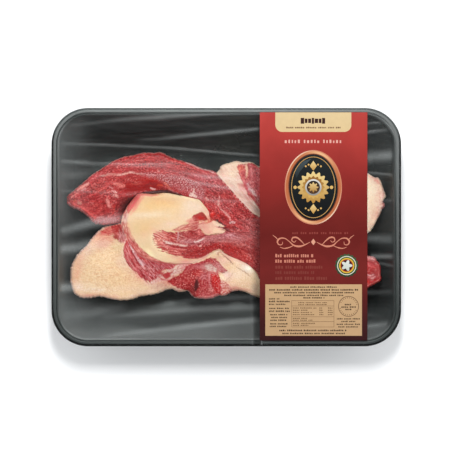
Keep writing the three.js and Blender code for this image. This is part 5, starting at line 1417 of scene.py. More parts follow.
    # close, steep stripes near its lower end
    st = q.region([(140, 264), (149, 264.6), (157, 267), (161, 273), (159, 279), (151, 282), (144, 278)], 4.0, 1.2, seed=50)
    ws = fibres(*turned(x, y, 54), 5.5, 1.0, 51)
    q.mix(st * smooth(0.02, 0.3, ws) * 0.85, (246, 182, 178), dh=0.1)
    q.mix(st * smooth(0.04, 0.3, -ws) * 0.8, (150, 34, 40), dh=-0.1)
    q.strokes([
        ([(127.4, 240), (130, 245), (132.6, 250.4), (135.4, 255.4), (138.6, 260), (141.6, 263.6), (144, 266)], [0.4, 0.9, 1.1, 0.8, 1.1, 1.6, 0.9],
         (234, 184, 186), 0.95, 0.7, 0.12),
        ([(123.6, 246), (125.6, 252), (127.6, 258), (130.6, 263.6), (134, 268.6), (138, 273), (142, 277)], [0.3, 0.6, 0.5, 0.6, 0.7, 0.5, 0.3],
         (244, 160, 156), 0.85, 0.5, 0.08),
        ([(123.4, 252), (125.8, 259), (129.6, 265.6), (134.6, 271), (140, 276)], [0.5, 1.0, 1.2, 1.2, 0.8], (176, 40, 44), 0.5, 1.0),
        ([(139.2, 259.2), (144, 263.6), (149.7, 268), (155, 271)], [0.4, 0.8, 0.7, 0.4], (240, 170, 170), 0.8, 0.6, 0.08),
        ([(126.8, 243), (128.6, 250), (131.4, 257), (134.6, 262.6), (138, 267)], [0.3, 0.5, 0.5, 0.7, 0.6], (236, 130, 130), 0.8, 0.5, 0.06),
        ([(130, 262), (133, 266), (136.6, 269)], 0.5, (240, 140, 138), 0.7), ([(130.4, 249.4), (133, 255), (136.4, 260.6), (140.6, 265.4)], 0.5, (140, 44, 50), 0.75, 0.5, -0.08),
        ([(133.4, 247), (137, 252.6), (141.4, 257.4)], 0.4, (228, 138, 138), 0.5), ([(128.4, 257), (131, 263), (134.6, 268)], 0.4, (156, 48, 52), 0.6),
        ([(140, 259.4), (143.6, 262.6), (147, 266.4)], 0.6, (152, 50, 56), 0.6), ([(143.6, 259.6), (147.6, 263), (150, 267)], 0.5, (226, 136, 136), 0.5),
        ([(140, 265.4), (144, 267.6), (149, 268.4), (156, 268.6)], 0.7, (232, 150, 146), 0.55), ([(153, 262.4), (158, 266), (164, 267.6)], 0.45, (172, 116, 122), 0.6),
        ([(144, 271), (147, 275.6), (151, 279.4)], 0.5, (232, 122, 124), 0.75), ([(141, 271), (144.4, 276)], 0.5, (194, 60, 64), 0.6),
        ([(130.6, 240.6), (134.6, 246), (139.4, 251.4), (145, 256)], 0.5, (150, 48, 50), 0.5), ([(136.6, 269.6), (141, 274)], 0.5, (178, 66, 68), 0.6),
        ([(163.6, 274), (166, 277), (169.4, 275)], 0.4, (168, 46, 54), 0.6), ([(162.6, 271.4), (166, 270.6), (169.6, 271)], 0.6, (238, 166, 160), 0.8),
    ])
    p.c = base + (q.c - base) * cres[:, None]
    p.h = hh + (q.h - 0.2 - hh) * cres
    p.lean = ll + (1 - ll) * cres
    p.mix(p.stroke([(126, 239.6), (123.4, 244), (121.8, 249), (122, 254.6), (124.4, 260.6), (128.6, 267.4), (134, 273), (140, 278), (146, 282.8), (150, 284.4)],
                   0.6, 0.8) * 0.5, (251, 208, 192), 0.1)
    # fat vein between the crescent and the knob
    p.strokes([
        ([(150, 282), (156, 280.8), (162, 279), (165.4, 277.6)], [1.0, 1.2, 1.2, 0.7], (234, 198, 178), 0.85, 0.9, 0.08),
        ([(161.4, 276), (163, 278.4)], 0.9, (242, 206, 180), 0.8), ([(171, 272), (172, 276), (171.6, 279.4)], [0.8, 1.0, 0.6], (236, 186, 172), 0.85, 0.7, 0.05),
        ([(184, 262.4), (180.6, 264.6), (177, 267.4), (174, 270.4), (171.4, 274.4)], [1.8, 2.8, 2.8, 2.2, 1.0], (236, 208, 188), 0.92, 1.0, 0.1),
        ([(184.6, 263), (183, 266.6), (181, 270)], 0.9, (234, 164, 152), 0.7), ([(173.4, 271), (176.6, 272.6), (180, 272)], 0.8, (238, 192, 178), 0.8),
        ([(174, 276.4), (177, 275.6), (180, 276.6)], 0.4, (118, 42, 40), 0.6),
    ])
    brd = p.region([(158, 275), (162, 271.6), (168, 269.6), (174, 268), (180, 263.6), (186, 262.6), (188, 265), (183, 270), (178, 274), (172, 277), (168, 281),
                    (160, 281), (152, 284), (150, 282), (154, 279.6)], 1.6, 0.8, 2.6, seed=173)
    bn = fbm(x / 2.2, y / 1.5, 174, 2, 0.7)
    p.mix(brd * 0.6, (234, 200, 184), 0.1)
    p.mix(brd * smooth(0.1, 0.4, bn) * 0.6, (222, 150, 140), 0.3)
    p.mix(brd * smooth(0.05, 0.35, -bn) * 0.6, (244, 226, 212), 0.0, 0.06)
    p.mix(p.region([(162.4, 274.4), (165, 272.6), (168.6, 272.4), (170, 274.6), (168.4, 277.4), (165, 278), (162.8, 276.8)], 0.9, 0.7, 1.8, seed=175) * 0.92,
          (186, 50, 56), 1.0, -0.1)
    p.strokes([([(163.6, 274.4), (166, 275.4), (168.8, 274.4)], 0.5, (214, 96, 96), 0.7), ([(156.6, 276.6), (159.6, 277.6), (162, 280)], 0.6, (214, 120, 112), 0.7),
               ([(164, 279.6), (170, 280.6), (176, 284)], 0.4, (214, 158, 146), 0.6)])
    # the red knob
    knob = p.region([(167.4, 281), (171, 278.6), (173, 276.2), (178, 275.4), (181, 272), (184, 269), (187, 265.6), (190, 263.6), (195, 263.2),
                     (201, 261), (206, 258.6), (211, 257.4), (215.4, 258.4), (218.4, 261.4), (221, 264.6), (224.6, 268), (226.6, 271), (223, 272.6),
                     (218.4, 271.6), (218.6, 275.4), (220.6, 280), (221.8, 285), (222, 290), (220, 295.6), (215.6, 298.2), (208, 300), (198, 300),
                     (192, 297.6), (188.4, 293), (187, 290.4), (184, 290), (179, 288.6), (174, 286.4), (170.4, 284)], 1.3, 0.9, 3.4, seed=52)
    flap = smooth(216, 226, x)
    p.c *= (1 + flap[:, None] * np.array([0.13, 0.14, 0.17]))
    base, hh, ll = p.c.copy(), p.h.copy(), p.lean.copy()
    q = Paint(x, y, (170, 44, 46), 1.0)
    q.spots([
        (172, 282, 4, 3, 20, (184, 54, 58), 0.8), (184, 272, 6, 4, -20, (190, 74, 72), 0.7), (178, 284, 7, 3.4, 15, (182, 68, 66), 0.7),
        (190, 276, 6, 6, 0, (176, 62, 60), 0.7), (186, 286.6, 7, 3, 10, (160, 38, 42), 0.8), (193, 291, 4, 6, 0, (134, 26, 32), 0.9),
        (202, 262.4, 10, 1.8, -10, (196, 72, 78), 0.8), (200, 266.4, 12, 2.2, 0, (206, 122, 124), 0.9), (189, 268, 4, 3, -40, (206, 106, 102), 0.8),
        (213, 261.4, 3, 3, 40, (202, 60, 66), 0.85), (220, 267, 5, 3, 42, (216, 142, 142), 0.9), (216, 264.4, 3, 2, 42, (208, 120, 122), 0.7),
        (203, 276, 5, 5, 0, (186, 94, 98), 0.8), (204, 286, 4, 3.4, 0, (196, 58, 66), 0.8), (214, 280, 3.4, 8, -10, (196, 44, 46), 0.95),
        (217, 288, 3, 4, -10, (204, 60, 62), 0.8), (204, 294, 8, 2.4, 0, (202, 92, 94), 0.8), (211, 289.6, 3, 2.4, 30, (236, 154, 148), 0.85),
        (196, 283, 2, 5, 4, (96, 30, 20), 0.9), (209, 277, 1.4, 7, 0, (214, 134, 136), 0.7), (198.6, 274, 3, 3, 0, (194, 66, 60), 0.6),
        (214.6, 278, 4, 7, -8, (210, 32, 32), 0.95), (217, 288, 3.4, 5, -10, (204, 44, 44), 0.9),
    ])
    wob = fbm(x / 5, y / 5, 53, 2)
    g = fbm(x / 1.45 + wob, y / 1.15, 54, 2, 0.7)
    g0 = vnoise(x / 1.1, y / 1.1, 154)
    kp = 0.45 + 0.7 * smooth(-0.3, 0.3, fbm(x / 8.0, y / 7.0, 155, 2))
    q.times(np.clip(1 + 0.34 * g + 0.4 * g0, 0.4, 1.8), one)
    q.mix(smooth(0.16, 0.5, g) * 0.55 * kp, (222, 112, 106), dh=0.07)
    q.mix(smooth(0.28, 0.56, g0) * 0.95 * kp, (242, 164, 154), dh=0.06)
    q.mix(smooth(0.12, 0.46, -g) * 0.62, (128, 26, 32), dh=-0.06)
    ar = np.sin(np.hypot(x - 205, (y - 283) * 0.9) * 2.0 + 3.0 * vnoise(x / 5, y / 5, 56))
    swirl = q.spot(204, 280, 6, 9, 0, 0)
    q.mix(swirl * smooth(0.3, 0.9, ar) * 0.5, (222, 140, 138), dh=0.06)
    q.mix(swirl * smooth(0.3, 0.9, -ar) * 0.4, (140, 40, 44), dh=-0.06)
    q.strokes([
        # the hole in the knob: its darkness and the dark red below it are painted shade over shallow dips
        ([(196.2, 279.4), (196.4, 283), (195.8, 287), (194.6, 291)], [0.6, 1.9, 1.7, 0.6], (66, 14, 6), 0.98, 0.9, -0.15),
        ([(192, 286), (192.6, 291), (194, 296)], 1.6, (128, 22, 28), 0.7, 1.2, -0.2),
        ([(209.4, 272.6), (209, 278), (209.6, 284), (211, 288)], [0.6, 0.7, 0.6, 0.8], (224, 142, 142), 0.8, 0.6, 0.08),
        ([(212, 273), (214, 279), (215.6, 285)], 0.6, (214, 54, 54), 0.6), ([(211, 276), (212, 283)], 0.5, (168, 28, 34), 0.6),
        ([(217.4, 282), (218.6, 287), (218, 292)], 0.45, (236, 120, 116), 0.7), ([(215.4, 286.6), (216.4, 291.6)], 0.5, (162, 30, 36), 0.6),
        ([(192, 262.8), (198, 262.6), (205, 260.6), (211, 259.4)], 0.5, (170, 46, 54), 0.6),
        ([(214, 260.6), (218, 264), (222, 268), (225.4, 271)], 0.4, (234, 176, 172), 0.6), ([(189, 265.6), (187, 269.4), (184, 272.6)], 0.5, (224, 142, 134), 0.6),
        ([(206.8, 284.4), (205, 287.6), (202, 288)], 0.4, (236, 138, 132), 0.6), ([(178, 279.6), (183, 281), (187, 284)], 0.5, (222, 112, 108), 0.6),
        ([(182, 275), (186, 277.6), (189, 281)], 0.5, (216, 116, 110), 0.6), ([(176, 282.6), (181, 285.6)], 0.4, (148, 34, 38), 0.6),
        ([(189.6, 296), (194, 298), (200, 299), (207, 299.2), (213, 298.4), (219, 296)], 0.8, (206, 142, 142), 0.8, 0.8),
    ])
    # painted shade deepening the hole
    q.mix(q.stroke([(196.2, 279.4), (196.4, 283), (195.8, 287), (194.6, 291)], [0.7, 1.7, 1.6, 0.6], 1.0) * 0.97, (84, 14, 6), 0.0)
    p.c = base + (q.c - base) * knob[:, None]
    p.h = hh + (q.h - hh) * knob
    p.lean = ll + (1 - 0.85 * q.spot(196, 285, 3.4, 8, 4, 0.0) - ll) * knob
    patch = p.region([(204.6, 265.6), (208, 264), (211.6, 264.6), (214.4, 266.8), (217, 269.6), (215.6, 271.8), (212, 271.2), (208.6, 270.4), (205.6, 268.6)], 1.1, 0.4, seed=57)
    halo = p.region([(199, 266.6), (203, 263.6), (209, 262.4), (214, 264.6), (219, 268.6), (221, 272), (217, 274.4), (211, 273), (205, 271), (200.6, 269)],
                    3.0, 1.0, 2.4, seed=176)
    p.mix(halo * (0.35 + 0.5 * smooth(-0.3, 0.3, fbm(x / 2.4, y / 1.4, 177, 2))), (212, 140, 134), 0.5, 0.03)
    p.mix(patch * np.clip(0.62 + 1.3 * fbm(x / 2.2, y / 1.3, 178, 2), 0.2, 0.92), (230, 202, 188), 0.0, 0.12)
    arm = p.region([(209, 258.6), (214, 258), (218, 261), (222, 265.4), (227, 270.8), (223.6, 273), (218.6, 271), (214, 266), (209, 262)], 1.6, 0.8, 2.4, seed=179)
    ag = fibres(*turned(x, y, 42), 3.0, 1.0, 180)
    p.mix(arm * smooth(0.02, 0.3, ag) * 0.7, (226, 158, 150), 0.5, 0.05)
    p.mix(arm * smooth(0.02, 0.3, -ag) * 0.5, (170, 62, 66), 0.8, -0.05)
    # pink frill under the knob, and the flap's root beside it
    p.strokes([([(189, 294), (192, 297.4), (197, 299.2), (203, 299), (208, 300), (213, 299), (217, 297), (221, 296.4), (226, 294.6), (230, 292.6)],
                [0.5, 1.1, 0.8, 1.3, 0.8, 1.2, 0.9, 1.1, 0.8, 0.4], (214, 134, 130), 0.85, 0.8, 0.08),
               ([(221, 277), (222.6, 283), (223.4, 289), (224, 293)], [0.6, 1.0, 1.3, 0.8], (228, 168, 156), 0.75, 1.1),
               ([(222.4, 281.6), (226, 280), (230, 276.6), (233, 272.6)], [0.3, 0.5, 0.4, 0.3], (206, 160, 142), 0.7, 0.7, -0.06)])
    p.strokes([
        ([(206, 268.4), (210, 270.6), (215, 271.6)], 0.4, (238, 170, 156), 0.6),
        # flap: fold line, small notch and faint creases, darkened as painted shade
        ([(217.4, 254.8), (218.6, 252), (220.6, 251.6), (221.4, 254)], 0.8, (186, 108, 90), 0.75, 0.7, -0.15),
        ([(221, 253.6), (224.4, 256), (227.4, 258.4), (230, 261), (233.4, 264.6)], [0.6, 0.8, 0.8, 0.7, 0.4], (156, 94, 80), 0.85, 0.6, -0.2),
        ([(215.4, 254), (217.4, 251.4), (219.4, 250.2), (222, 251.6), (226, 254.8), (231, 257.8)], 0.9, (250, 206, 188), 0.7, 0.8, 0.08),
        ([(212, 256.4), (214.6, 256), (216.6, 258.6)], 0.6, (238, 176, 162), 0.7),
        ([(235, 266.4), (240, 269.2), (246, 272.8), (250.4, 277)], [0.4, 0.6, 0.7, 0.4], (192, 144, 118), 0.75, 0.6, -0.1),
        ([(222, 283.6), (227, 281.4), (231, 278.4)], 0.5, (226, 184, 164), 0.6, 0.7, -0.05), ([(222, 272.8), (226, 271.8), (229, 272.6)], 0.5, (222, 188, 184), 0.6),
        ([(229, 289.6), (236, 287.4), (244, 288.4), (252, 291.4)], 0.8, (228, 166, 140), 0.6, 1.2), ([(220, 288), (222.6, 291), (225.4, 294)], 0.8, (222, 140, 132), 0.7),
        ([(168, 281.6), (171.6, 285.4), (177, 288), (183, 290)], 0.5, (240, 204, 188), 0.7),
    ])
    rim(p, OUTLINES["lower"], 0.5, (240, 206, 194), 0.45)
    # mottled lean at the flap's root and along the knob's hem
    rootm = p.region([(221, 280), (225.6, 282.6), (229.4, 285.4), (232, 289), (231, 292.4), (226, 295), (221, 296), (220.6, 288)], 2.2, 1.0, 2.4, seed=194)
    rn = fbm(x / 1.9, y / 1.7, 195, 2, 0.7)
    p.mix(rootm * 0.72, (208, 110, 104), 0.5)
    p.mix(rootm * smooth(0.02, 0.3, rn) * 0.8, (242, 190, 178), 0.2, 0.06)
    p.mix(rootm * smooth(0.05, 0.35, -rn) * 0.7, (188, 62, 62), 0.8, -0.05)
    hemk = p.stroke([(197, 296.6), (203, 297.2), (209, 297), (214, 295.4), (219, 293.8)], [0.6, 1.3, 1.5, 1.3, 0.8], 1.0)
    p.mix(hemk * (0.5 + 0.4 * smooth(-0.1, 0.3, rn)), (230, 142, 138), 0.6, 0.04)
    # the small piece of lean runs out to the crescent and up to the right
    p.mix(p.stroke([(155.6, 271.4), (159.4, 272.6), (163, 274)], [0.8, 1.6, 1.4], 1.1) * 0.85, (200, 76, 78), 0.8)
    p.mix(p.stroke([(164.6, 275.8), (168, 274.4), (171, 272), (173.4, 269.6)], [1.6, 1.7, 1.0, 0.4], 0.9) * 0.85, (192, 60, 64), 0.9, -0.05)
    p.mix(p.stroke([(160.4, 278.8), (163.4, 279.4), (166.4, 279.2)], [0.5, 1.0, 0.5], 0.8) * 0.7, (214, 132, 124), 0.4)
    # the lean's upper border, dark against the centre slab
    p.mix(p.stroke(CENTRE_LOWER[3:14], [0.4, 1.0, 1.0, 1.0, 0.7], 0.8) * 0.7, (178, 66, 70), 0.8)
    p.mix(p.stroke([(219.4, 251.6), (225, 255), (233, 258.6), (242, 262), (249, 266)], [0.5, 1.2, 1.3, 1.3, 0.8], 0.9) * 0.5, (246, 184, 166), 0.3)
    # flecks of lean round the membrane between the crescent and the knob
    mo = p.spot(166, 272, 34, 14, -4, 0.0)
    mn1 = fbm(x / 2.0, y / 1.6, 196, 2, 0.75)
    p.mix(np.clip(1.4 * mo, 0, 1) * smooth(0.06, 0.3, mn1) * 0.55, (194, 72, 72), 0.7, -0.04)
    # tone corrections at listed places; the darkening at (234, 289) is painted shade at the flap's lower right
    p.tints([(166, 273, 34, 14, -4, (0.96, 0.78, 0.82)), (140, 274, 7, 5, 40, (0.96, 0.7, 0.78)), (164, 282, 6, 4, 0, (0.93, 0.76, 0.8)),
             (188, 266, 6, 4, -30, (0.92, 0.72, 0.76)), (100, 235, 8, 5, 0, (0.95, 0.74, 0.8)), (101, 243, 7, 4, 0, (0.97, 0.84, 0.84)),
             (116, 226, 4, 3, 0, (1.05, 0.72, 0.76)), (236, 290, 8, 3, 0, (0.92, 0.8, 0.82)), (220, 283, 3, 6, 0, (1.08, 1.3, 1.3)),
             (124, 227, 4, 3, 0, (1.0, 0.74, 0.8)), (228, 282, 5, 4, 0, (0.93, 0.84, 0.88)), (172, 282, 5, 3.4, 0, (0.97, 0.75, 0.78)),
             (116, 226, 4, 3, 0, (1.02, 0.78, 0.78)), (220, 258, 4, 3, 20, (0.98, 0.82, 0.94)), (229, 274, 5, 4, 0, (0.92, 0.86, 0.9)),
             (140, 266, 5, 4, 50, (1.1, 1.25, 1.25)), (125, 242, 4, 4, 0, (1.15, 1.15, 1.2)), (196, 282, 5, 4, 0, (1.0, 0.8, 0.75)),
             (247, 267, 5, 2.6, 30, (1.06, 1.12, 1.16)), (230, 259, 5, 2, 26, (0.98, 0.84, 0.9)), (204, 258, 5, 2, 0, (1.0, 0.82, 0.88)),
             (138, 265, 5, 4, 40, (1.12, 1.35, 1.3)), (186, 267, 6, 3.4, 0, (0.96, 0.74, 0.82)), (178, 289, 5, 4, 0, (0.88, 0.7, 0.72)),
             (130, 249, 4, 4, 0, (1.15, 1.3, 1.28)), (138, 250, 4, 4, 40, (1.1, 1.25, 1.2)), (146, 258, 4, 3, 40, (1.1, 1.3, 1.2)),
             (250, 269, 4, 3, 20, (1.1, 1.25, 1.25)), (114, 225, 4, 4, 0, (1.0, 0.7, 0.7)), (170, 281, 4, 4, 0, (0.97, 0.75, 0.78)),
             (210, 281, 5, 4, 0, (0.94, 0.72, 0.74)), (234, 289, 5, 4, 0, (0.82, 0.64, 0.72)), (235, 259, 4, 3, 20, (1.1, 1.15, 1.12)),
             (133, 247, 4.5, 4, 40, (1.15, 1.4, 1.35)), (198, 265.6, 4.5, 3, 0, (0.95, 0.76, 0.82)), (110, 240, 5, 4, 0, (0.98, 0.8, 0.84)),
             (115, 222, 4, 4, 0, (0.95, 0.7, 0.7)), (198, 272, 4.5, 4, 0, (1.2, 1.4, 1.35)), (171, 270, 4.5, 4, 0, (1.13, 1.5, 1.5)),
             (227, 263, 4, 3, 0, (0.93, 0.84, 0.87)), (138, 295, 9, 2.6, 0, (0.9, 0.84, 0.82)), (222, 280, 4, 4, 0, (1.1, 1.22, 1.2)), (134, 256, 4, 3, 0, (1.0, 0.82, 0.8)),
             (126, 240, 4, 4, 0, (1.15, 1.14, 1.13))])
    return p


def paint_corner(x, y):
    p = Paint(x, y, (245, 220, 194), 0.0)
    one = np.ones(len(x))
    p.spots([
        (236, 172, 6, 6, 30, (247, 226, 194), 0.7), (228, 169, 5, 4, -30, (246, 218, 196), 0.5), (233, 184, 8, 4, 48, (240, 216, 200), 0.8),
        (245, 198, 9, 3.4, 48, (234, 208, 194), 0.8), (253, 208, 6, 3, 45, (222, 196, 184), 0.8), (224, 176, 5, 1.6, 48, (246, 194, 182), 0.7),
        (236, 192, 9, 1.4, 47, (246, 190, 180), 0.7), (249, 206, 8, 1.3, 45, (240, 182, 174), 0.7), (225, 170.4, 1.6, 1.2, 0, (198, 164, 146), 0.6),
        (373, 186, 10, 9, 30, (248, 222, 192), 0.7), (372, 202, 10, 8, 0, (246, 210, 178), 0.7), (374, 214, 8, 7, 0, (242, 204, 176), 0.7),
        (371, 226, 8, 5, 0, (232, 190, 164), 0.8), (381, 196, 3, 6, 0, (236, 196, 180), 0.6), (370, 176, 6, 2.4, 15, (236, 196, 172), 0.7),
    ])
    lobules(p, one, 61, 0.7, 3.2)
    # pinker at the left end, paler at the right
    lft = 1 - smooth(240, 300, x)
    p.c *= np.stack([1.0 - 0.06 * lft + 0.08 * (1 - lft), 1.0 - 0.13 * lft + 0.12 * (1 - lft), 1.0 - 0.14 * lft + 0.12 * (1 - lft)], 1)
    nd = fbm(x / 2.4, y / 2.4, 161, 2, 0.7)
    p.mix(lft * smooth(0.05, 0.5, nd) * 0.35, (236, 182, 162), 0.1)
    p.spots([(223, 170.6, 4, 2.4, 30, (247, 204, 182), 0.6), (241, 188, 5, 3, 48, (240, 186, 170), 0.7), (233, 187, 5, 1.6, 47, (228, 184, 168), 0.8),
             (239, 194, 7, 1.6, 47, (220, 176, 162), 0.8), (247, 196.6, 5, 3, 48, (208, 138, 132), 0.85), (251, 202, 6, 3.4, 48, (196, 146, 134), 0.85),
             (257, 210, 6, 3.4, 44, (188, 140, 130), 0.8), (246, 203, 6, 1.4, 46, (226, 176, 164), 0.7)])
    ud2, vd2 = turned(x, y, 47)
    p.mix(lft * smooth(0.08, 0.4, fibres(ud2, vd2, 10, 1.4, 162)) * 0.45, (228, 172, 156), 0.1)
    p.mix(lft * smooth(0.08, 0.4, -fibres(ud2, vd2, 10, 1.4, 162)) * 0.4, (252, 228, 204), 0.0)
    base, hh, ll = p.c.copy(), p.h.copy(), p.lean.copy()
    ue, ve = turned(x, y, 52)
    lean = p.feather([(236.4, 166.4), (239, 164.4), (243.6, 163.6), (250, 162.6), (256, 164), (262, 168), (300, 172), (300, 222), (262, 212),
                     (257, 205), (252, 199.4), (248, 194), (244.6, 187.6), (241.6, 180.4), (239, 173)], ue, ve, 7.0, 1.3, 1.3, 1.2, 62)
    q = Paint(x, y, (184, 70, 72), 1.0)
    q.spots([
        (240.4, 168, 3.4, 3.6, 0, (226, 112, 88), 0.9), (243, 178, 2.4, 8, -15, (202, 74, 78), 0.8), (246.4, 187, 2.6, 5, -30, (184, 54, 66), 0.8),
        (246.6, 169, 1.2, 6, -6, (240, 190, 158), 0.85), (251.6, 178, 2.6, 8, -8, (204, 104, 106), 0.6), (255.6, 172, 3, 7, 0, (182, 60, 66), 0.7),
        (257, 186, 3, 8, 0, (158, 58, 64), 0.8), (249, 187.6, 2.6, 4.4, -30, (218, 172, 170), 0.85), (253, 192, 2.2, 3.4, -35, (214, 178, 174), 0.8),
        (252, 198, 4, 3, 40, (190, 66, 66), 0.7), (257, 199, 3, 4, 0, (150, 100, 98), 0.7), (256, 206, 4, 3, 30, (168, 66, 64), 0.7),
        (250.8, 170.6, 1.4, 2.6, 0, (226, 132, 132), 0.7),
    ])
    ud, vd = along([(238, 158), (242, 172), (247, 186), (256, 200), (268, 214)], x, y)
    muscle(q, one, ud, vd, 63, 1.1, 0.8, 0.8, lu=8.0, lv=1.4)
    q.strokes([
        ([(245.2, 163.6), (246.4, 168), (246.6, 173), (245.4, 178)], [0.8, 1.0, 0.7, 0.3], (244, 196, 166), 0.85, 0.6, 0.08),
        ([(240, 172), (242, 178), (244, 184), (248, 190)], 0.5, (228, 116, 116), 0.6), ([(238, 167), (241, 175), (244, 182)], 0.45, (236, 140, 118), 0.5),
        ([(248.6, 172), (248.4, 176), (247.4, 180)], 0.6, (176, 40, 52), 0.7), ([(250.6, 167), (252, 172), (252.6, 178)], 0.5, (222, 128, 128), 0.6),
        ([(247, 182.6), (249, 187), (251.6, 191)], 0.9, (224, 186, 184), 0.7), ([(245.6, 186.6), (247.6, 190), (250.4, 193.4)], 0.5, (210, 84, 92), 0.7),
        ([(254, 166), (255.4, 171), (256, 177)], 0.5, (146, 34, 44), 0.6), ([(251.6, 190), (254, 194), (256.6, 196)], 0.8, (216, 186, 180), 0.7),
        ([(255, 181), (256.4, 186), (258, 190)], 0.5, (132, 40, 48), 0.6),
    ])
    p.c = base + (q.c - base) * lean[:, None]
    p.h = hh + (q.h - 0.1 - hh) * lean
    p.lean = ll + (1 - ll) * lean
    p.strokes([
        ([(216.6, 173), (222, 179), (229, 187), (237, 196), (245, 204.6), (254, 213)], 0.6, (250, 206, 196), 0.75, 0.7, 0.1),
        ([(240, 186), (245, 193), (250, 199.4), (256, 206)], 0.6, (246, 214, 202), 0.6), ([(228, 179), (229.4, 180.6)], 0.6, (214, 166, 150), 0.6),
        ([(241, 190.4), (243, 192.6)], 0.6, (222, 190, 150), 0.6), ([(230, 183.6), (233, 186)], 0.5, (226, 170, 166), 0.5),
    ])
    rim(p, OUTLINES["corner"], 0.5, (250, 222, 200), 0.35)
    cn = fbm(x / 2.4, y / 2.0, 197, 2, 0.7)
    edge_r = smooth(372, 381, x)
    p.mix(edge_r * smooth(0.0, 0.35, cn) * 0.6, (226, 158, 146), 0.1, 0.04)
    p.strokes([([(374, 179.6), (377, 180.4), (379.6, 183)], [0.8, 1.2, 0.7], (226, 142, 134), 0.75, 0.9),
               ([(383.4, 200.4), (384.4, 203), (383.6, 206.4), (381.4, 208.6)], [0.8, 1.3, 1.2, 0.6], (202, 104, 112), 0.85, 0.8),
               ([(382.6, 190), (383.8, 194), (383, 198)], [0.5, 0.9, 0.5], (226, 160, 152), 0.7, 0.8),
               ([(368, 176), (372, 177.4), (375.4, 179.4)], 0.6, (236, 176, 156), 0.6, 0.8)])
    p.mix(p.stroke([(236.6, 183.2), (241, 184.4), (246, 186), (251, 187.2)], [0.5, 1.5, 1.6, 1.0], 1.0) * 0.5, (200, 104, 100), 0.5)
    p.tints([(250.4, 198, 4, 2.4, 30, (0.95, 0.64, 0.68)), (251, 181.4, 5, 2.4, 0, (1.06, 1.4, 1.35)), (238, 176, 4, 4, 0, (0.93, 0.82, 0.9)), (258, 172, 5, 8, 0, (0.8, 0.86, 0.86)), (242, 185, 5, 4, 0, (0.93, 0.78, 0.8)), (383, 197, 4, 3, 0, (1.15, 1.28, 1.3)),
             (376, 220, 4, 3.4, 0, (1.22, 1.25, 1.2)), (380, 192, 5, 14, 0, (0.9, 0.76, 0.74)), (377, 214, 6, 9, 20, (0.9, 0.72, 0.74)), (376, 180, 6, 4, 20, (0.9, 0.7, 0.72)),
             (219, 170, 4, 3, 0, (0.75, 0.72, 0.72)), (383, 204, 3, 4, 0, (0.8, 0.6, 0.68)), (245, 188, 5, 6, 48, (0.95, 0.72, 0.8))])
    # painted light: the tone is raised just right of the label's edge, against the shade the label casts there
    p.c = np.minimum(p.c * (1 + 0.75 * np.exp(-np.maximum(x - 366.4, 0) / 2.0) * (x > 364))[:, None], 0.96)
    return p


painters = {"strip": paint_strip, "centre": paint_centre, "lower": paint_lower, "corner": paint_corner}

meat_mat = Mat("raw_beef")
att = meat_mat.n("Attribute", _attribute_name="albedo", _attribute_type="GEOMETRY")
attl = meat_mat.n("Attribute", _attribute_name="lean", _attribute_type="GEOMETRY")
mb = meat_mat.n("BsdfPrincipled", Roughness=0.4)
mb.inputs["Subsurface Weight"].default_value = 0.1
mb.inputs["Subsurface Radius"].default_value = (1.0, 0.35, 0.2)
mb.inputs["Subsurface Scale"].default_value = 0.001
mb.inputs["Specular IOR Level"].default_value = 0.2
mco = meat_mat.n("TexCoord")
mn = meat_mat.n("TexNoise", Scale=1500.0, Detail=3.0, Roughness=0.6)
meat_mat.l(mco.outputs["Object"], mn.inputs["Vector"])
mn2 = meat_mat.n("TexNoise", Scale=420.0, Detail=4.0, Roughness=0.6)
meat_mat.l(mco.outputs["Object"], mn2.inputs["Vector"])
# the lean is rougher than the fat
mwet = meat_mat.n("Math", _operation="MULTIPLY_ADD")
mwet.inputs[1].default_value, mwet.inputs[2].default_value = 0.75, 0.25
meat_mat.l(attl.outputs["Fac"], mwet.inputs[0])
mh1 = meat_mat.n("Math", _operation="MULTIPLY")
meat_mat.l(mn2.outputs["Fac"], mh1.inputs[0])
meat_mat.l(mwet.outputs[0], mh1.inputs[1])
mh2 = meat_mat.n("Math", _operation="MULTIPLY")
meat_mat.l(mn.outputs["Fac"], mh2.inputs[0])
meat_mat.l(mwet.outputs[0], mh2.inputs[1])
mbump = meat_mat.n("Bump", Strength=0.9, Distance=0.0005)
meat_mat.l(mh1.outputs[0], mbump.inputs["Height"])
mbump2 = meat_mat.n("Bump", Strength=0.6, Distance=0.0002)
meat_mat.l(mh2.outputs[0], mbump2.inputs["Height"])
meat_mat.l(mbump.outputs[0], mbump2.inputs["Normal"])
meat_mat.l(mbump2.outputs[0], mb.inputs["Normal"])
mix = meat_mat.n("Mix", _data_type="RGBA", _blend_type="MULTIPLY")
mix.inputs[0].default_value = 0.35
mr = meat_mat.n("MapRange")
mr.inputs["To Min"].default_value, mr.inputs["To Max"].default_value = 0.75, 1.25
meat_mat.l(mn2.outputs["Fac"], mr.inputs["Value"])
comb = meat_mat.n("CombineColor")
for i in range(3):
    meat_mat.l(mr.outputs[0], comb.inputs[i])
meat_mat.l(att.outputs["Color"], mix.inputs[6])
meat_mat.l(comb.outputs[0], mix.inputs[7])
meat_mat.l(mix.outputs[2], mb.inputs["Base Color"])
rr = meat_mat.n("MapRange")
rr.inputs["To Min"].default_value, rr.inputs["To Max"].default_value = 0.48, 0.3
meat_mat.l(attl.outputs["Fac"], rr.inputs["Value"])
meat_mat.l(rr.outputs[0], mb.inputs["Roughness"])
meat_mat.l(mb.outputs[0], meat_mat.out.inputs[0])

for key in PIECES:
    ob = build_slab(key)
    ob.data.materials.append(meat_mat.m)
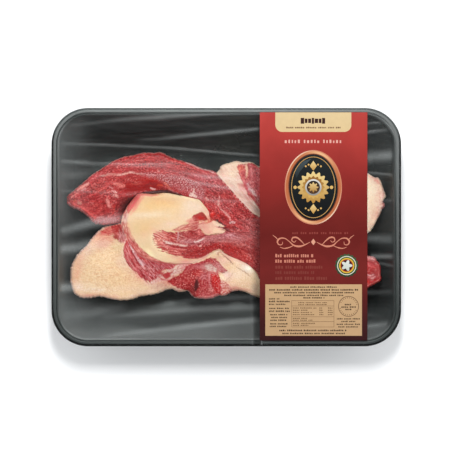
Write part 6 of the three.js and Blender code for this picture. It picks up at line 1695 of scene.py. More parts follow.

# ------------------------------------------------------------------ film
# Tension wrinkles, each a soft beam of white haze that paints the light the wrinkle reflects: points,
# haze at even stations along it, half-width in squares at even stations, and lift in mm.
WRINKLES = [
    ([(66, 125.5), (100, 121.6), (130, 118.7), (150, 117.2), (180, 115.2), (200, 114), (230, 112.4), (262, 111.8)],
     (0.006, 0.024, 0.040, 0.066, 0.086, 0.090, 0.084, 0.07, 0.06), (1.8, 2.0, 2.3, 1.7, 1.4), 0.02),
    ([(112, 163.6), (130, 164.4), (150, 165.2), (172, 167.4), (190, 170)], (0.0, 0.022, 0.024, 0.016, 0.0), (1.5,), 0.1),
    ([(150, 167.4), (172, 170.8), (190, 173.8), (205, 176.2), (218, 177), (232, 178.8), (241, 180.6), (254, 182)],
     (0.0, 0.030, 0.045, 0.080, 0.100, 0.078, 0.064, 0.0), (1.9,), 0.1),
    ([(160, 174), (178, 177), (192, 181), (205, 184), (214, 185.6), (223, 187), (232, 188.6), (244, 190.8), (254, 191.6)],
     (0.0, 0.036, 0.055, 0.090, 0.100, 0.095, 0.070, 0.0), (1.9,), 0.1),
    ([(176, 185), (196, 187.6), (214, 191), (232, 195)], (0.0, 0.016, 0.018, 0.010, 0.0), (1.3,), 0.1),
    ([(194, 198), (205, 199.2), (214, 200), (223, 200.2), (232, 201), (241, 200.8), (256, 201.4)],
     (0.0, 0.050, 0.055, 0.050, 0.050, 0.030, 0.014), (1.7,), 0.1),
    ([(222, 221.4), (240, 220.6), (262, 219.4)], (0.0, 0.018, 0.022), (1.6,), 0.1),
    ([(236, 234.6), (250, 233.4), (262, 232.6)], (0.0, 0.014, 0.018), (1.8,), 0.1),
    ([(130, 140.2), (150, 139.4), (180, 136.4), (200, 134.3), (220, 132.2), (262, 128.2)],
     (0.0, 0.022, 0.052, 0.072, 0.092, 0.090, 0.066), (1.6, 1.8, 1.85, 1.6), 0.12),
    ([(57, 143.6), (76, 143.7), (100, 144.8), (130, 146), (160, 147.3), (180, 148.7), (200, 150.6), (222, 152.3), (262, 155.9)],
     (0.02, 0.046, 0.046, 0.050, 0.050, 0.052, 0.064, 0.056, 0.038), (1.4, 1.4, 1.2, 1.1), 0.2),
    ([(57, 160.8), (74, 162), (90, 163.2), (107, 164.4), (140, 165.6), (182, 164.6)],
     (0.03, 0.078, 0.034, 0.036, 0.046, 0.032, 0.0), (1.8, 2.0, 2.2), 0.35),
    ([(60, 173), (74, 175), (88, 173.4), (102, 166)], (0.0, 0.018, 0.022, 0.010, 0.0), (5.0,), 0.02),
    ([(57, 176), (75, 174.5), (98, 171)], (0.012, 0.016, 0.0), (4.0,), 0.2),
    ([(58, 190.6), (75, 191), (100, 192), (125, 194), (150, 194)], (0.02, 0.038, 0.038, 0.034, 0.010), (1.3, 1.6), 0.1),
    ([(57, 231), (66, 229.6), (75, 226.8), (84, 224.4), (97, 221.6), (120, 218.6), (150, 215), (172, 212)],
     (0.054, 0.082, 0.108, 0.104, 0.076, 0.058, 0.034, 0.0), (3.4, 4.6, 4.2, 3.0), 0.45),
    ([(57, 249.4), (67, 248.2), (80, 246.2), (100, 241.5), (118, 237)], (0.090, 0.105, 0.080, 0.034, 0.0), (4.2, 4.8, 4.4), 0.45),
    ([(57, 287.6), (62, 287.4), (72, 287), (92, 285.6), (112, 283)], (0.130, 0.110, 0.064, 0.028, 0.0), (4.2, 4.0), 0.4),
    ([(62, 316), (78, 314.6), (92, 312.8), (110, 309.4), (130, 305)], (0.020, 0.034, 0.034, 0.020, 0.0), (5.0, 4.4), 0.3),
    ([(148, 308.4), (165, 304.4), (182, 301.4), (200, 299)], (0.0, 0.026, 0.024, 0.0), (2.2, 2.4), 0.2),
    ([(98, 318), (110, 316.9), (128, 314.8), (150, 312.4), (182, 309.9), (200, 309.0), (230, 307.8), (262, 306.4)],
     (0.010, 0.024, 0.048, 0.060, 0.064, 0.058, 0.050, 0.044, 0.038), (2.0, 3.2, 3.2, 3.0), 0.35),
    ([(94, 339), (113, 335.4), (131, 332.5), (149, 330.5), (167, 328.3), (185, 326.1), (203, 324.2), (222, 322.2), (262, 318.8)],
     (0.020, 0.050, 0.062, 0.074, 0.086, 0.092, 0.090, 0.080, 0.062), (2.2, 2.6, 2.8, 2.8), 0.45),
    ([(196, 299.8), (212, 298.6), (228, 297.6), (244, 296.9), (257, 297)], (0.0, 0.016, 0.026, 0.026, 0.012), (2.6,), 0.05),
    ([(364, 123.6), (378, 123), (388, 121.6)], (0.026, 0.024, 0.0), (1.4,), 0.2),
    ([(364, 132.4), (380, 130.8), (395, 128.4)], (0.054, 0.044, 0.016), (1.5,), 0.3),
    ([(364, 157.2), (376, 156), (386, 155.4), (396, 154.4)], (0.082, 0.094, 0.108, 0.108), (4.6, 4.6), 0.45),
    ([(366, 172.5), (380, 173.5), (395, 175)], (0.04, 0.05, 0.05), (1.2,), 0.2),
    ([(374, 200.5), (395, 200)], (0.016, 0.03), (1.8,), 0.2),
    ([(364, 238), (380, 238.4), (396, 239.4)], (0.048, 0.050, 0.052), (3.6, 4.6), 0.35),
    ([(370, 256), (380, 256), (396, 256)], (0.060, 0.072, 0.072), (2.1,), 0.3),
    ([(378, 262.5), (396, 266.5)], (0.03, 0.04), (1.3,), 0.2),
    ([(364, 292.4), (380, 292), (396, 291.4)], (0.024, 0.020, 0.018), (2.2,), 0.25),
    ([(364, 314.6), (384, 315.6)], (0.018, 0.006), (1.6,), 0.15),
    ([(364, 326.4), (376, 325), (388, 323)], (0.050, 0.044, 0.020), (1.8,), 0.25),
]


def painted_wall_light(px, py):
    """Painted light: white haze on the film over the left, front and lower right walls stands in for the light that
    those walls catch.
    """
    # how far down the left wall the painted light runs, and how strong it is along the side
    run = np.interp(px, [57, 59, 62, 65, 68, 72, 77, 82, 87, 92, 97], [0.9, 1.0, 0.86, 0.7, 0.6, 0.5, 0.44, 0.32, 0.18, 0.06, 0.0])
    side = np.interp(py, [108, 130, 142, 154, 178, 202, 214, 226, 238, 250, 262, 274, 286, 298, 310, 322, 336],
                     [0.036, 0.050, 0.062, 0.058, 0.066, 0.056, 0.046, 0.040, 0.030, 0.034, 0.029, 0.016, 0.024, 0.048, 0.060, 0.056, 0.05])
    left = side * run
    y10 = np.interp(px, [60, 98, 128, 150, 182, 200, 230, 262], [305, 310, 314.8, 312.4, 309.9, 309.0, 307.8, 306.4])
    y11 = np.interp(px, [60, 94, 113, 131, 149, 167, 185, 203, 222, 262], [337, 336, 334.4, 332.5, 330.5, 328.3, 326.1, 324.2, 322.2, 318.8])
    k = smooth(100, 165, px)
    up = (0.036 - 0.018 * smooth(110, 220, px)) * smooth(-14, 3, py - y10)
    dn = 0.088 - 0.030 * smooth(190, 250, px)
    step = smooth(-(2.0 + 18 * (1 - k)), 2.5, py - y11)
    front = up + (dn - up) * step
    right = 0.012 + 0.050 * smooth(316, 328, py) - 0.012 * smooth(180, 250, py) * (1 - smooth(300, 312, py))
    right = right * (1 - 0.9 * smooth(168, 177, py) * (1 - smooth(196, 205, py)) * smooth(380, 387, px))
    front = front * (px < 262) + right * (px > 364)
    return left + front * (1 - 0.4 * run)


def build_film():
    inset = 0.9
    L, W, R = TRAY_L / 2 - inset, TRAY_W / 2 - inset, RIM_R - inset
    nx, ny = ((230, 440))
    t = np.linspace(-1, 1, nx)
    xs = np.sign(t) * (1 - (1 - np.abs(t)) ** 1.25) * L
    half = np.where(np.abs(xs) > L - R, W - R + np.sqrt(np.maximum(0, R * R - (np.abs(xs) - (L - R)) ** 2)), W)
    v = np.linspace(-1, 1, ny)
    X = np.repeat(xs[:, None], ny, 1)
    Y = half[:, None] * v[None, :]
    x, y = X.ravel(), Y.ravel()
    px, py = to_px(x, y)
    haze = np.zeros(len(x))
    lift = np.zeros(len(x))
    brim = np.zeros(len(x))      # the first wrinkle lies right against the rim
    for k, (pts, amp, wid, h) in enumerate(WRINKLES):
        reach = max(wid) * 2.6 + 1
        wy = py + 0.22 * vnoise(px / 24.0, py / 14.0, 60 + k)
        d, s, _ = near_line(spline(pts, 2.5), px, wy, reach)
        w = np.interp(s, np.linspace(0, 1, len(wid)), wid) if len(wid) > 1 else wid[0]
        prof = np.where(d >= reach, 0, np.exp(-(d / w) ** 2))
        ends = smooth(0, 0.05, s) * smooth(0, 0.05, 1 - s)
        a = np.interp(s, np.linspace(0, 1, len(amp)), amp) * (1 + 0.15 * vnoise(px / 16.0, py / 16.0, 90 + k))
        if k == 0:
            brim += a * prof * ends
        else:
            haze += a * prof * ends
        lift += 0.45 * h * prof * ends
    # distance in from the film's edge
    qx, qy = np.abs(x) - (TRAY_L / 2 - RIM_R), np.abs(y) - (TRAY_W / 2 - RIM_R)
    out = np.hypot(np.maximum(qx, 0), np.maximum(qy, 0)) + np.minimum(np.maximum(qx, qy), 0) - RIM_R
    d_in = -out
    free = smooth(4.6, 9.0, d_in)
    seal = 1 - smooth(3.4, 4.4, d_in)
    faint = 0.0035 * np.clip(0.5 + 1.5 * fbm(px / 40.0, py / 3.5, 77, 3), 0, 1)
    # painted light over the left and front walls
    milky = painted_wall_light(px, py) * (1 + 0.10 * fbm(px / 40.0, py / 6.0, 78, 2))
    rise = 0.12 * smooth(4.6, 20.0, d_in)
    over_x = np.maximum(qx, 0) * np.sign(x)
    over_y = np.maximum(qy, 0) * np.sign(y)
    both = np.maximum(np.hypot(over_x, over_y), 1e-6)
    inner = (qx < 0) & (qy < 0)
    fx = np.where(inner, np.where(qx > qy, np.sign(x), 0), over_x / both)
    fy = np.where(inner, np.where(qx > qy, 0, np.sign(y)), over_y / both)
    reach_out = np.maximum(smooth(0.3, 0.9, -fy), 0.8 * smooth(0.3, 0.9, -fx))
    free_m = free + (smooth(5.0, 6.6, d_in) - free) * reach_out
    haze = haze * free + brim * smooth(4.2, 5.2, d_in) + faint * free + milky * free_m + 0.006 * seal * smooth(1.2, 2.0, d_in)
    # beside the label's left edge the film carries a painted soft shade
    shade = np.interp(px, [249.5, 251.5, 253.5, 254.5, 255.5, 256.5, 258], [0.0, 0.06, 0.14, 0.22, 0.29, 0.34, 0.36])
    shade = shade * (px < 262) * free * smooth(190, 208, py) * (1 + 0.3 * smooth(290, 300, py))
    low = (0.12 * smooth(280, 286, py) + 0.24 * smooth(292, 298, py)) * smooth(251.5, 254.5, px) * (px < 262)
    shade = 1 - (1 - shade) * (1 - low)
    # a painted highlight line where it bends over the inner lip, strongest in front and on the left, with more on the
    # upper parts of the left and right lips
    lip = np.exp(-((d_in - 5.45) / 0.62) ** 2) * (0.010 + (0.070 + 0.050 * smooth(-50, -90, x)) * smooth(0.3, 0.9, -fy) + 0.030 * smooth(0.3, 0.9, -fx)
                                                  + 0.05 * smooth(0.25, 0.6, fx) * smooth(0.25, 0.6, fy))
    lip = lip + np.exp(-((d_in - 5.1) / 0.7) ** 2) * 0.075 * smooth(8, 72, y) * smooth(0.3, 0.9, -fx) * (1 - smooth(0.4, 0.9, fy))
    lip = lip + np.exp(-((d_in - 4.2) / 0.6) ** 2) * 0.075 * smooth(8, 60, y) * smooth(0.3, 0.9, fx) * (1 - smooth(0.4, 0.9, fy))
    haze = haze + lip * (1 - smooth(6.6, 7.3, d_in))
    cover = 1 - (1 - haze) * (1 - shade)
    tone = 0.94 * haze * (1 - shade) / np.maximum(cover, 1e-4)
    z = TRAY_H + 0.05 + rise + lift * free + 0.10 * free * fbm(px / 26.0, py / 7.0, 71, 2)
    # under and round the label the film lies flat
    lab = smooth(-2.5, 0.0, px - 259.5) * smooth(-2.5, 0.0, 366.5 - px)
    z = z * (1 - lab) + (TRAY_H + 0.05 + rise) * lab
    z = np.where(d_in < 4.6, TRAY_H + 0.05, z)
    co = np.stack([x, y, z], 1)
    i, j = np.meshgrid(np.arange(nx - 1), np.arange(ny - 1), indexing="ij")
    a = (i * ny + j).ravel()
    quads = np.stack([a, a + ny, a + ny + 1, a + 1], 1)
    # a flat back sheet 0.05 mm under the front closes the film
    ring = np.concatenate([np.arange(nx) * ny, (nx - 1) * ny + np.arange(1, ny),
                           (np.arange(nx - 2, -1, -1)) * ny + ny - 1, np.arange(ny - 2, 0, -1)])
    nb = len(ring)
    low = co[ring].copy()
    low[:, 2] -= 0.05
    ob_co = np.vstack([co, low])
    b = len(co) + np.arange(nb)
    side = np.stack([ring, b, np.roll(b, -1), np.roll(ring, -1)], 1)
    me = bpy.data.meshes.new("clear_film")
    faces = [tuple(q) for q in quads] + [tuple(q) for q in side] + [tuple(b[::-1])]
    me.from_pydata([tuple(p) for p in ob_co * MM], [], faces)
    me.update()
    sm = np.ones(len(faces), bool)
    sm[len(quads):] = False
    me.polygons.foreach_set("use_smooth", sm)
    ob = bpy.data.objects.new("clear_film", me)
    scene.collection.objects.link(ob)
    set_float(ob, "haze", np.concatenate([np.clip(cover, 0, 0.9), np.zeros(nb)]))
    set_float(ob, "milk", np.concatenate([np.clip(tone, 0, 0.94), np.zeros(nb)]))
    # the front sheet carries gloss, haze and the painted light and shade; the sides and the back sheet are clear
    ob.data.polygons.foreach_set("material_index", np.r_[np.zeros(len(quads), np.int32), np.ones(len(faces) - len(quads), np.int32)])
    return ob


film = build_film()
fmat = Mat("clear_film")
fa = fmat.n("Attribute", _attribute_name="haze", _attribute_type="GEOMETRY")
ftr = fmat.n("BsdfTransparent", Color=(0.985, 0.99, 0.99, 1))
fdf = fmat.n("BsdfDiffuse")
fmk = fmat.n("Attribute", _attribute_name="milk", _attribute_type="GEOMETRY")
fcc = fmat.n("CombineColor")
for i, k in enumerate((0.965, 1.015, 1.0)):
    fml = fmat.n("Math", _operation="MULTIPLY")
    fml.inputs[1].default_value = k
    fmat.l(fmk.outputs["Fac"], fml.inputs[0])
    fmat.l(fml.outputs[0], fcc.inputs[i])
fmat.l(fcc.outputs[0], fdf.inputs["Color"])
fgl = fmat.n("BsdfAnisotropic", Color=(1, 1, 1, 1), Roughness=0.22)
flw = fmat.n("LayerWeight", Blend=0.5)
fpw = fmat.n("Math", _operation="POWER")
fpw.inputs[1].default_value = 4.0
fmat.l(flw.outputs["Facing"], fpw.inputs[0])
ffr = fmat.n("Math", _operation="MULTIPLY_ADD")
ffr.inputs[1].default_value, ffr.inputs[2].default_value = 0.5, 0.014
fmat.l(fpw.outputs[0], ffr.inputs[0])
mx1 = fmat.n("MixShader")
mx2 = fmat.n("MixShader")
fmat.l(fa.outputs["Fac"], mx1.inputs[0])
fmat.l(ftr.outputs[0], mx1.inputs[1])
fmat.l(fdf.outputs[0], mx1.inputs[2])
fmat.l(ffr.outputs[0], mx2.inputs[0])
fmat.l(mx1.outputs[0], mx2.inputs[1])
fmat.l(fgl.outputs[0], mx2.inputs[2])
fmat.l(mx2.outputs[0], fmat.out.inputs[0])
film.data.materials.append(fmat.m)
fclear = Mat("clear_film_back")
fct = fclear.n("BsdfTransparent", Color=(0.99, 0.993, 0.993, 1))
fclear.l(fct.outputs[0], fclear.out.inputs[0])
film.data.materials.append(fclear.m)
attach(film, "root")
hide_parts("film")

# ------------------------------------------------------------------ label
LZ = TRAY_H + 0.62
PRINT = 0.6     # the drawn tones over the light that falls on the label


def flat_piece(name, outline_px, z0, z1, mat, holes=()):
    """A thin closed plate with the drawn outline."""
    p = to_mm(np.asarray(outline_px, float))
    if np.sum(p[:, 0] * np.roll(p[:, 1], -1) - np.roll(p[:, 0], -1) * p[:, 1]) < 0:
        p = p[::-1]
    n = len(p)
    verts = [(a[0] * MM, a[1] * MM, z1 * MM) for a in p] + [(a[0] * MM, a[1] * MM, z0 * MM) for a in p]
    faces = [tuple(range(n)), tuple(range(2 * n - 1, n - 1, -1))]
    faces += [(i, i + n, (i + 1) % n + n, (i + 1) % n) for i in range(n)]
    ob = make_mesh(name, verts, faces, False)
    ob.data.materials.append(mat)
    return ob


label_mat = Mat("label_red_print")
lco = label_mat.n("TexCoord")
lse = label_mat.n("SeparateXYZ")
label_mat.l(lco.outputs["Object"], lse.inputs[0])
lmr = label_mat.n("MapRange")
lmr.inputs["From Min"].default_value, lmr.inputs["From Max"].default_value = 0.0866, -0.0854
label_mat.l(lse.outputs["Y"], lmr.inputs["Value"])
lr = label_mat.n("ValToRGB")
label_mat.l(lmr.outputs[0], lr.inputs[0])
stops = [(0.0, (198, 72, 66)), (0.1, (188, 64, 58)), (0.18, (171, 56, 51)), (0.27, (155, 47, 43)), (0.36, (139, 41, 37)),
         (0.45, (124, 37, 33)), (0.54, (112, 32, 29)), (0.62, (115, 35, 32)), (0.69, (122, 38, 35)), (0.745, (117, 37, 34)), (0.80, (96, 31, 30)),
         (0.92, (68, 27, 28)), (1.0, (56, 24, 26))]
el = lr.color_ramp.elements
el[0].position, el[0].color = stops[0][0], (*(lin(stops[0][1]) * PRINT), 1)
el[1].position, el[1].color = stops[-1][0], (*(lin(stops[-1][1]) * PRINT), 1)
for pos, c in stops[1:-1]:
    k = el.new(pos)
    k.color = (*(lin(c) * PRINT), 1)
# a faint smoky figure in the red, and the coated paper's fine tooth
lns = label_mat.n("TexNoise", Scale=26.0, Detail=3.0, Roughness=0.55, Distortion=1.6)
label_mat.l(lco.outputs["Object"], lns.inputs["Vector"])
lnm = label_mat.n("MapRange")
lnm.inputs["To Min"].default_value, lnm.inputs["To Max"].default_value = 0.80, 1.20
label_mat.l(lns.outputs["Fac"], lnm.inputs["Value"])
lvm = label_mat.n("VectorMath", _operation="SCALE")
label_mat.l(lr.outputs[0], lvm.inputs[0])
label_mat.l(lnm.outputs[0], lvm.inputs["Scale"])
lb = label_mat.n("BsdfPrincipled", Roughness=0.6)
lb.inputs["Specular IOR Level"].default_value = 0.05
label_mat.l(lvm.outputs[0], lb.inputs["Base Color"])
ltn = label_mat.n("TexNoise", Scale=2400.0, Detail=2.0)
label_mat.l(lco.outputs["Object"], ltn.inputs["Vector"])
lbu = label_mat.n("Bump", Strength=0.08, Distance=0.0001)
label_mat.l(ltn.outputs["Fac"], lbu.inputs["Height"])
label_mat.l(lbu.outputs[0], lb.inputs["Normal"])
label_mat.l(lb.outputs[0], label_mat.out.inputs[0])

label = flat_piece("label_band", [(259.5, 112), (367, 112), (367, 340), (259.5, 340)], LZ, LZ + 0.25, label_mat.m)
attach(label, "root")
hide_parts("label")

ink_mat = Mat("label_inks")
iat = ink_mat.n("Attribute", _attribute_name="ink", _attribute_type="GEOMETRY")
ico = ink_mat.n("TexCoord")
ins = ink_mat.n("TexNoise", Scale=300.0, Detail=3.0)
ink_mat.l(ico.outputs["Object"], ins.inputs["Vector"])
inm = ink_mat.n("MapRange")
inm.inputs["To Min"].default_value, inm.inputs["To Max"].default_value = 0.94, 1.06
ink_mat.l(ins.outputs["Fac"], inm.inputs["Value"])
ivm = ink_mat.n("VectorMath", _operation="SCALE")
ink_mat.l(iat.outputs["Color"], ivm.inputs[0])
ink_mat.l(inm.outputs[0], ivm.inputs["Scale"])
ib = ink_mat.n("BsdfPrincipled", Roughness=0.55)
ib.inputs["Specular IOR Level"].default_value = 0.05
ink_mat.l(ivm.outputs[0], ib.inputs["Base Color"])
ink_mat.l(ib.outputs[0], ink_mat.out.inputs[0])


class Inks:
    """Printed fields: thin closed plates, each level a little prouder of the label than the last."""

    def __init__(self):
        self.co, self.faces, self.ink = [], [], []

    def plate(self, pts, level, rgb, rgb2=None):
        """One field; two tones make it run from its upper to its lower end."""
        p = np.asarray(pts, float)
        m = to_mm(p)
        if np.sum(m[:, 0] * np.roll(m[:, 1], -1) - np.roll(m[:, 0], -1) * m[:, 1]) < 0:
            m, p = m[::-1], p[::-1]
        n, b = len(m), len(self.co)
        t = (p[:, 1] - p[:, 1].min()) / max(np.ptp(p[:, 1]), 1e-6)
        tone = lin(rgb)[None] + (lin(rgb2 if rgb2 is not None else rgb) - lin(rgb))[None] * t[:, None]
        for z in (LZ + 0.25 + 0.02 * level, LZ + 0.19):
            self.co += [(a[0], a[1], z) for a in m]
            self.ink += list(tone * PRINT)
        self.faces += [tuple(range(b, b + n)), tuple(range(b + 2 * n - 1, b + n - 1, -1))]
        self.faces += [(b + i, b + i + n, b + (i + 1) % n + n, b + (i + 1) % n) for i in range(n)]

    def band(self, outer, inner, level, tones):
        """The field between two outlines with as many points, its tone given for each point."""
        o, q = to_mm(np.asarray(outer, float)), to_mm(np.asarray(inner, float))
        if np.sum(o[:, 0] * np.roll(o[:, 1], -1) - np.roll(o[:, 0], -1) * o[:, 1]) < 0:
            o, q, tones = o[::-1], q[::-1], np.asarray(tones)[::-1]
        n, b = len(o), len(self.co)
        z1, z0 = LZ + 0.25 + 0.02 * level, LZ + 0.19
        for ring, z in ((o, z1), (q, z1), (o, z0), (q, z0)):
            self.co += [(a[0], a[1], z) for a in ring]
            self.ink += list(lin(tones) * PRINT)
        for i in range(n):
            j = (i + 1) % n
            a, c, d, e = b + i, b + n + i, b + 2 * n + i, b + 3 * n + i
            a2, c2, d2, e2 = b + j, b + n + j, b + 2 * n + j, b + 3 * n + j
            self.faces += [(a, a2, c2, c), (d, e, e2, d2), (a, d, d2, a2), (c, c2, e2, e)]

    def line(self, pts, w, level, rgb, step=0.7, closed=False):
        """A drawn line as one closed strip; w is its half-width, one or several along it."""
        c = spline(pts, step, closed)
        t = np.roll(c, -1, 0) - np.roll(c, 1, 0) if closed else np.gradient(c, axis=0)
        t /= np.maximum(np.linalg.norm(t, axis=1), 1e-9)[:, None]
        nrm = np.stack([-t[:, 1], t[:, 0]], 1)
        w = np.atleast_1d(np.asarray(w, float))
        ww = np.interp(np.linspace(0, 1, len(c)), np.linspace(0, 1, len(w)), w)[:, None]
        if closed:
            self.band(c + nrm * ww, c - nrm * ww, level, np.tile(rgb, (len(c), 1)))
        else:
            self.plate(np.vstack([c + nrm * ww, (c - nrm * ww)[::-1]]), level, rgb)

    def bar(self, x0, y0, x1, y1, level, rgb):
        self.plate([(x0, y0), (x1, y0), (x1, y1), (x0, y1)], level, rgb)

    def marks(self, x0, x1, y, h, level, rgb, seed, w=(0.9, 1.9), gap=0.55, word=(3, 8), space=1.6):
        """A row of small bars in groups, which stands for a line of small print and spells nothing."""
        x, k, left = x0, 0, word[0]
        while x < x1 - w[0]:
            r = [float(_hash(np.array([k]), np.array([seed]), 7 + q)[0]) / 4294967296.0 for q in range(3)]
            ww = w[0] + (w[1] - w[0]) * r[0]
            hh = h * (0.72 + 0.28 * r[1])
            self.bar(x, y + h / 2 - hh, min(x + ww, x1), y + h / 2, level, rgb)
            x += ww + gap
            k += 1
            left -= 1
            if left <= 0:
                x += space
                left = word[0] + int(r[2] * (word[1] - word[0] + 1))

    def done(self, name):
        ob = make_mesh(name, np.array(self.co) * MM, self.faces, False)
        set_color(ob, "ink", np.clip(np.array(self.ink), 0, 1))
        ob.data.materials.append(ink_mat.m)
        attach(ob, "root")
        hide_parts("label")
        return ob


def oval(cx, cy, rx, ry, n=64, lobes=0, depth=0.0, turn=0.0):
    a = np.arange(n) * 2 * math.pi / n + turn
    k = 1 + depth * np.cos(lobes * a) if lobes else np.ones(n)
    return np.stack([cx + rx * k * np.cos(a), cy + ry * k * np.sin(a)], 1)


def print_tab():
    k = Inks()
    x0, x1, y0, y1, r = 275.0, 351.0, 112.05, 131.6, 7.0
    left = [(x0 + r - r * math.sin(t), y1 - r + r * math.cos(t)) for t in np.linspace(0, math.pi / 2, 9)]
    right = [(x1 - r + r * math.sin(t), y1 - r + r * math.cos(t)) for t in np.linspace(math.pi / 2, 0, 9)]
    k.plate([(x0, y0), (x1, y0)] + right + left, 1, (236, 209, 160), (234, 205, 154))
    # a row of plain rounded blocks, and a dotted line under it
    x = 300.4
    for i, w in enumerate((3.4, 2.6, 3.0, 2.2, 3.4, 2.6, 3.0)):
        hh = 2.9 if i % 3 == 0 else 2.2
        k.bar(x, 120.5 - hh, x + w, 120.5 + hh, 2, (66, 40, 37))
        x += w + 0.7
    k.marks(286, 341, 127.2, 1.7, 2, (120, 84, 62), 3, w=(0.8, 1.5), gap=0.6, word=(4, 9), space=1.3)
    # a spaced row of small bars under the tab
    k.marks(284.4, 342, 141.0, 3.4, 1, (244, 182, 168), 11, w=(1.2, 2.1), gap=1.7, word=(5, 8), space=2.4)
    return k.done("label_tab_print")


def print_plaque():
    """An oval plaque: a copper and gold frame, a black field and a gold rosette."""
    k = Inks()
    cx, cy = 313.0, 187.0
    a = np.arange(96) * 2 * math.pi / 96

    def gold(base, glint, ph, power=3.0):
        t = (0.5 + 0.5 * np.cos(2 * (a - ph))) ** power
        return np.array(base)[None] + (np.array(glint) - np.array(base))[None] * t[:, None]
    k.band(oval(cx, cy, 28.6, 37.2, 96), oval(cx, cy, 27.5, 36.1, 96), 1, gold((216, 138, 104), (250, 214, 186), 0.9))
    k.band(oval(cx, cy, 27.5, 36.1, 96), oval(cx, cy, 25.2, 33.8, 96), 1, gold((196, 112, 70), (246, 190, 140), 1.9))
    k.band(oval(cx, cy, 25.2, 33.8, 96), oval(cx, cy, 24.2, 32.8, 96), 1, gold((120, 62, 44), (196, 128, 92), 2.5))
    k.plate(oval(cx, cy, 24.3, 32.9, 96), 1, (34, 40, 42), (16, 18, 20))
    k.line(oval(cx, cy, 21.8, 30.4, 60), 0.34, 2, (206, 160, 96), 1.2, True)
    # a sheen over the upper left of the black
    k.plate([(294.5, 172), (298, 165.4), (303.5, 160.6), (311, 158.4), (305, 164.6), (299.4, 171.4), (296, 178)], 2, (72, 84, 88), (40, 47, 50))
    k.plate(oval(cx, cy, 14.6, 14.6, 144, 16, 0.10), 3, (246, 218, 148), (190, 138, 60))
    k.plate(oval(cx, cy, 10.6, 10.6, 144, 16, 0.07, math.pi / 16), 4, (150, 98, 40), (222, 178, 98))
    k.plate(oval(cx, cy, 8.2, 8.2, 64), 5, (236, 232, 224), (150, 146, 142))
    k.plate(oval(cx, cy, 6.6, 6.6, 64), 6, (44, 36, 32), (88, 60, 42))
    k.plate(oval(cx, cy, 4.2, 4.2, 72, 8, 0.24), 7, (238, 206, 140), (176, 124, 56))
    for s in (-1, 1):
        k.plate([(cx, cy + s * 26.5), (cx + 3.6, cy + s * 21.4), (cx, cy + s * 16.6), (cx - 3.6, cy + s * 21.4)], 3,
                (246, 216, 150), (196, 146, 68))
        k.plate(oval(cx + s * 18.2, cy, 1.7, 1.7, 24), 3, (232, 190, 112))
        for f in (0.62, 1.0):
            k.plate(oval(cx + 7.6 * f, cy + s * (25.6 - 4.6 * f), 0.95, 0.95, 16), 3, (226, 182, 108))
            k.plate(oval(cx - 7.6 * f, cy + s * (25.6 - 4.6 * f), 0.95, 0.95, 16), 3, (226, 182, 108))
    return k.done("label_plaque_print")


def print_middle():
    """The scrolled ornament, the rows of small bars and the round seal."""
    k = Inks()
    rose, dim = (222, 144, 118), (168, 84, 74)
    k.marks(292, 348, 232.6, 2.2, 1, (150, 68, 60), 17, w=(1.0, 1.7), gap=0.9, word=(3, 6), space=2.0)
    cx, cy = 313.0, 241.6
    for s in (-1, 1):
        f = lambda pts: [(cx + s * x, cy + y) for x, y in pts]
        k.line(f([(3.4, 0.2), (8, 2.6), (13.5, 4.4), (19.5, 3.4), (24, -0.4), (28.6, -3.6), (33.6, -3.4), (36, -0.2), (34.2, 2.8),
                  (31.2, 2.4), (30.6, -0.2)]), [0.25, 0.6, 0.95, 0.7, 0.35, 0.5, 0.85, 0.5, 0.25], 1, rose)
        k.line(f([(9, 2.4), (12.4, -1.2), (16.6, -4.4), (20.6, -4.2), (21.4, -1.2), (18.8, 0.2), (17.2, -1.6)]),
               [0.25, 0.6, 0.8, 0.5, 0.25], 2, rose)
        k.line(f([(19.6, 3.4), (24.4, 5.6), (29.4, 6.4), (33.4, 5.2)]), [0.25, 0.6, 0.2], 2, rose)
        k.line(f([(40.6, -6.8), (37.6, -4.6), (35, -1.8)]), [0.2, 0.45, 0.3], 2, rose)
    k.plate([(cx, cy - 3.2), (cx + 2.3, cy), (cx, cy + 3.2), (cx - 2.3, cy)], 2, (236, 168, 140))
    for i, (y, x1, c) in enumerate(((255.2, 313.6, (216, 138, 116)), (260.6, 316.6, (214, 134, 112)), (266.6, 322, (138, 62, 54)),
                                    (272, 314, (132, 58, 51)), (277.8, 328, (136, 62, 54)))):
        k.marks(275, x1, y, 3.4, 1, c, 21 + i, w=(1.1, 2.2), gap=0.7, word=(3, 8), space=1.7)
    cx, cy = 346.4, 265.2
    k.plate(oval(cx, cy, 11.4, 11.4, 144, 18, 0.045), 1, (66, 92, 62), (44, 66, 46))
    k.band(oval(cx, cy, 9.6, 9.6, 72), oval(cx, cy, 8.7, 8.7, 72), 2, np.tile((226, 226, 204), (72, 1)))
    k.band(oval(cx, cy, 7.6, 7.6, 72), oval(cx, cy, 6.3, 6.3, 72), 2, np.tile((232, 190, 66), (72, 1)))
    k.band(oval(cx, cy, 6.3, 6.3, 72), oval(cx, cy, 5.5, 5.5, 72), 2, np.tile((176, 52, 40), (72, 1)))
    k.plate(oval(cx, cy, 5.5, 5.5, 72), 2, (58, 30, 26))
    k.plate(oval(cx, cy, 4.4, 4.4, 80, 5, 0.30, -math.pi / 2), 3, (236, 240, 232), (206, 214, 202))
    return k.done("label_ornament_print")


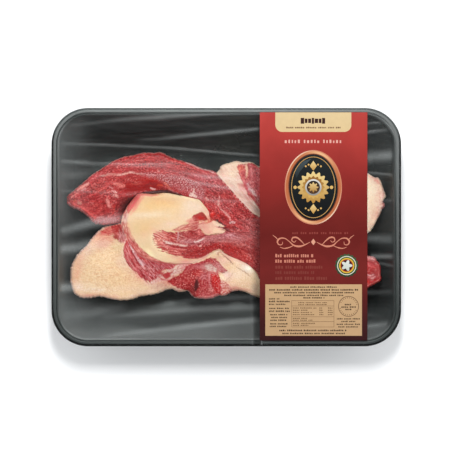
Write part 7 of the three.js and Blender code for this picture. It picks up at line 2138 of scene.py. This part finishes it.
def print_panel():
    """The tan field with its rows of small bars, ruled table and thin ring."""
    k = Inks()
    x0, x1, y0, y1 = 265.0, 361.6, 284.0, 335.4
    n = 8
    for i in range(n):
        a, b = x0 + (x1 - x0) * i / n, x0 + (x1 - x0) * (i + 1) / n
        t = i / (n - 1)
        c = np.array((208, 170, 126)) + (np.array((210, 172, 128)) - np.array((208, 170, 126))) * t
        k.plate([(a, y0), (b, y0), (b, y1), (a, y1)], 1, c, c * (0.975, 0.975, 0.985))
    ink, soft = (62, 44, 33), (118, 88, 61)
    kw = dict(w=(0.8, 1.5), gap=0.5, word=(4, 9), space=1.1)
    for i, (a, b, y, h) in enumerate(((290, 337, 286.6, 1.5), (269, 358, 289.4, 1.7), (274, 354, 292.2, 1.5), (284, 344, 294.9, 1.5),
                                      (303, 325, 297.4, 1.4))):
        k.marks(a, b, y, h, 2, ink, 31 + i, **kw)
    for i, (a, b, y) in enumerate(((268.6, 279, 298.4), (268.6, 290, 301), (268.6, 285, 303.8), (269, 289, 307.9), (268.6, 289.4, 310.7),
                                   (270, 287, 314.2), (271, 287, 317), (270, 286, 319.8), (270, 288, 323.4), (269.4, 288, 326))):
        k.marks(a, b, y, 1.7 if i in (4, 1) else 1.4, 2, ink, 41 + i, **kw)
    # the ruled table
    for y in (300.2, 305.6, 316.4, 321.2, 326.6):
        k.line([(291.4, y), (333.6, y)], 0.16, 2, soft)
    for x in (291.4, 333.6):
        k.line([(x, 300.2), (x, 326.6)], 0.16, 3, soft)
    for i, y in enumerate((302.2, 304.2, 307.6, 309.8, 312, 314.2, 318, 319.8, 323, 324.9)):
        k.marks(298 if i < 2 else 292.6, 327 if i < 2 else (308 + 4 * (i % 3)), y, 1.1, 2, soft, 61 + i, **kw)
        if 2 <= i <= 5:
            k.marks(319, 323, y, 1.1, 2, soft, 81 + i, **kw)
            k.marks(327.6, 332.4, y, 1.1, 2, soft, 91 + i, **kw)
    k.line(oval(348.2, 306, 10, 10, 48), 0.3, 2, (112, 82, 60), 1.0, True)
    for i in range(26):
        t = 2 * math.pi * i / 26
        c, s = math.cos(t), math.sin(t)
        if i % 13 not in (0, 1):
            k.plate([(348.2 + c * 8.0 - s * 0.3, 306 + s * 8.0 + c * 0.3), (348.2 + c * 9.1 - s * 0.3, 306 + s * 9.1 + c * 0.3),
                     (348.2 + c * 9.1 + s * 0.3, 306 + s * 9.1 - c * 0.3), (348.2 + c * 8.0 + s * 0.3, 306 + s * 8.0 - c * 0.3)], 2, soft)
    for i, (a, b, y) in enumerate(((344.4, 352, 304.2), (341, 355.4, 306.6), (345, 351.6, 309))):
        k.marks(a, b, y, 1.5, 2, ink, 71 + i, **kw)
    for i, (a, b, y) in enumerate(((336.6, 359.6, 318.4), (341, 355, 321), (336.4, 360, 323.8), (338, 357.6, 326.4))):
        k.marks(a, b, y, 1.4, 2, ink, 75 + i, **kw)
    k.marks(279, 347, 330, 1.7, 2, ink, 97, **kw)
    k.marks(282, 345, 333, 1.6, 2, ink, 98, **kw)
    return k.done("label_panel_print")


print_tab()
print_plaque()
print_middle()
print_panel()
